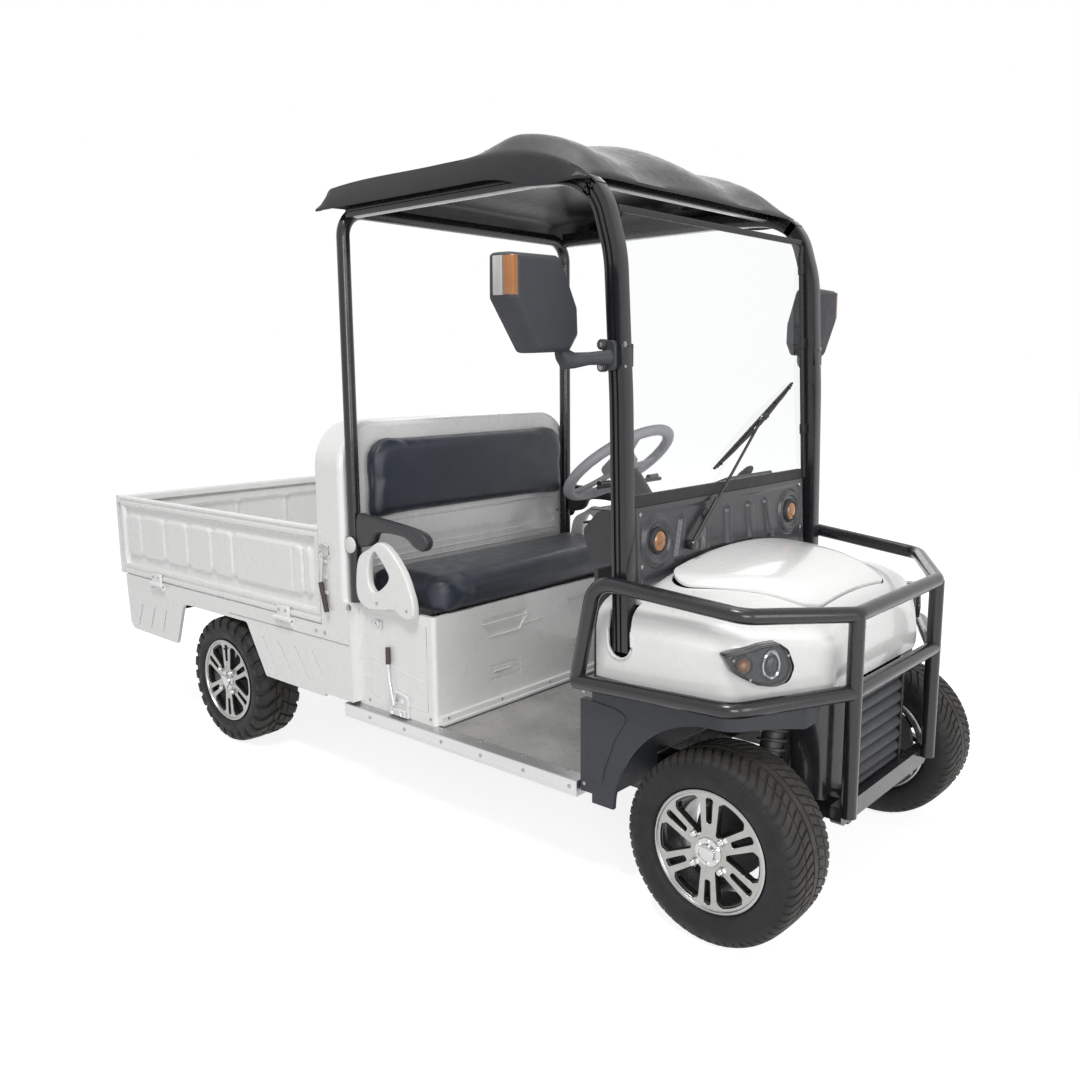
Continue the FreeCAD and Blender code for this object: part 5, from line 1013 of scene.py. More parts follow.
def make_brake_lever():
    """Parking brake: bolted bracket, bent rod and a black moulded grip."""
    y = -0.5088
    plate = bmesh.new()
    outline = rounded([(0.126, 0.292, 0.004), (0.212, 0.292, 0.004), (0.21, 0.36, 0.012),
                       (0.15, 0.37, 0.01), (0.126, 0.35, 0.01)])
    plate_part(plate, [outline], 0.011, side_frame(y), 0.002)
    box_part(plate, (0.13, -0.5225, 0.296), (0.206, -0.514, 0.318))
    piece("brake_bracket", plate, "white_plastic", stands_for=("brake_lever",))
    rod_piece = bmesh.new()
    tube_part(rod_piece, [(0.15, -0.5165, 0.322), (0.146, -0.5165, 0.345), (0.131, -0.514, 0.395),
                          (0.125, -0.512, 0.45)], 0.0045, 14)
    for x, z in ((0.15, 0.33), (0.19, 0.345), (0.15, 0.307), (0.19, 0.307)):
        bolt_part(rod_piece, (x, -0.5135 if z > 0.32 else -0.5222, z), (0, -1, 0), 0.006, 0.0045)
    turned_part(rod_piece, [(0.008, -0.012), (0.0105, -0.012), (0.0105, 0.0), (0.008, 0.0)], 20,
                facing(Vector((0.172, -0.518, 0.352)), ALONG), closed=True)
    piece("brake_rod", rod_piece, "lever_steel")
    grip = bmesh.new()
    tube_part(grip, [(0.1252, -0.512, 0.448), (0.125, -0.5118, 0.452), (0.1245, -0.511, 0.48),
                     (0.124, -0.5105, 0.497), (0.124, -0.5105, 0.499)], 0.0078, 16)
    piece("brake_grip", grip, "worn_grip")


# Cab fittings
def on_screen(y, z, out):
    """Point a little in front of the leaning screen."""
    return Vector((screen_x(z) + out, y, z))


WIPER_LOW = on_screen(-0.071, 1.059, 0.01)
WIPER_HIGH = on_screen(0.379, 1.282, 0.01)
WIPER_GRIP = 0.58


def make_wiper_arm():
    """Sprung arm with its hooked head, and the pivot's cap."""
    pivot, joint = on_screen(-0.214, 0.873, 0.026), on_screen(0.173, 1.185, 0.02)
    middle = WIPER_LOW.lerp(WIPER_HIGH, WIPER_GRIP)
    arm = bmesh.new()
    tube_part(arm, [pivot.lerp(joint, share) for share in (0, 0.04, 0.3, 0.34)], 0.0078, 12)
    tube_part(arm, [pivot.lerp(joint, share) for share in (0.33, 0.7, 1)], 0.0042, 10)
    tube_part(arm, [joint.lerp(middle, share) for share in (0, 0.5, 1)], 0.004, 10)
    turned_part(arm, [(0, -0.016), (0.013, -0.016), (0.014, 0.004), (0.012, 0.009), (0.006, 0.011),
                      (0, 0.011)], 28, facing(pivot, ALONG))
    piece("wiper_arm", arm, "lamp_unit", stands_for=("wiper",))


def make_wiper_blade():
    """Long blade with its spine, bowed claws and the block the arm takes hold of."""
    out = Vector((1, 0, POST_LEAN)).normalized()
    across = (WIPER_HIGH - WIPER_LOW).normalized()
    here = Matrix((across, out.cross(across), out)).transposed().to_4x4()
    here.translation = WIPER_LOW
    length = (WIPER_HIGH - WIPER_LOW).length
    blade = bmesh.new()
    box_part(blade, (0, -0.0025, -0.006), (length, 0.0025, 0.002), 0.0008, here)
    box_part(blade, (length * 0.02, -0.0045, 0.0015), (length * 0.98, 0.0045, 0.0035), 0.001, here)
    for start, end, foot, rise, radius in ((0.06, 0.44, 0.004, 0.007, 0.0028),
                                           (0.56, 0.94, 0.004, 0.007, 0.0028),
                                           (0.25, 0.75, 0.01, 0.006, 0.0034)):
        claw = [here @ Vector((length * (start + (end - start) * k / 8), 0,
                               foot + rise * math.sin(math.pi * k / 8))) for k in range(9)]
        tube_part(blade, claw, radius)
    for share in (0.06, 0.25, 0.44, 0.56, 0.75, 0.94):
        box_part(blade, (length * share - 0.004, -0.0055, -0.003),
                 (length * share + 0.004, 0.0055, 0.006), 0.001, here)
    box_part(blade, (length * WIPER_GRIP - 0.012, -0.006, 0.006),
             (length * WIPER_GRIP + 0.012, 0.006, 0.018), 0.002, here)
    piece("wiper_blade", blade, "rubber_black")


# Steering wheel, drawn flat and then leaned onto its column
STEERING_FRAME = spot(0.435, 0.235, 1.02) @ Matrix.Rotation(math.radians(-38), 4, "Y")
STEERING_RADIUS = 0.19


def make_steering_rim():
    """Moulded rim with finger scallops, and three dished spokes."""
    rim = bmesh.new()
    rows = []
    for k in range(144):
        scallop = 0.0012 * math.cos(2 * math.pi * k / 6)
        row = []
        for j in range(16):
            u, v = around(j / 16, 1)
            radius = STEERING_RADIUS - 0.003 + u * (0.0195 + (scallop if u < -0.2 else 0))
            row.append(STEERING_FRAME @ Vector((*around(k / 144, radius), v * 0.0165)))
        rows.append(row)
    grid_part(rim, rows + rows[:1], closed=True)
    bmesh.ops.remove_doubles(rim, verts=rim.verts, dist=TINY)
    for turn in (90, 210, 330):
        arm = STEERING_FRAME @ Matrix.Rotation(math.radians(turn), 4, "Z")
        strip = []
        for k in range(13):
            share = k / 12
            along = 0.03 + share * (STEERING_RADIUS - 0.038)
            half = 0.03 - 0.014 * math.sin(math.pi * min(1, share * 1.05)) - 0.004 * share
            height = -0.014 + 0.012 * share ** 2
            over = [(y, height + 0.007 * (1 - abs(y) ** 3)) for y in (-1, -0.8, -0.4, 0, 0.4, 0.8, 1)]
            under = [(y, height - 0.006) for y in (1, 0.4, -0.4, -1)]
            strip.append([arm @ Vector((along, y * half, z)) for y, z in over + under])
        grid_part(rim, strip, closed=True)
    piece("steering_rim", rim, "wheel_grip", "steering_wheel", ("steering_wheel",), 50)


def make_steering_pad():
    """Soft centre pad and the hub below it."""
    pad, hub = bmesh.new(), bmesh.new()
    outline = rounded([(-0.052, -0.046, 0.024), (-0.052, 0.046, 0.024), (0.02, 0.06, 0.028),
                       (0.056, 0.03, 0.026), (0.056, -0.03, 0.026), (0.02, -0.06, 0.028)], 8)
    sizes = [(1.0, -0.02), (1.0, 0.004), (0.97, 0.01), (0.88, 0.0145), (0.7, 0.017), (0.4, 0.0185)]
    rows = [[STEERING_FRAME @ Vector((point.x * size, point.y * size, height)) for point in outline]
            for size, height in sizes]
    solid_part(pad, rows)
    piece("steering_pad", pad, "worn_pad", "steering_wheel", angle=50)
    turned_part(hub, [(0, -0.0375), (0.032, -0.0375), (0.04, -0.028), (0.04, -0.018), (0, -0.018)], 32,
                STEERING_FRAME)
    piece("steering_hub", hub, "cab_trim", "steering_wheel")


def make_column():
    """Shroud of the steering column, and its two stalks with fat ends."""
    shroud, stalks = bmesh.new(), bmesh.new()
    profile = [(0, -0.039), (0.034, -0.039), (0.043, -0.046), (0.047, -0.075), (0.046, -0.17),
               (0.04, -0.215), (0.03, -0.222), (0, -0.222)]
    turned_part(shroud, profile, 36, STEERING_FRAME)
    piece("column_shroud", shroud, "cab_trim")
    for side, reach in ((-1, 0.15), (1, 0.155)):
        stem = ((0.03, -0.077), (0.08, -0.074), (reach, -0.064))
        end = ((reach - 0.045, -0.0655), (reach - 0.038, -0.066), (reach, -0.064), (reach + 0.006, -0.0635))
        for line, radius, segments in ((stem, 0.0055, 12), (end, 0.0095, 16)):
            points = [STEERING_FRAME @ Vector((0, side * along, height)) for along, height in line]
            tube_part(stalks, points, radius, segments)
    piece("column_stalks", stalks, "lamp_unit")


DASH_FRONT = screen_x(0.975) - 0.0083
DASH_REAR = DASH_FRONT - 0.15


def make_instrument():
    """Round instrument set into the cowling before the wheel, and its glass."""
    lean = Matrix.Rotation(math.radians(-52), 4, "Y")
    here = spot(DASH_REAR + 0.074, 0.235, 1.0045) @ lean @ spot(0.004, 0, 0)
    dial, glass = bmesh.new(), bmesh.new()
    turned_part(dial, [(0, 0), (0.04, 0), (0.04, 0.003), (0.037, 0.0045), (0.0355, 0.002), (0, 0.002)], 40,
                here)
    turned_part(glass, [(0.0355, 0.0024), (0.02, 0.0036), (0, 0.004)], 40, here)
    piece("instrument_dial", dial, "lamp_unit")
    piece("instrument_glass", glass, "lamp_clear")


def make_dashboard():
    """Slats of two vents, a switch row, and the trim along the shelf and below it."""
    vents, trim = bmesh.new(), bmesh.new()
    for y in (-0.33, -0.09):
        for k in range(5):
            z = 0.895 + k * 0.009
            box_part(vents, (DASH_REAR + 0.0035, y - 0.045, z),
                     (DASH_REAR + 0.0075, y + 0.045, z + 0.004), 0.0008)
    for k in range(4):
        y = 0.02 + k * 0.032
        box_part(vents, (DASH_REAR + 0.002, y - 0.011, 0.893),
                 (DASH_REAR + 0.0095, y + 0.011, 0.925), 0.002)
    piece("dash_vents", vents, "lamp_unit")
    box_part(trim, (DASH_REAR + 0.02, -0.43, 0.9745), (DASH_FRONT - 0.004, 0.098, 0.9775), 0.0012)
    box_part(trim, (DASH_REAR - 0.001, -0.434, 0.936), (DASH_REAR + 0.006, 0.434, 0.943), 0.0025)
    piece("dash_trim", trim, "grey_plastic")


def make_screen_clips():
    """Rubber clips that hold the windscreen to the posts."""
    lean = spot(screen_x(1.02), 0, 1.02) @ Matrix.Rotation(-math.atan(POST_LEAN), 4, "Y")
    clips = bmesh.new()
    for sign in (-1, 1):
        for z in (0.12, 0.38, 0.6):
            box_part(clips, (-0.008, sign * 0.4625 - 0.01, z - 0.016),
                     (0.008, sign * 0.4625 + 0.01, z + 0.016), 0.003, lean)
    piece("screen_clips", clips, "rubber_black")


def make_floor():
    """Studs of the floor plate's non-slip mat, and the screws in the sills."""
    studs = bmesh.new()
    for i in range(17):
        for j in range(19):
            x = 0.352 + i * 0.033
            y = -0.47 + j * 0.052 + (0.026 if i % 2 else 0)
            if x > 0.89 or abs(y) > 0.475:
                continue
            angle = math.radians(45 if (i + j) % 2 else -45)
            here = spot(x, y, 0.287) @ Matrix.Rotation(angle, 4, "Z")
            box_part(studs, (-0.011, -0.0028, -0.0005), (0.011, 0.0028, 0.0014), 0.0012, here)
    piece("floor_studs", studs, "floor_plate")
    screws = bmesh.new()
    for sign in (-1, 1):
        for k in range(6):
            screw_part(screws, (0.02 + k * 0.16, sign * 0.496, 0.29), UP)
            screw_part(screws, (0.06 + k * 0.16, sign * 0.538, 0.27), (0, sign, 0))
    piece("sill_screws", screws, "screw_steel")


# Front body
COWL_REAR = 0.925
COWL_NOSE = 1.432
COWL_BOTTOM = 0.572
COWL_SHELL = 0.006
# Share of the way from the cab to the nose, half width, side height and crown height
COWL_STATIONS = (
    (0.0, 0.508, 0.7, 0.832), (0.25, 0.508, 0.7, 0.826), (0.6, 0.5, 0.6936, 0.8086),
    (0.76, 0.472, 0.6808, 0.7875), (0.88, 0.379, 0.668, 0.7595), (0.96, 0.2964, 0.6552, 0.7337),
    (1.0, 0.25, 0.6456, 0.715))
# Share of the half width, and of the rise from the side to the crown
CROWN_RISES = ((-1.0, 0.0), (-0.975, 0.3), (-0.89, 0.5), (-0.74, 0.64), (-0.58, 0.8), (-0.3, 0.95),
               (0.0, 1.0), (0.3, 0.95), (0.58, 0.8), (0.74, 0.64), (0.89, 0.5), (0.975, 0.3), (1.0, 0.0))
SIDE_STEPS = 8
CROWN_STEPS = 72
BONNET_REAR = 1.011
BONNET_NOSE = 1.361
BONNET_HALF = 0.37
BONNET_NOSE_HALF = 0.222
BONNET_GAP = 0.003
BONNET_LIFT = 0.006
BONNET_SWELL = 0.013
BONNET_FLANK = 0.05
SLOT_FOOT = 0.664


def cowl_rows(inset):
    """Rows of points across the front body, drawn in by an inset."""
    rows = []
    for k in range(41):
        along = k / 40
        half, side, crown = blend_table(COWL_STATIONS, along)
        half, side, crown = half - inset, side - inset, crown - inset
        x = COWL_REAR + along * (COWL_NOSE - COWL_REAR - inset)
        low = COWL_BOTTOM
        right = [Vector((x, -half, low + (side - low) * j / SIDE_STEPS)) for j in range(SIDE_STEPS)]
        left = [Vector((x, half, point.z)) for point in reversed(right)]
        crown_line = []
        for j in range(CROWN_STEPS + 1):
            across = -math.cos(math.pi * j / CROWN_STEPS)
            rise = blend_table(CROWN_RISES, across)[0]
            crown_line.append(Vector((x, across * half, side + rise * (crown - side))))
        rows.append(right + crown_line + left)
    return rows


def closed_cowl():
    """The whole front body as one closed shell with a front face, as a mesh."""
    made = bmesh.new()
    outer, inner = cowl_rows(0), cowl_rows(COWL_SHELL)
    shell_part(made, outer + front_face(outer[-1]), inner + front_face(inner[-1]))
    bmesh.ops.remove_doubles(made, verts=made.verts, dist=1e-5)
    return finished_mesh(made, "cowl_shell", 50)


def front_face(nose):
    """Rows that close the nose, from its rim down to its lower edge, bowed a little forward."""
    rows = []
    for k in range(1, 9):
        share = k / 8
        row = []
        for point in nose:
            bow = 0.006 * math.sin(math.pi * share) * min(1, (point.z - COWL_BOTTOM) * 9)
            row.append(Vector((point.x + bow, point.y, point.z + (COWL_BOTTOM - point.z) * share)))
        rows.append(row)
    return rows


def bonnet_outline(grow):
    """Outline of the bonnet seen from above, widened by a gap."""
    return rounded([(BONNET_REAR - grow, -BONNET_HALF - grow, 0.06),
                    (BONNET_NOSE + grow, -BONNET_NOSE_HALF - grow, 0.085),
                    (BONNET_NOSE + grow, BONNET_NOSE_HALF + grow, 0.085),
                    (BONNET_REAR - grow, BONNET_HALF + grow, 0.06)], 10)


def prism_mesh(outline, low, high, to_space):
    """Closed prism from an outline, its points put in space by a function of (u, v, height)."""
    made = bmesh.new()
    under = [made.verts.new(to_space(point[0], point[1], low)) for point in outline]
    over = [made.verts.new(to_space(point[0], point[1], high)) for point in outline]
    made.faces.new(under)
    made.faces.new(list(reversed(over)))
    for k in range(len(outline)):
        after = (k + 1) % len(outline)
        made.faces.new((under[k], over[k], over[after], under[after]))
    return finished_mesh(made, "prism", 40)


def cut(item, cutter_mesh, operation):
    """Cut a closed mesh out of a piece, or keep what they share."""
    cutter = loose_item("cutter", cutter_mesh)
    modifier = item.modifiers.new("Cut", "BOOLEAN")
    modifier.operation = operation
    modifier.solver = "EXACT"
    modifier.object = cutter
    apply_modifiers(item)
    bpy.data.objects.remove(cutter)


def slot_outline(width, foot):
    """Keyhole round a post's foot in the side view: straight sides that lean, and a round end below."""
    points = []
    for k in range(13):
        turn = math.pi + math.pi * k / 12
        points.append(Vector((screen_x(foot) + math.cos(turn) * width, foot + math.sin(turn) * width)))
    return points + [Vector((screen_x(0.86) + width, 0.86)), Vector((screen_x(0.86) - width, 0.86))]


def finish_skin(item, name):
    """Shade a cut skin and tie it to the chassis."""
    item.name = name + "_skin"
    item.data.name = item.name
    item.data.shade_smooth()
    item.data.set_sharp_from_angle(angle=math.radians(42))
    dress(item, "body_white", "chassis", (name,))


def flat_prism(grow):
    """Upright prism on the bonnet's outline, high enough to pass through the cowl's crown."""
    return prism_mesh(bonnet_outline(grow), 0.62, 0.86, lambda u, v, height: Vector((u, v, height)))


def make_front_body():
    """Smooth cowl and bonnet with the open seam between them and a keyhole round each post's foot."""
    whole = loose_item("cowl", closed_cowl())
    bonnet = loose_item("bonnet", whole.data.copy())
    cut(bonnet, flat_prism(0), "INTERSECT")
    cut(whole, flat_prism(BONNET_GAP), "DIFFERENCE")
    for corner in bonnet.data.vertices:
        taper = smooth_step(corner.co.x, BONNET_REAR, BONNET_NOSE) * (BONNET_HALF - BONNET_NOSE_HALF)
        inside = min(BONNET_HALF - taper - abs(corner.co.y), BONNET_NOSE - corner.co.x)
        corner.co.z += BONNET_LIFT + BONNET_SWELL * smooth_step(inside, 0, BONNET_FLANK)
    rolled(bonnet, "Rolled rim", 0.005, 3, 50)
    apply_modifiers(bonnet)
    for _, sign in SIDES:
        keyhole = prism_mesh(slot_outline(0.034, SLOT_FOOT), 0.455, 0.56,
                             lambda u, v, height: Vector((u, sign * height, v)))
        cut(whole, keyhole, "DIFFERENCE")
    finish_skin(whole, "cowl")
    finish_skin(bonnet, "bonnet")


def make_post_slots():
    """Rims of the keyholes round the posts' feet, and near-black plates behind them as painted shade of the
    cowl's inside.
    """
    rims, keyhole_shade = bmesh.new(), bmesh.new()
    for sign in (-1, 1):
        ends = [(screen_x(0.7) + side * 0.036, sign * 0.509, 0.7) for side in (-1, 1)]
        bow = [(point.x, sign * 0.509, point.y) for point in slot_outline(0.036, SLOT_FOOT)[:13]]
        tube_part(rims, ends[:1] + bow + ends[1:], 0.0035)
        # Near-black plate inside the cowl behind each keyhole: painted shade standing in for the dark inside
        # of the cowl
        box_part(keyhole_shade, (0.958, sign * 0.452, 0.58), (1.04, sign * 0.4585, 0.74), 0.002)
    piece("post_slot_rims", rims, "white_plastic")
    piece("post_slot_shade_plates", keyhole_shade, "inner_dark")


# Headlights, drawn flat and then turned onto the front corners
LAMP_OUTLINE = ((-0.09, 0.031, 0.005), (-0.062, -0.016, 0.03), (-0.01, -0.043, 0.05),
                (0.035, -0.052, 0.05), (0.072, -0.044, 0.022), (0.086, -0.01, 0.024),
                (0.068, 0.033, 0.024), (0.044, 0.05, 0.014), (0.0, 0.048, 0.08), (-0.038, 0.039, 0.08))


BULB_PLACE = spot(-0.044, 0.004, 0)


def lamp_frame(sign):
    """Flat lamp frame: u along the lamp, v up, w out of the body."""
    turn = math.radians(60)
    along = Vector((math.cos(turn), math.sin(turn), 0))
    out = Vector((math.sin(turn), -math.cos(turn), 0))
    matrix = Matrix((along, UP, out)).transposed().to_4x4()
    matrix.translation = Vector((1.34, -0.444, 0.664))
    return Matrix.Diagonal((1, -sign, 1, 1)) @ matrix


def scaled(factor):
    """The lamp's outline, made smaller about its middle."""
    return rounded([(u * factor, v * factor, radius * factor) for u, v, radius in LAMP_OUTLINE])


def headlight_body(name, here):
    """Dark bezel, reflector bowl and clear cover."""
    bezel, bowl, cover = bmesh.new(), bmesh.new(), bmesh.new()
    plate_part(bezel, [scaled(1), scaled(0.88)], 0.01, here @ spot(0, 0, 0.012), 0.003)
    plate_part(bezel, [scaled(1)], 0.03, here @ spot(0, 0, -0.01), 0.002)
    piece("headlight_bezel_" + name, bezel, "lamp_unit", stands_for=("headlights",))
    plate_part(bowl, [scaled(0.87)], 0.003, here @ spot(0, 0, 0.0068))
    turned_part(bowl, [(0.02, 0.008), (0.0215, 0.013), (0.023, 0.008)], 40, here @ BULB_PLACE)
    piece("headlight_bowl_" + name, bowl, "lamp_bowl")
    plate_part(cover, [scaled(0.9)], 0.0015, here @ spot(0, 0, 0.0185), 0.0006)
    piece("headlight_cover_" + name, cover, "lamp_clear")


def headlight_eye(name, here):
    """Projector lens in its bright ring, both a little taller than wide."""
    eye = here @ spot(0.025, 0.0, 0) @ Matrix.Diagonal((0.74, 1.1, 1, 1))
    ring, projector = bmesh.new(), bmesh.new()
    turned_part(ring, [(0.0245, 0.008), (0.0245, 0.015), (0.0285, 0.0172), (0.0325, 0.015), (0.034, 0.008)],
                48, eye, closed=True)
    piece("headlight_ring_" + name, ring, "bright_chrome")
    dome = [around(k / 32, 1) for k in range(8)] + [(0, 1)]
    profile = [(0.025, 0.008), (0.024, 0.0115), (0.0215, 0.012), (0.0195, 0.0105)]
    turned_part(projector, profile + [(0.019 * u, 0.0105 + 0.008 * v) for u, v in dome], 48, eye)
    piece("headlight_projector_" + name, projector, "lamp_unit")


def headlight_bulb(name, here):
    """Amber bulb in its cup, and the bezel's screws."""
    bulb, screws = bmesh.new(), bmesh.new()
    turned_part(bulb, [(0.012, 0.008), (0.012, 0.0115), (0.009, 0.015), (0.004, 0.017), (0, 0.0173)], 28,
                here @ BULB_PLACE)
    turned_part(bulb, [(0.0165, 0.008), (0.015, 0.0105), (0.0125, 0.009)], 28, here @ BULB_PLACE)
    piece("headlight_bulb_" + name, bulb, "amber_lens")
    for u, v in ((-0.074, 0.021), (-0.03, -0.028), (0.066, 0.02)):
        turned_part(screws, [(0, 0.017), (0.0035, 0.017), (0.003, 0.0185), (0, 0.019)], 12,
                    here @ spot(u, v, 0))
    piece("headlight_screws_" + name, screws, "screw_steel")


def make_headlights():
    """Teardrop lamps: dark bezel, reflector bowl, projector in a bright ring, amber bulb and clear cover."""
    for name, sign in SIDES:
        here = lamp_frame(sign)
        headlight_body(name, here)
        headlight_eye(name, here)
        headlight_bulb(name, here)


# Scuttle under the screen
SCUTTLE_HALF = 0.436
SCUTTLE_LOW = 0.8
SCUTTLE_HIGH = 0.99
# Place of each rib's middle, and how far it leans
SCUTTLE_RIBS = ((-0.24, 0.034), (-0.118, 0.014), (0.0, 0.0), (0.118, -0.014), (0.22, -0.03))
LAMP_PLACE = 0.348
LAMP_Z = 0.899


def scuttle_relief(y, z):
    """How far the pressing stands out: leaning ribs with round tops and a dished ring round each lamp."""
    rise = 0.0
    for place, lean in SCUTTLE_RIBS:
        middle = place + lean * (z - LAMP_Z) / 0.06 * 0.5
        top = 0.958
        across = abs(y - middle) / 0.021
        if z > top - 0.021:
            across = math.hypot(y - middle, z - top + 0.021) / 0.021
        rise = max(rise, 0.009 * (1 - smooth_step(across, 0.55, 1.0)) * smooth_step(z, 0.835, 0.85))
    for side in (-1, 1):
        away = math.hypot(y - side * LAMP_PLACE, z - LAMP_Z)
        rise = max(rise, 0.009 * (1 - smooth_step(away, 0.058, 0.07)))
        rise -= 0.006 * (1 - smooth_step(away, 0.044, 0.052))
    border = min(SCUTTLE_HALF - abs(y), SCUTTLE_HIGH - z)
    return rise + 0.003 * smooth_step(border, 0.022, 0.012)


def make_scuttle():
    """Pressed panel under the screen with ribs and lamp rings, and its corner screws."""
    rows, back = [], []
    for k in range(73):
        z = SCUTTLE_LOW - 0.006 + (SCUTTLE_HIGH - SCUTTLE_LOW + 0.006) * k / 72
        x = screen_x(z) + 0.0065
        line = [-SCUTTLE_HALF + 2 * SCUTTLE_HALF * j / 200 for j in range(201)]
        rows.append([Vector((x + scuttle_relief(y, z), y, z)) for y in line])
        back.append([Vector((x - 0.006, y, z)) for y in line])
    made, screws = bmesh.new(), bmesh.new()
    shell_part(made, rows, back)
    piece("scuttle_pressing", made, "scuttle_grey", stands_for=("scuttle_panel",), angle=60)
    for y in (-0.418, 0.418):
        for z in (0.972, 0.842):
            screw_part(screws, (screen_x(z) + 0.0085, y, z), ALONG, 0.006)
    piece("scuttle_screws", screws, "screw_steel")


def make_screen_rubber():
    """Rubber strip below the screen, up its sides and over its top."""
    here = spot(screen_x(SCUTTLE_HIGH), 0, SCUTTLE_HIGH) @ Matrix.Rotation(-math.atan(POST_LEAN), 4, "Y")
    strip = bmesh.new()
    box_part(strip, (-0.008, -SCUTTLE_HALF, -0.001), (0.0085, SCUTTLE_HALF, 0.03), 0.003, here)
    for y in (-0.462, 0.462):
        box_part(strip, (-0.006, y - 0.008, 0), (0.006, y + 0.008, 0.7), 0.003, here)
    box_part(strip, (-0.006, -0.455, 0.7), (0.006, 0.455, 0.716), 0.003, here)
    piece("screen_rubber", strip, "rubber_black")


def make_side_lamps():
    """Round amber lamps in the scuttle's rings, each in a rubber bezel."""
    lamps, bezels = bmesh.new(), bmesh.new()
    for sign in (-1, 1):
        here = facing(Vector((screen_x(LAMP_Z) + 0.0115, sign * LAMP_PLACE, LAMP_Z)), ALONG)
        turned_part(lamps, [(0.0255, 0), (0.0255, 0.005), (0.022, 0.0085), (0.012, 0.011), (0, 0.0118)], 36,
                    here)
        turned_part(bezels, [(0.0265, -0.003), (0.0265, 0.0065), (0.03, 0.0065), (0.034, 0.003),
                             (0.036, -0.003)], 40, here)
    piece("side_lamp_lenses", lamps, "amber_lens", stands_for=("scuttle_lamps",))
    piece("side_lamp_bezels", bezels, "rubber_black")


# Grille and the panels beside it
LOUVRES = 8
PANEL_LINE = ((1.436, 0.15), (1.43, 0.176), (1.412, 0.2), (1.385, 0.218), (1.35, 0.228), (1.32, 0.232))
PANEL_LOW = 0.276
PANEL_HIGH = 0.569


def make_grille():
    """Rolled louvres in a frame."""
    (x0, _, z0), (x1, y1, z1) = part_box("grille")
    low, high, half = z0 - 0.014, z1 + 0.024, y1 + 0.006
    pitch = (high - low) / LOUVRES
    front, back = [], []
    for k in range(LOUVRES):
        for j in range(11):
            if j or not k:
                z = low + pitch * (k + j / 10)
                x = x0 + 0.002 + 0.0135 * math.sin(math.pi * j / 10) ** 0.6
                front.append([Vector((x, y, z)) for y in (-half, half)])
                back.append([Vector((x0 - 0.002, y, z)) for y in (-half, half)])
    louvres, border = bmesh.new(), bmesh.new()
    shell_part(louvres, front, back)
    piece("grille_louvres", louvres, "grey_plastic", stands_for=("grille",), angle=60)
    corners = [(-half, low), (half, low), (half, high), (-half, high)]
    outer = rounded([(y * 1.04, z + (0.006 if z > z1 else -0.006), 0.012) for y, z in corners])
    inner = rounded([(y * 0.97, z + (-0.004 if z > z1 else 0.004), 0.008) for y, z in corners])
    plate_part(border, [outer, inner], 0.012, cross_frame(x1 - 0.004), 0.002)
    piece("grille_frame", border, "post_black")


def make_nose_panels():
    """Dark panels that wrap back from the grille below the cowl."""
    panels = bmesh.new()
    heights = [PANEL_LOW + (PANEL_HIGH - PANEL_LOW) * k / 12 for k in range(13)]
    for sign in (-1, 1):
        outside = [[Vector((x, sign * y, z)) for z in heights] for x, y in PANEL_LINE]
        inside = [[Vector((x - 0.004, sign * (y - 0.003), z)) for z in heights] for x, y in PANEL_LINE]
        shell_part(panels, outside, inside)
    piece("nose_panels", panels, "lamp_unit", angle=50)


# Cab posts, rear hoop and mirrors
POST_PATH = ((0.9985, 0.645, 0), (0.985, 1.255, 2.0), (0.967, 1.59, 0.35), (0.927, 1.722, 0.15),
             (0.86, 1.779, 0.2), (0.7, 1.79, 0.6), (-0.0017, 1.79, 0))
# Section of a post, with two flutes in its outer face
POST_SECTION = ((-0.019, -0.019), (-0.0135, -0.019), (-0.012, -0.014), (-0.008, -0.014), (-0.0065, -0.019),
                (0.0005, -0.019), (0.002, -0.015), (0.005, -0.015), (0.0065, -0.019), (0.019, -0.019),
                (0.0222, -0.0178), (0.023, -0.015), (0.023, 0.015), (0.0222, 0.0178), (0.019, 0.019),
                (-0.019, 0.019), (-0.0222, 0.0178), (-0.023, 0.015), (-0.023, -0.015), (-0.0222, -0.0178))
HOOP_X = -0.0217
HOOP_Y = 0.505
HOOP_TOP = 1.79


def swept_part(made, path, y, section, sign):
    """Sweep a section, given as (along the view, outward) points, up a path in the XZ plane."""
    rows = []
    for k, point in enumerate(path):
        ahead = (path[min(k + 1, len(path) - 1)] - path[max(k - 1, 0)]).normalized()
        depth = Vector((ahead.y, 0, -ahead.x))
        rows.append([Vector((point.x, y, point.y)) + depth * u + ACROSS * (-sign * v) for u, v in section])
    solid_part(made, rows)


def make_posts():
    """Fluted front posts that bend back under the roof as rails, the hoop behind, pads and screws."""
    posts = bmesh.new()
    path = rounded(POST_PATH, 10)
    for sign in (-1, 1):
        swept_part(posts, path, sign * POST_Y, POST_SECTION, sign)
        for x, top in ((0.091, 1.862), (0.393, 1.866), (0.675, 1.866)):
            box_part(posts, (x - 0.02, sign * POST_Y - 0.01, 1.8),
                     (x + 0.02, sign * POST_Y + 0.008, top - 0.028), 0.002)
    box_part(posts, (0.82, -0.475, 1.768), (0.85, 0.475, 1.79))
    piece("fluted_posts", posts, "post_black", stands_for=("front_posts",), angle=28)
    hoop = bmesh.new()
    corners = [(-HOOP_Y, 0.6205, 0), (-HOOP_Y, HOOP_TOP, 0.075), (HOOP_Y, HOOP_TOP, 0.075),
               (HOOP_Y, 0.6205, 0)]
    tube_part(hoop, [(HOOP_X, point.x, point.y) for point in rounded(corners, 12)], 0.02, 24)
    piece("hoop_tube", hoop, "post_black", stands_for=("rear_hoop",), angle=40)
    bolts = bmesh.new()
    for sign in (-1, 1):
        for z in (0.842, 0.985):
            screw_part(bolts, (screen_x(z) + 0.0255, sign * POST_Y, z), ALONG)
    piece("post_bolts", bolts, "screw_steel")


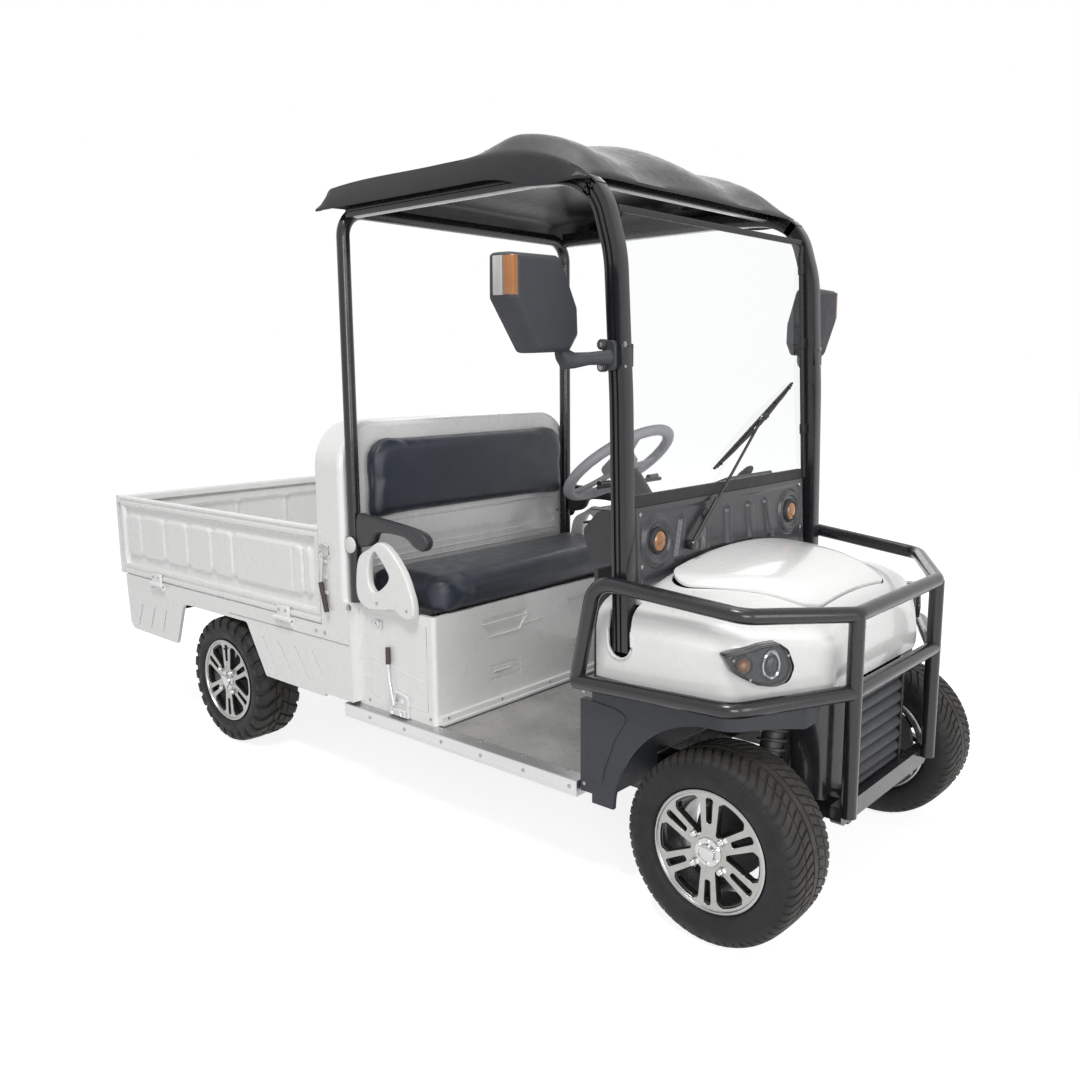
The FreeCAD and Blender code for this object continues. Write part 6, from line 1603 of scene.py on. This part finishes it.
MIRROR_OUTLINE = ((-0.784, 1.576, 0.01), (-0.628, 1.579, 0.02), (-0.566, 1.464, 0.012),
                  (-0.563, 1.402, 0.014), (-0.592, 1.366, 0.012), (-0.706, 1.362, 0.012),
                  (-0.786, 1.48, 0.012))
# X of each ring of the head, how far its outer side moves out, and its size
MIRROR_RINGS = ((0.852, -0.012, 0.955), (0.856, -0.013, 0.985), (0.862, -0.014, 0.995), (0.87, -0.013, 1.0),
                (0.9, -0.006, 1.0), (0.9085, -0.003, 0.99), (0.916, -0.001, 0.95), (0.92, 0.0, 0.9),
                (0.9215, 0.0, 0.84))
MIRROR_CENTRE = Vector((-0.675, 1.47))
# Place (across, up, along) and half sizes (along, up) of each ring of the arm
ARM_ROWS = ((-0.602, 1.366, 0.886, 0.012, 0.024), (-0.594, 1.352, 0.892, 0.014, 0.026),
            (-0.575, 1.346, 0.91, 0.0145, 0.0185), (-0.553, 1.35, 0.938, 0.0145, 0.015),
            (-0.53, 1.352, 0.962, 0.015, 0.0165), (-0.515, 1.353, 0.972, 0.016, 0.02))


def mirror_head(name, sign, outline):
    """Moulded head, its rim drawn in towards the glass."""
    rows = []
    for x, out, size in MIRROR_RINGS:
        row = []
        for point in outline:
            near = MIRROR_CENTRE + (point - MIRROR_CENTRE) * size
            shift = out * min(1.0, max(0.0, (-0.66 - near.x) / 0.1))
            row.append(Vector((x, -sign * (near.x + shift), near.y)))
        rows.append(row)
    head = bmesh.new()
    solid_part(head, rows)
    piece("mirror_head_" + name, head, "grey_plastic", stands_for=("mirrors",), angle=40)


def mirror_arm(name, sign):
    """Cast arm and the clamp that holds it to the post, with its bolts."""
    arm, bolts = bmesh.new(), bmesh.new()
    rows = []
    for y, z, x, deep, tall in ARM_ROWS:
        oval = [around(k / 20, 1) for k in range(20)]
        rows.append([Vector((x + u * deep, -sign * y, z + v * tall)) for u, v in oval])
    solid_part(arm, rows)
    clamp = rounded([(0.951, 1.322, 0.012), (0.99, 1.322, 0.012), (0.9885, 1.392, 0.012),
                     (0.9495, 1.392, 0.012)])
    plate_part(arm, [clamp], 0.012, side_frame(sign * 0.515), 0.003)
    for z in (1.3315, 1.3825):
        rod_part(arm, (0.9525, sign * 0.51, z), (0.9525, sign * 0.529, z), 0.0125, 20, 0.002)
        bolt_part(bolts, (0.9525, sign * 0.529, z), (0, sign, 0), 0.0055, 0.004)
        bolt_part(bolts, (1.0015, sign * 0.5, z), ALONG, 0.0045, 0.003)
    box_part(arm, (0.9925, sign * 0.49 - 0.019, 1.33), (1.0015, sign * 0.49 + 0.026, 1.384))
    piece("mirror_arm_" + name, arm, "grey_plastic", angle=40)
    piece("mirror_clamp_bolts_" + name, bolts, "screw_steel")


def mirror_indicator(name, material, sign, start, end):
    """Stretch of the indicator lens that wraps the head's outer side."""
    section = ((0.0, 1.484), (0.006, 1.485), (0.0072, 1.487), (0.0072, 1.566), (0.006, 1.568), (0.0, 1.569))
    rows = []
    for k in range(7):
        x = start + (end - start) * k / 6
        out = 0.7935 - 0.0135 * smooth_step(x, 0.868, 0.922) - 0.006 * smooth_step(x, 0.91, 0.924)
        rows.append([Vector((x, sign * (out + depth), z)) for depth, z in section])
    lens = bmesh.new()
    solid_part(lens, rows)
    piece(name, lens, material)


def mirror_glass(name, sign, outline):
    """Silvered glass, set into the back of the head."""
    behind = Matrix(((0, 0, -1, 0.8515), (-sign, 0, 0, -sign * MIRROR_CENTRE.x), (0, 1, 0, MIRROR_CENTRE.y),
                     (0, 0, 0, 1)))
    glass = bmesh.new()
    plate_part(glass, [[(point - MIRROR_CENTRE) * 0.9 for point in outline]], 0.003, behind, 0.0008)
    piece("mirror_glass_" + name, glass, "mirror_glass")


def make_mirrors():
    """Mirror on each front post: head, arm, two-coloured indicator and glass."""
    outline = rounded(MIRROR_OUTLINE, 5)
    for name, sign in SIDES:
        mirror_head(name, sign, outline)
        mirror_arm(name, sign)
        mirror_indicator("mirror_amber_" + name, "amber_lens", sign, 0.893, 0.9195)
        mirror_indicator("mirror_clear_" + name, "lens_clear", sign, 0.869, 0.892)
        mirror_glass(name, sign, outline)


# Seat
CUSHION_SHRINK = 0.007
CUSHION_VOXEL = 0.007
CUSHION_PRESSURE = 3.0
CUSHION_CAP = 0.01
CLOTH_FRAMES = 16


def shrunken_copy(node_name, name):
    """Copy of a CAD pad in place, a little smaller on every side, so that it can swell."""
    mesh = NODES[node_name].data.copy()
    mesh.name = name
    mesh.transform(NODES[node_name].matrix_world)
    low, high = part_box(node_name)
    centre = (Vector(low) + Vector(high)) / 2
    half = (Vector(high) - Vector(low)) / 2
    for vertex in mesh.vertices:
        offset = vertex.co - centre
        for axis in range(3):
            offset[axis] *= (half[axis] - CUSHION_SHRINK) / half[axis]
        vertex.co = centre + offset
    return mesh


def puffed(item, cap):
    """Swell a closed pad with air, as cloth, and keep each point within a cap of where it began."""
    remesh = item.modifiers.new("Even cells", "REMESH")
    remesh.mode = "VOXEL"
    remesh.voxel_size = CUSHION_VOXEL
    apply_modifiers(item)
    start = [vertex.co.copy() for vertex in item.data.vertices]
    cloth = item.modifiers.new("Vinyl", "CLOTH")
    cloth.settings.use_pressure = True
    cloth.settings.uniform_pressure_force = CUSHION_PRESSURE
    cloth.settings.effector_weights.gravity = 0
    cloth.settings.quality = 4
    cloth.point_cache.frame_start = 1
    cloth.point_cache.frame_end = CLOTH_FRAMES
    for step in range(1, CLOTH_FRAMES + 1):
        bpy.context.scene.frame_set(step)
    baked = bpy.data.meshes.new_from_object(item.evaluated_get(bpy.context.evaluated_depsgraph_get()))
    item.modifiers.clear()
    item.data = baked
    for vertex, place in zip(baked.vertices, start):
        move = vertex.co - place
        if move.length > cap:
            vertex.co = place + move.normalized() * cap
    calm = item.modifiers.new("Calmed folds", "SMOOTH")
    calm.factor = 0.5
    calm.iterations = 14
    apply_modifiers(item)
    bpy.context.scene.frame_set(1)


def pressed(item, groove):
    """Press a seam into a pad: groove(point) gives how far the point sinks, as a vector."""
    for vertex in item.data.vertices:
        vertex.co += groove(vertex.co)


def make_pad(node_name, name, body, seam):
    """A stuffed pad shaped by air pressure inside its vinyl, with a seam pressed into it."""
    item = loose_item(name, shrunken_copy(node_name, name))
    item.data.materials.clear()
    puffed(item, CUSHION_CAP)
    pressed(item, seam)
    item.data.shade_smooth()
    smooth = item.modifiers.new("Smooth", "SUBSURF")
    smooth.levels = 1
    smooth.render_levels = 1
    apply_modifiers(item)
    item.data.shade_smooth()
    dress(item, "seat_vinyl", body, (node_name,))


def groove_share(distance, width):
    """One at the middle of a groove, nothing outside it."""
    return max(0.0, 1 - abs(distance) / width) ** 2


def make_seat():
    """Bench cushion and back pad, with the seam line that runs round each below its top face."""
    (x0, y0, z0), (x1, y1, z1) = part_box("seat_cushion")
    seam_z = z1 - 0.03

    def cushion_seam(point):
        near_side = min(point.x - x0, x1 - point.x, point.y - y0, y1 - point.y) < 0.045
        depth = 0.005 * groove_share(point.z - seam_z, 0.009) if near_side else 0
        inward = Vector(((x0 + x1) / 2 - point.x, (y0 + y1) / 2 - point.y, 0)).normalized()
        return inward * depth

    make_pad("seat_cushion", "cushion_vinyl", "seat_cushion", cushion_seam)
    (x0, y0, z0), (x1, y1, z1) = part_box("back_pad")
    seam_x = x1 - 0.022

    def pad_seam(point):
        depth = 0.004 * groove_share(point.x - seam_x, 0.008)
        inward = Vector((0, (y0 + y1) / 2 - point.y, (z0 + z1) / 2 - point.z)).normalized()
        return inward * depth

    make_pad("back_pad", "back_vinyl", "chassis", pad_seam)


ROOF_REAR = -0.111
ROOF_FRONT = 0.897
ROOF_HALF = 0.534
ROOF_STEP_HALF = 0.507
ROOF_LOBE_HALF = 0.422
ROOF_VALLEY_HALF = 0.235
ROOF_GAUGE = 0.008
# Share of the length, then the heights of the lip, step, outer lobe, valley and middle lobe
ROOF_STATIONS = (
    (0.0, 1.8, 1.8145, 1.8174, 1.8174, 1.8174), (0.04, 1.8, 1.8551, 1.8667, 1.8696, 1.8725),
    (0.5, 1.8, 1.8609, 1.8769, 1.8798, 1.8827), (0.59, 1.8, 1.8609, 1.8856, 1.8899, 1.9015),
    (0.69, 1.8, 1.8595, 1.916, 1.9189, 1.945), (0.75, 1.793, 1.8551, 1.9131, 1.9131, 1.9407),
    (0.84, 1.769, 1.8406, 1.8899, 1.8812, 1.9073), (0.92, 1.766, 1.8174, 1.8493, 1.8406, 1.8609),
    (0.98, 1.768, 1.7884, 1.8, 1.7942, 1.8058), (1.0, 1.768, 1.7754, 1.7797, 1.7797, 1.7812))


def roof_rows(drop):
    """Rows of points across the roof, smooth along it and over its lobes, let down by a drop."""
    rows = []
    for k in range(73):
        along = k / 72
        lip, step, lobe, valley, middle = blend_table(ROOF_STATIONS, along)
        half_table = ((-ROOF_STEP_HALF, step), (-ROOF_LOBE_HALF, lobe), (-ROOF_VALLEY_HALF, valley),
                      (0, middle), (ROOF_VALLEY_HALF, valley), (ROOF_LOBE_HALF, lobe),
                      (ROOF_STEP_HALF, step))
        x = ROOF_REAR + along * (ROOF_FRONT - ROOF_REAR)
        row = [Vector((x, -ROOF_HALF, lip - drop)),
               Vector((x, -ROOF_STEP_HALF - 0.004, step - 0.01 - drop))]
        for j in range(61):
            y = -ROOF_STEP_HALF + 2 * ROOF_STEP_HALF * j / 60
            row.append(Vector((x, y, blend_table(half_table, y)[0] - drop)))
        row += [Vector((x, ROOF_STEP_HALF + 0.004, step - 0.01 - drop)), Vector((x, ROOF_HALF, lip - drop))]
        rows.append(row)
    return rows


def grid_border(rows):
    """Points round the border of a grid, in order."""
    return rows[0] + [row[-1] for row in rows[1:]] + rows[-1][-2::-1] + [row[0] for row in rows[-2:0:-1]]


def shell_part(made, outer, inner):
    """Closed shell between two skins with the same rows."""
    over = grid_border(grid_part(made, outer))
    under = grid_border(grid_part(made, inner))
    for k in range(len(over)):
        after = (k + 1) % len(over)
        made.faces.new((over[k], over[after], under[after], under[k]))


def make_roof():
    """Moulded roof skin with a turned lip, and its screws."""
    made = bmesh.new()
    shell_part(made, roof_rows(0), roof_rows(ROOF_GAUGE))
    skin = piece("roof_skin", made, "roof_black", stands_for=("roof",), angle=50)
    rolled(skin, "Rolled edge", 0.003, 3, 60)
    screws = bmesh.new()
    for x in (0.02, 0.26, 0.5):
        lobe = blend_table(ROOF_STATIONS, (x - ROOF_REAR) / (ROOF_FRONT - ROOF_REAR))[2]
        for y in (-0.43, 0.43):
            screw_part(screws, (x, y, lobe - 0.001), UP, 0.009)
    piece("roof_screws", screws, "screw_steel")


# Running gear and small trim
EASED = (("headboard", 0.003), ("seat_box", 0.004), ("sills", 0.002), ("fenders", 0.005),
         ("dashboard", 0.004), ("chassis_frame", 0.003), ("rear_apron", 0.002), ("tail_lamps", 0.004),
         ("battery_pack", 0.006), ("front_wall", 0.002), ("pedals", 0.002), ("right_knuckle", 0.002),
         ("left_knuckle", 0.002), ("front_suspension", 0.002), ("rear_axle", 0.003))


AXLE_Z = WHEEL_RADIUS


def coil_part(made, foot, head, radius, wire, turns):
    """Coil spring between two points."""
    here = facing(foot, head - foot)
    steps = turns * 16
    rise = (head - foot).length / steps
    tube_part(made, [here @ Vector((*around(k / 16, radius), rise * k)) for k in range(steps + 1)], wire)


def make_springs():
    """Coil springs on the dampers with their seats, and the fins of the motor."""
    coils, seats = bmesh.new(), bmesh.new()
    for sign in (-1, 1):
        foot, head = Vector((1.28, sign * 0.296, 0.306)), Vector((1.28, sign * 0.22, 0.513))
        way = head - foot
        coil_part(coils, foot + way * 0.18, foot + way * 0.93, 0.0335, 0.0045, 7)
        for share in (0.14, 0.93):
            rod_part(seats, foot + way * share, foot + way * (share + 0.035), 0.039, 24, 0.002)
    piece("coil_springs", coils, "axle_steel")
    for k in range(8):
        turned_part(seats, [(0.0785, 0), (0.0835, 0), (0.0835, 0.008), (0.0785, 0.008)], 40,
                    facing(Vector((-0.628 + k * 0.019, 0, AXLE_Z)), ALONG), closed=True)
    piece("spring_seats", seats, "axle_steel")


def make_leaf_clamps():
    """Clamps on the leaf packs: two bent rods over the axle, a plate and its nuts."""
    clamps = bmesh.new()
    for y in (-0.3, 0.3):
        for x in (-0.774, -0.706):
            bow = rounded([(y - 0.029, 0.19, 0), (y - 0.029, 0.2985, 0.01), (y + 0.029, 0.2985, 0.01),
                           (y + 0.029, 0.19, 0)])
            tube_part(clamps, [(x, point.x, point.y) for point in bow], 0.0045, 10)
            for side in (-0.029, 0.029):
                bolt_part(clamps, (x, y + side, 0.194), -UP, 0.0065, 0.006)
        box_part(clamps, (-0.79, y - 0.036, 0.194), (-0.69, y + 0.036, 0.202), 0.002)
    piece("leaf_clamps", clamps, "screw_steel")


def make_axle_bolts():
    """Bolts round the motor's end and both sides of the gear case."""
    bolts = bmesh.new()
    for k in range(8):
        v, u = around(k / 8, 1)
        bolt_part(bolts, (-0.445, u * 0.062, AXLE_Z + v * 0.062), ALONG)
        for sign in (-1, 1):
            bolt_part(bolts, (REAR_AXLE_X + u * 0.07, sign * 0.065, AXLE_Z + v * 0.07), (0, sign, 0))
    piece("axle_bolts", bolts, "screw_steel")


FENDER_PANEL = ((0.915, 0.3, 0.01), (0.958, 0.3, 0.012), (0.968, 0.345, 0.06), (1.0, 0.43, 0.08),
                (1.04, 0.492, 0.02), (1.0, 0.506, 0.03), (0.915, 0.512, 0.012))


def make_fender_trim():
    """Raised panels, top seams and fixings of the moulded front guards."""
    panels = bmesh.new()
    screws = bmesh.new()
    for sign in (-1, 1):
        plate_part(panels, [rounded(FENDER_PANEL)], 0.005, side_frame(sign * 0.5255), 0.0022)
        box_part(panels, (0.905, sign * 0.5245, 0.5485), (1.24, sign * 0.5268, 0.5535), 0.001)
        for x, z in ((0.9, 0.285), (0.9, 0.53)):
            screw_part(screws, (x, sign * 0.5252, z), (0, sign, 0))
    piece("fender_panels", panels, "grey_plastic")
    piece("fender_screws", screws, "screw_steel")


def make_headboard_trim():
    """Pressed ridges of the bulkhead under the back pad, and its fixing screws."""
    ridges = bmesh.new()
    for z, half, tall in ((0.86, 0.45, 0.007), (0.742, 0.47, 0.006), (0.722, 0.47, 0.006)):
        box_part(ridges, (-0.0435, -half, z - tall), (-0.0375, half, z), 0.0028)
    piece("headboard_ridges", ridges, "body_white")
    screws = bmesh.new()
    for y in (-0.48, 0.48):
        for z in (0.8, 1.05):
            screw_part(screws, (-0.0415, y, z), ALONG, 0.006)
    piece("headboard_screws", screws, "screw_steel")


def make_tail_lamps():
    """Lens segments and bezels of the tail lamps."""
    bezel, amber, clear = bmesh.new(), bmesh.new(), bmesh.new()
    (x0, _, z0), (_, y1, z1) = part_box("tail_lamps")
    wide = 0.11
    near = y1 - wide
    for sign in (-1, 1):
        for made, start, end in ((amber, 0.0, 0.3), (clear, 0.74, 1.0)):
            box_part(made, (x0 - 0.003, sign * (near + wide * start + 0.003), z0 + 0.004),
                     (x0 + 0.004, sign * (near + wide * end - 0.003), z1 - 0.004), 0.002)
        for z in (z0 + 0.0005, z1 - 0.0045):
            box_part(bezel, (x0 - 0.002, sign * (near - 0.002), z),
                     (x0 + 0.01, sign * (y1 + 0.002), z + 0.004), 0.001)
    piece("tail_lamp_bezels", bezel, "lamp_unit")
    piece("tail_lamp_amber", amber, "amber_lens")
    piece("tail_lamp_clear", clear, "lens_clear")


def make_plate():
    """Blank plate in its holder on the rear apron."""
    plate, holder = bmesh.new(), bmesh.new()
    box_part(plate, (-1.452, -0.15, 0.362), (-1.449, 0.15, 0.44), 0.001)
    box_part(holder, (-1.449, -0.16, 0.355), (-1.435, 0.16, 0.45))
    piece("plate_blank", plate, "white_plastic")
    piece("plate_holder", holder, "lamp_unit")


def make_gate_catches():
    """Catches near the tail board's ends, with their screws."""
    catches, screws = bmesh.new(), bmesh.new()
    for y in (-0.48, 0.48):
        box_part(catches, (-1.5165, y - 0.02, 0.745), (-1.509, y + 0.02, 0.815))
        rod_part(catches, (-1.518, y - 0.026, 0.762), (-1.518, y + 0.026, 0.762), 0.005, 14)
        for z in (0.778, 0.804):
            screw_part(screws, (-1.5165, y, z), -ALONG, 0.005)
    piece("tailgate_catches", catches, "latch_steel", "tailgate")
    piece("tailgate_catch_screws", screws, "screw_steel", "tailgate")


def make_battery_trim():
    """Cell lids, terminals and the strap on the pack under the seat."""
    (x0, y0, _), (x1, y1, z1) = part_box("battery_pack")
    lids, posts, strap = bmesh.new(), bmesh.new(), bmesh.new()
    wide = (y1 - y0) / 4
    for k in range(4):
        start = y0 + wide * k
        box_part(lids, (x0 + 0.008, start + 0.006, z1 - 0.001),
                 (x1 - 0.008, start + wide - 0.006, z1 + 0.008))
        for x in (x0 + 0.04, x1 - 0.04):
            rod_part(posts, (x, start + wide / 2, z1 + 0.006), (x, start + wide / 2, z1 + 0.022), 0.008, 16)
    box_part(strap, (x0 - 0.001, -0.015, z1 - 0.06), (x1 + 0.003, 0.015, z1 + 0.011), 0.001)
    piece("battery_lids", lids, "battery_case")
    piece("battery_terminals", posts, "screw_steel")
    piece("battery_strap", strap, "rubber_black")


def make_pedal_pads():
    """Ribbed rubber on both pedals."""
    (x0, y0, z0), (_, y1, _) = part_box("pedals")
    pads = bmesh.new()
    for y in (y0 + 0.031, y1 - 0.031):
        for k in range(6):
            z = z0 + 0.014 + k * 0.012
            box_part(pads, (x0 - 0.002 + k * 0.0035, y - 0.026, z),
                     (x0 + 0.01 + k * 0.0035, y + 0.026, z + 0.006), 0.0015)
    piece("pedal_ribs", pads, "rubber_black")


def ease_nodes():
    """Round the edges of the CAD nodes that stay as they are."""
    for name, width in EASED:
        rolled(NODES[name], "Eased edges", width, 2, 40)


# Stage
FLOOR_SHADE = 0.55
WORLD_STRENGTH = 0.32
FLOOR_HALF = 60
FLOOR_DROP = 0.0005
# Name, place, power and width of each lamp, and the point they are turned to
LAMPS = (("key", (1.4, -3.2, 6.4), 215, 1.4), ("side", (5.2, -4.8, 1.9), 120, 2.2),
         ("front", (7.0, -1.2, 2.2), 120, 3.0), ("top", (0.3, 0.6, 6.2), 70, 3.0),
         ("back", (-3.5, 5.5, 3.5), 60, 4.0))
LAMP_TARGET = Vector((0, 0, 0.8))


def seen_directly(tree):
    """One for rays that reach the camera straight, off a mirror or through glass."""
    path = tree.nodes.new("ShaderNodeLightPath").outputs
    straight = math_node(tree, "MAXIMUM", path["Is Camera Ray"], path["Is Glossy Ray"])
    return math_node(tree, "MAXIMUM", straight, path["Is Transmission Ray"])


def make_stage_floor():
    """White floor that keeps the shadow and lifts to white where a ray meets it directly."""
    mesh = bpy.data.meshes.new("stage_floor")
    corners = [(x * FLOOR_HALF, y * FLOOR_HALF, 0) for x, y in ((-1, -1), (1, -1), (1, 1), (-1, 1))]
    mesh.from_pydata(corners, [], [(0, 1, 2, 3)])
    floor = loose_item("stage_floor", mesh)
    floor.location.z = -FLOOR_DROP
    made, tree, shader = graph("stage_floor")
    lift = math_node(tree, "MULTIPLY", seen_directly(tree), 1 - FLOOR_SHADE * WORLD_STRENGTH)
    fill(tree, shader, {"Base Color": (FLOOR_SHADE, FLOOR_SHADE, FLOOR_SHADE, 1), "Roughness": 0.9,
                        "Specular IOR Level": 0.0, "Emission Color": WHITE, "Emission Strength": lift})
    mesh.materials.append(made)


def make_world():
    """Soft white light all round, and plain white where it is seen."""
    world = bpy.data.worlds.new("Studio")
    bpy.context.scene.world = world
    world.use_nodes = True
    tree = world.node_tree
    light = tree.nodes["Background"]
    fill(tree, light, {"Color": WHITE, "Strength": WORLD_STRENGTH})
    white = add_node(tree, "Background", "Background", {"Color": WHITE, "Strength": 1.0})
    mix = add_node(tree, "MixShader", "Shader",
                   {"Fac": seen_directly(tree), 1: light.outputs["Background"], 2: white})
    fill(tree, tree.nodes["World Output"], {"Surface": mix})


def make_lamps():
    """Soft square lamps, each turned to the cart's middle."""
    for name, place, energy, width in LAMPS:
        data = bpy.data.lights.new(name, "AREA")
        data.energy = energy
        data.size = width
        lamp = loose_item(name, data)
        lamp.location = place
        lamp.rotation_euler = (LAMP_TARGET - Vector(place)).to_track_quat("-Z", "Y").to_euler()


MATERIALS = make_materials()
paint_nodes()
make_wheels()
make_seat()
make_roof()
make_front_body()
make_post_slots()
make_headlights()
make_scuttle()
make_screen_rubber()
make_side_lamps()
make_grille()
make_nose_panels()
make_posts()
make_mirrors()
make_wiper_arm()
make_wiper_blade()
make_steering_rim()
make_steering_pad()
make_column()
make_instrument()
make_dashboard()
make_screen_clips()
make_floor()
make_side_boards()
make_tailgate()
make_skirts()
make_deck()
make_skirt_trim()
make_latches()
make_seat_surround()
make_box_lines()
make_box_fittings()
make_brake_lever()
make_springs()
make_leaf_clamps()
make_axle_bolts()
make_fender_trim()
make_headboard_trim()
make_tail_lamps()
make_plate()
make_gate_catches()
make_battery_trim()
make_pedal_pads()
ease_nodes()
make_camera()
make_stage_floor()
make_world()
make_lamps()
bpy.context.scene.view_settings.view_transform = "Standard"
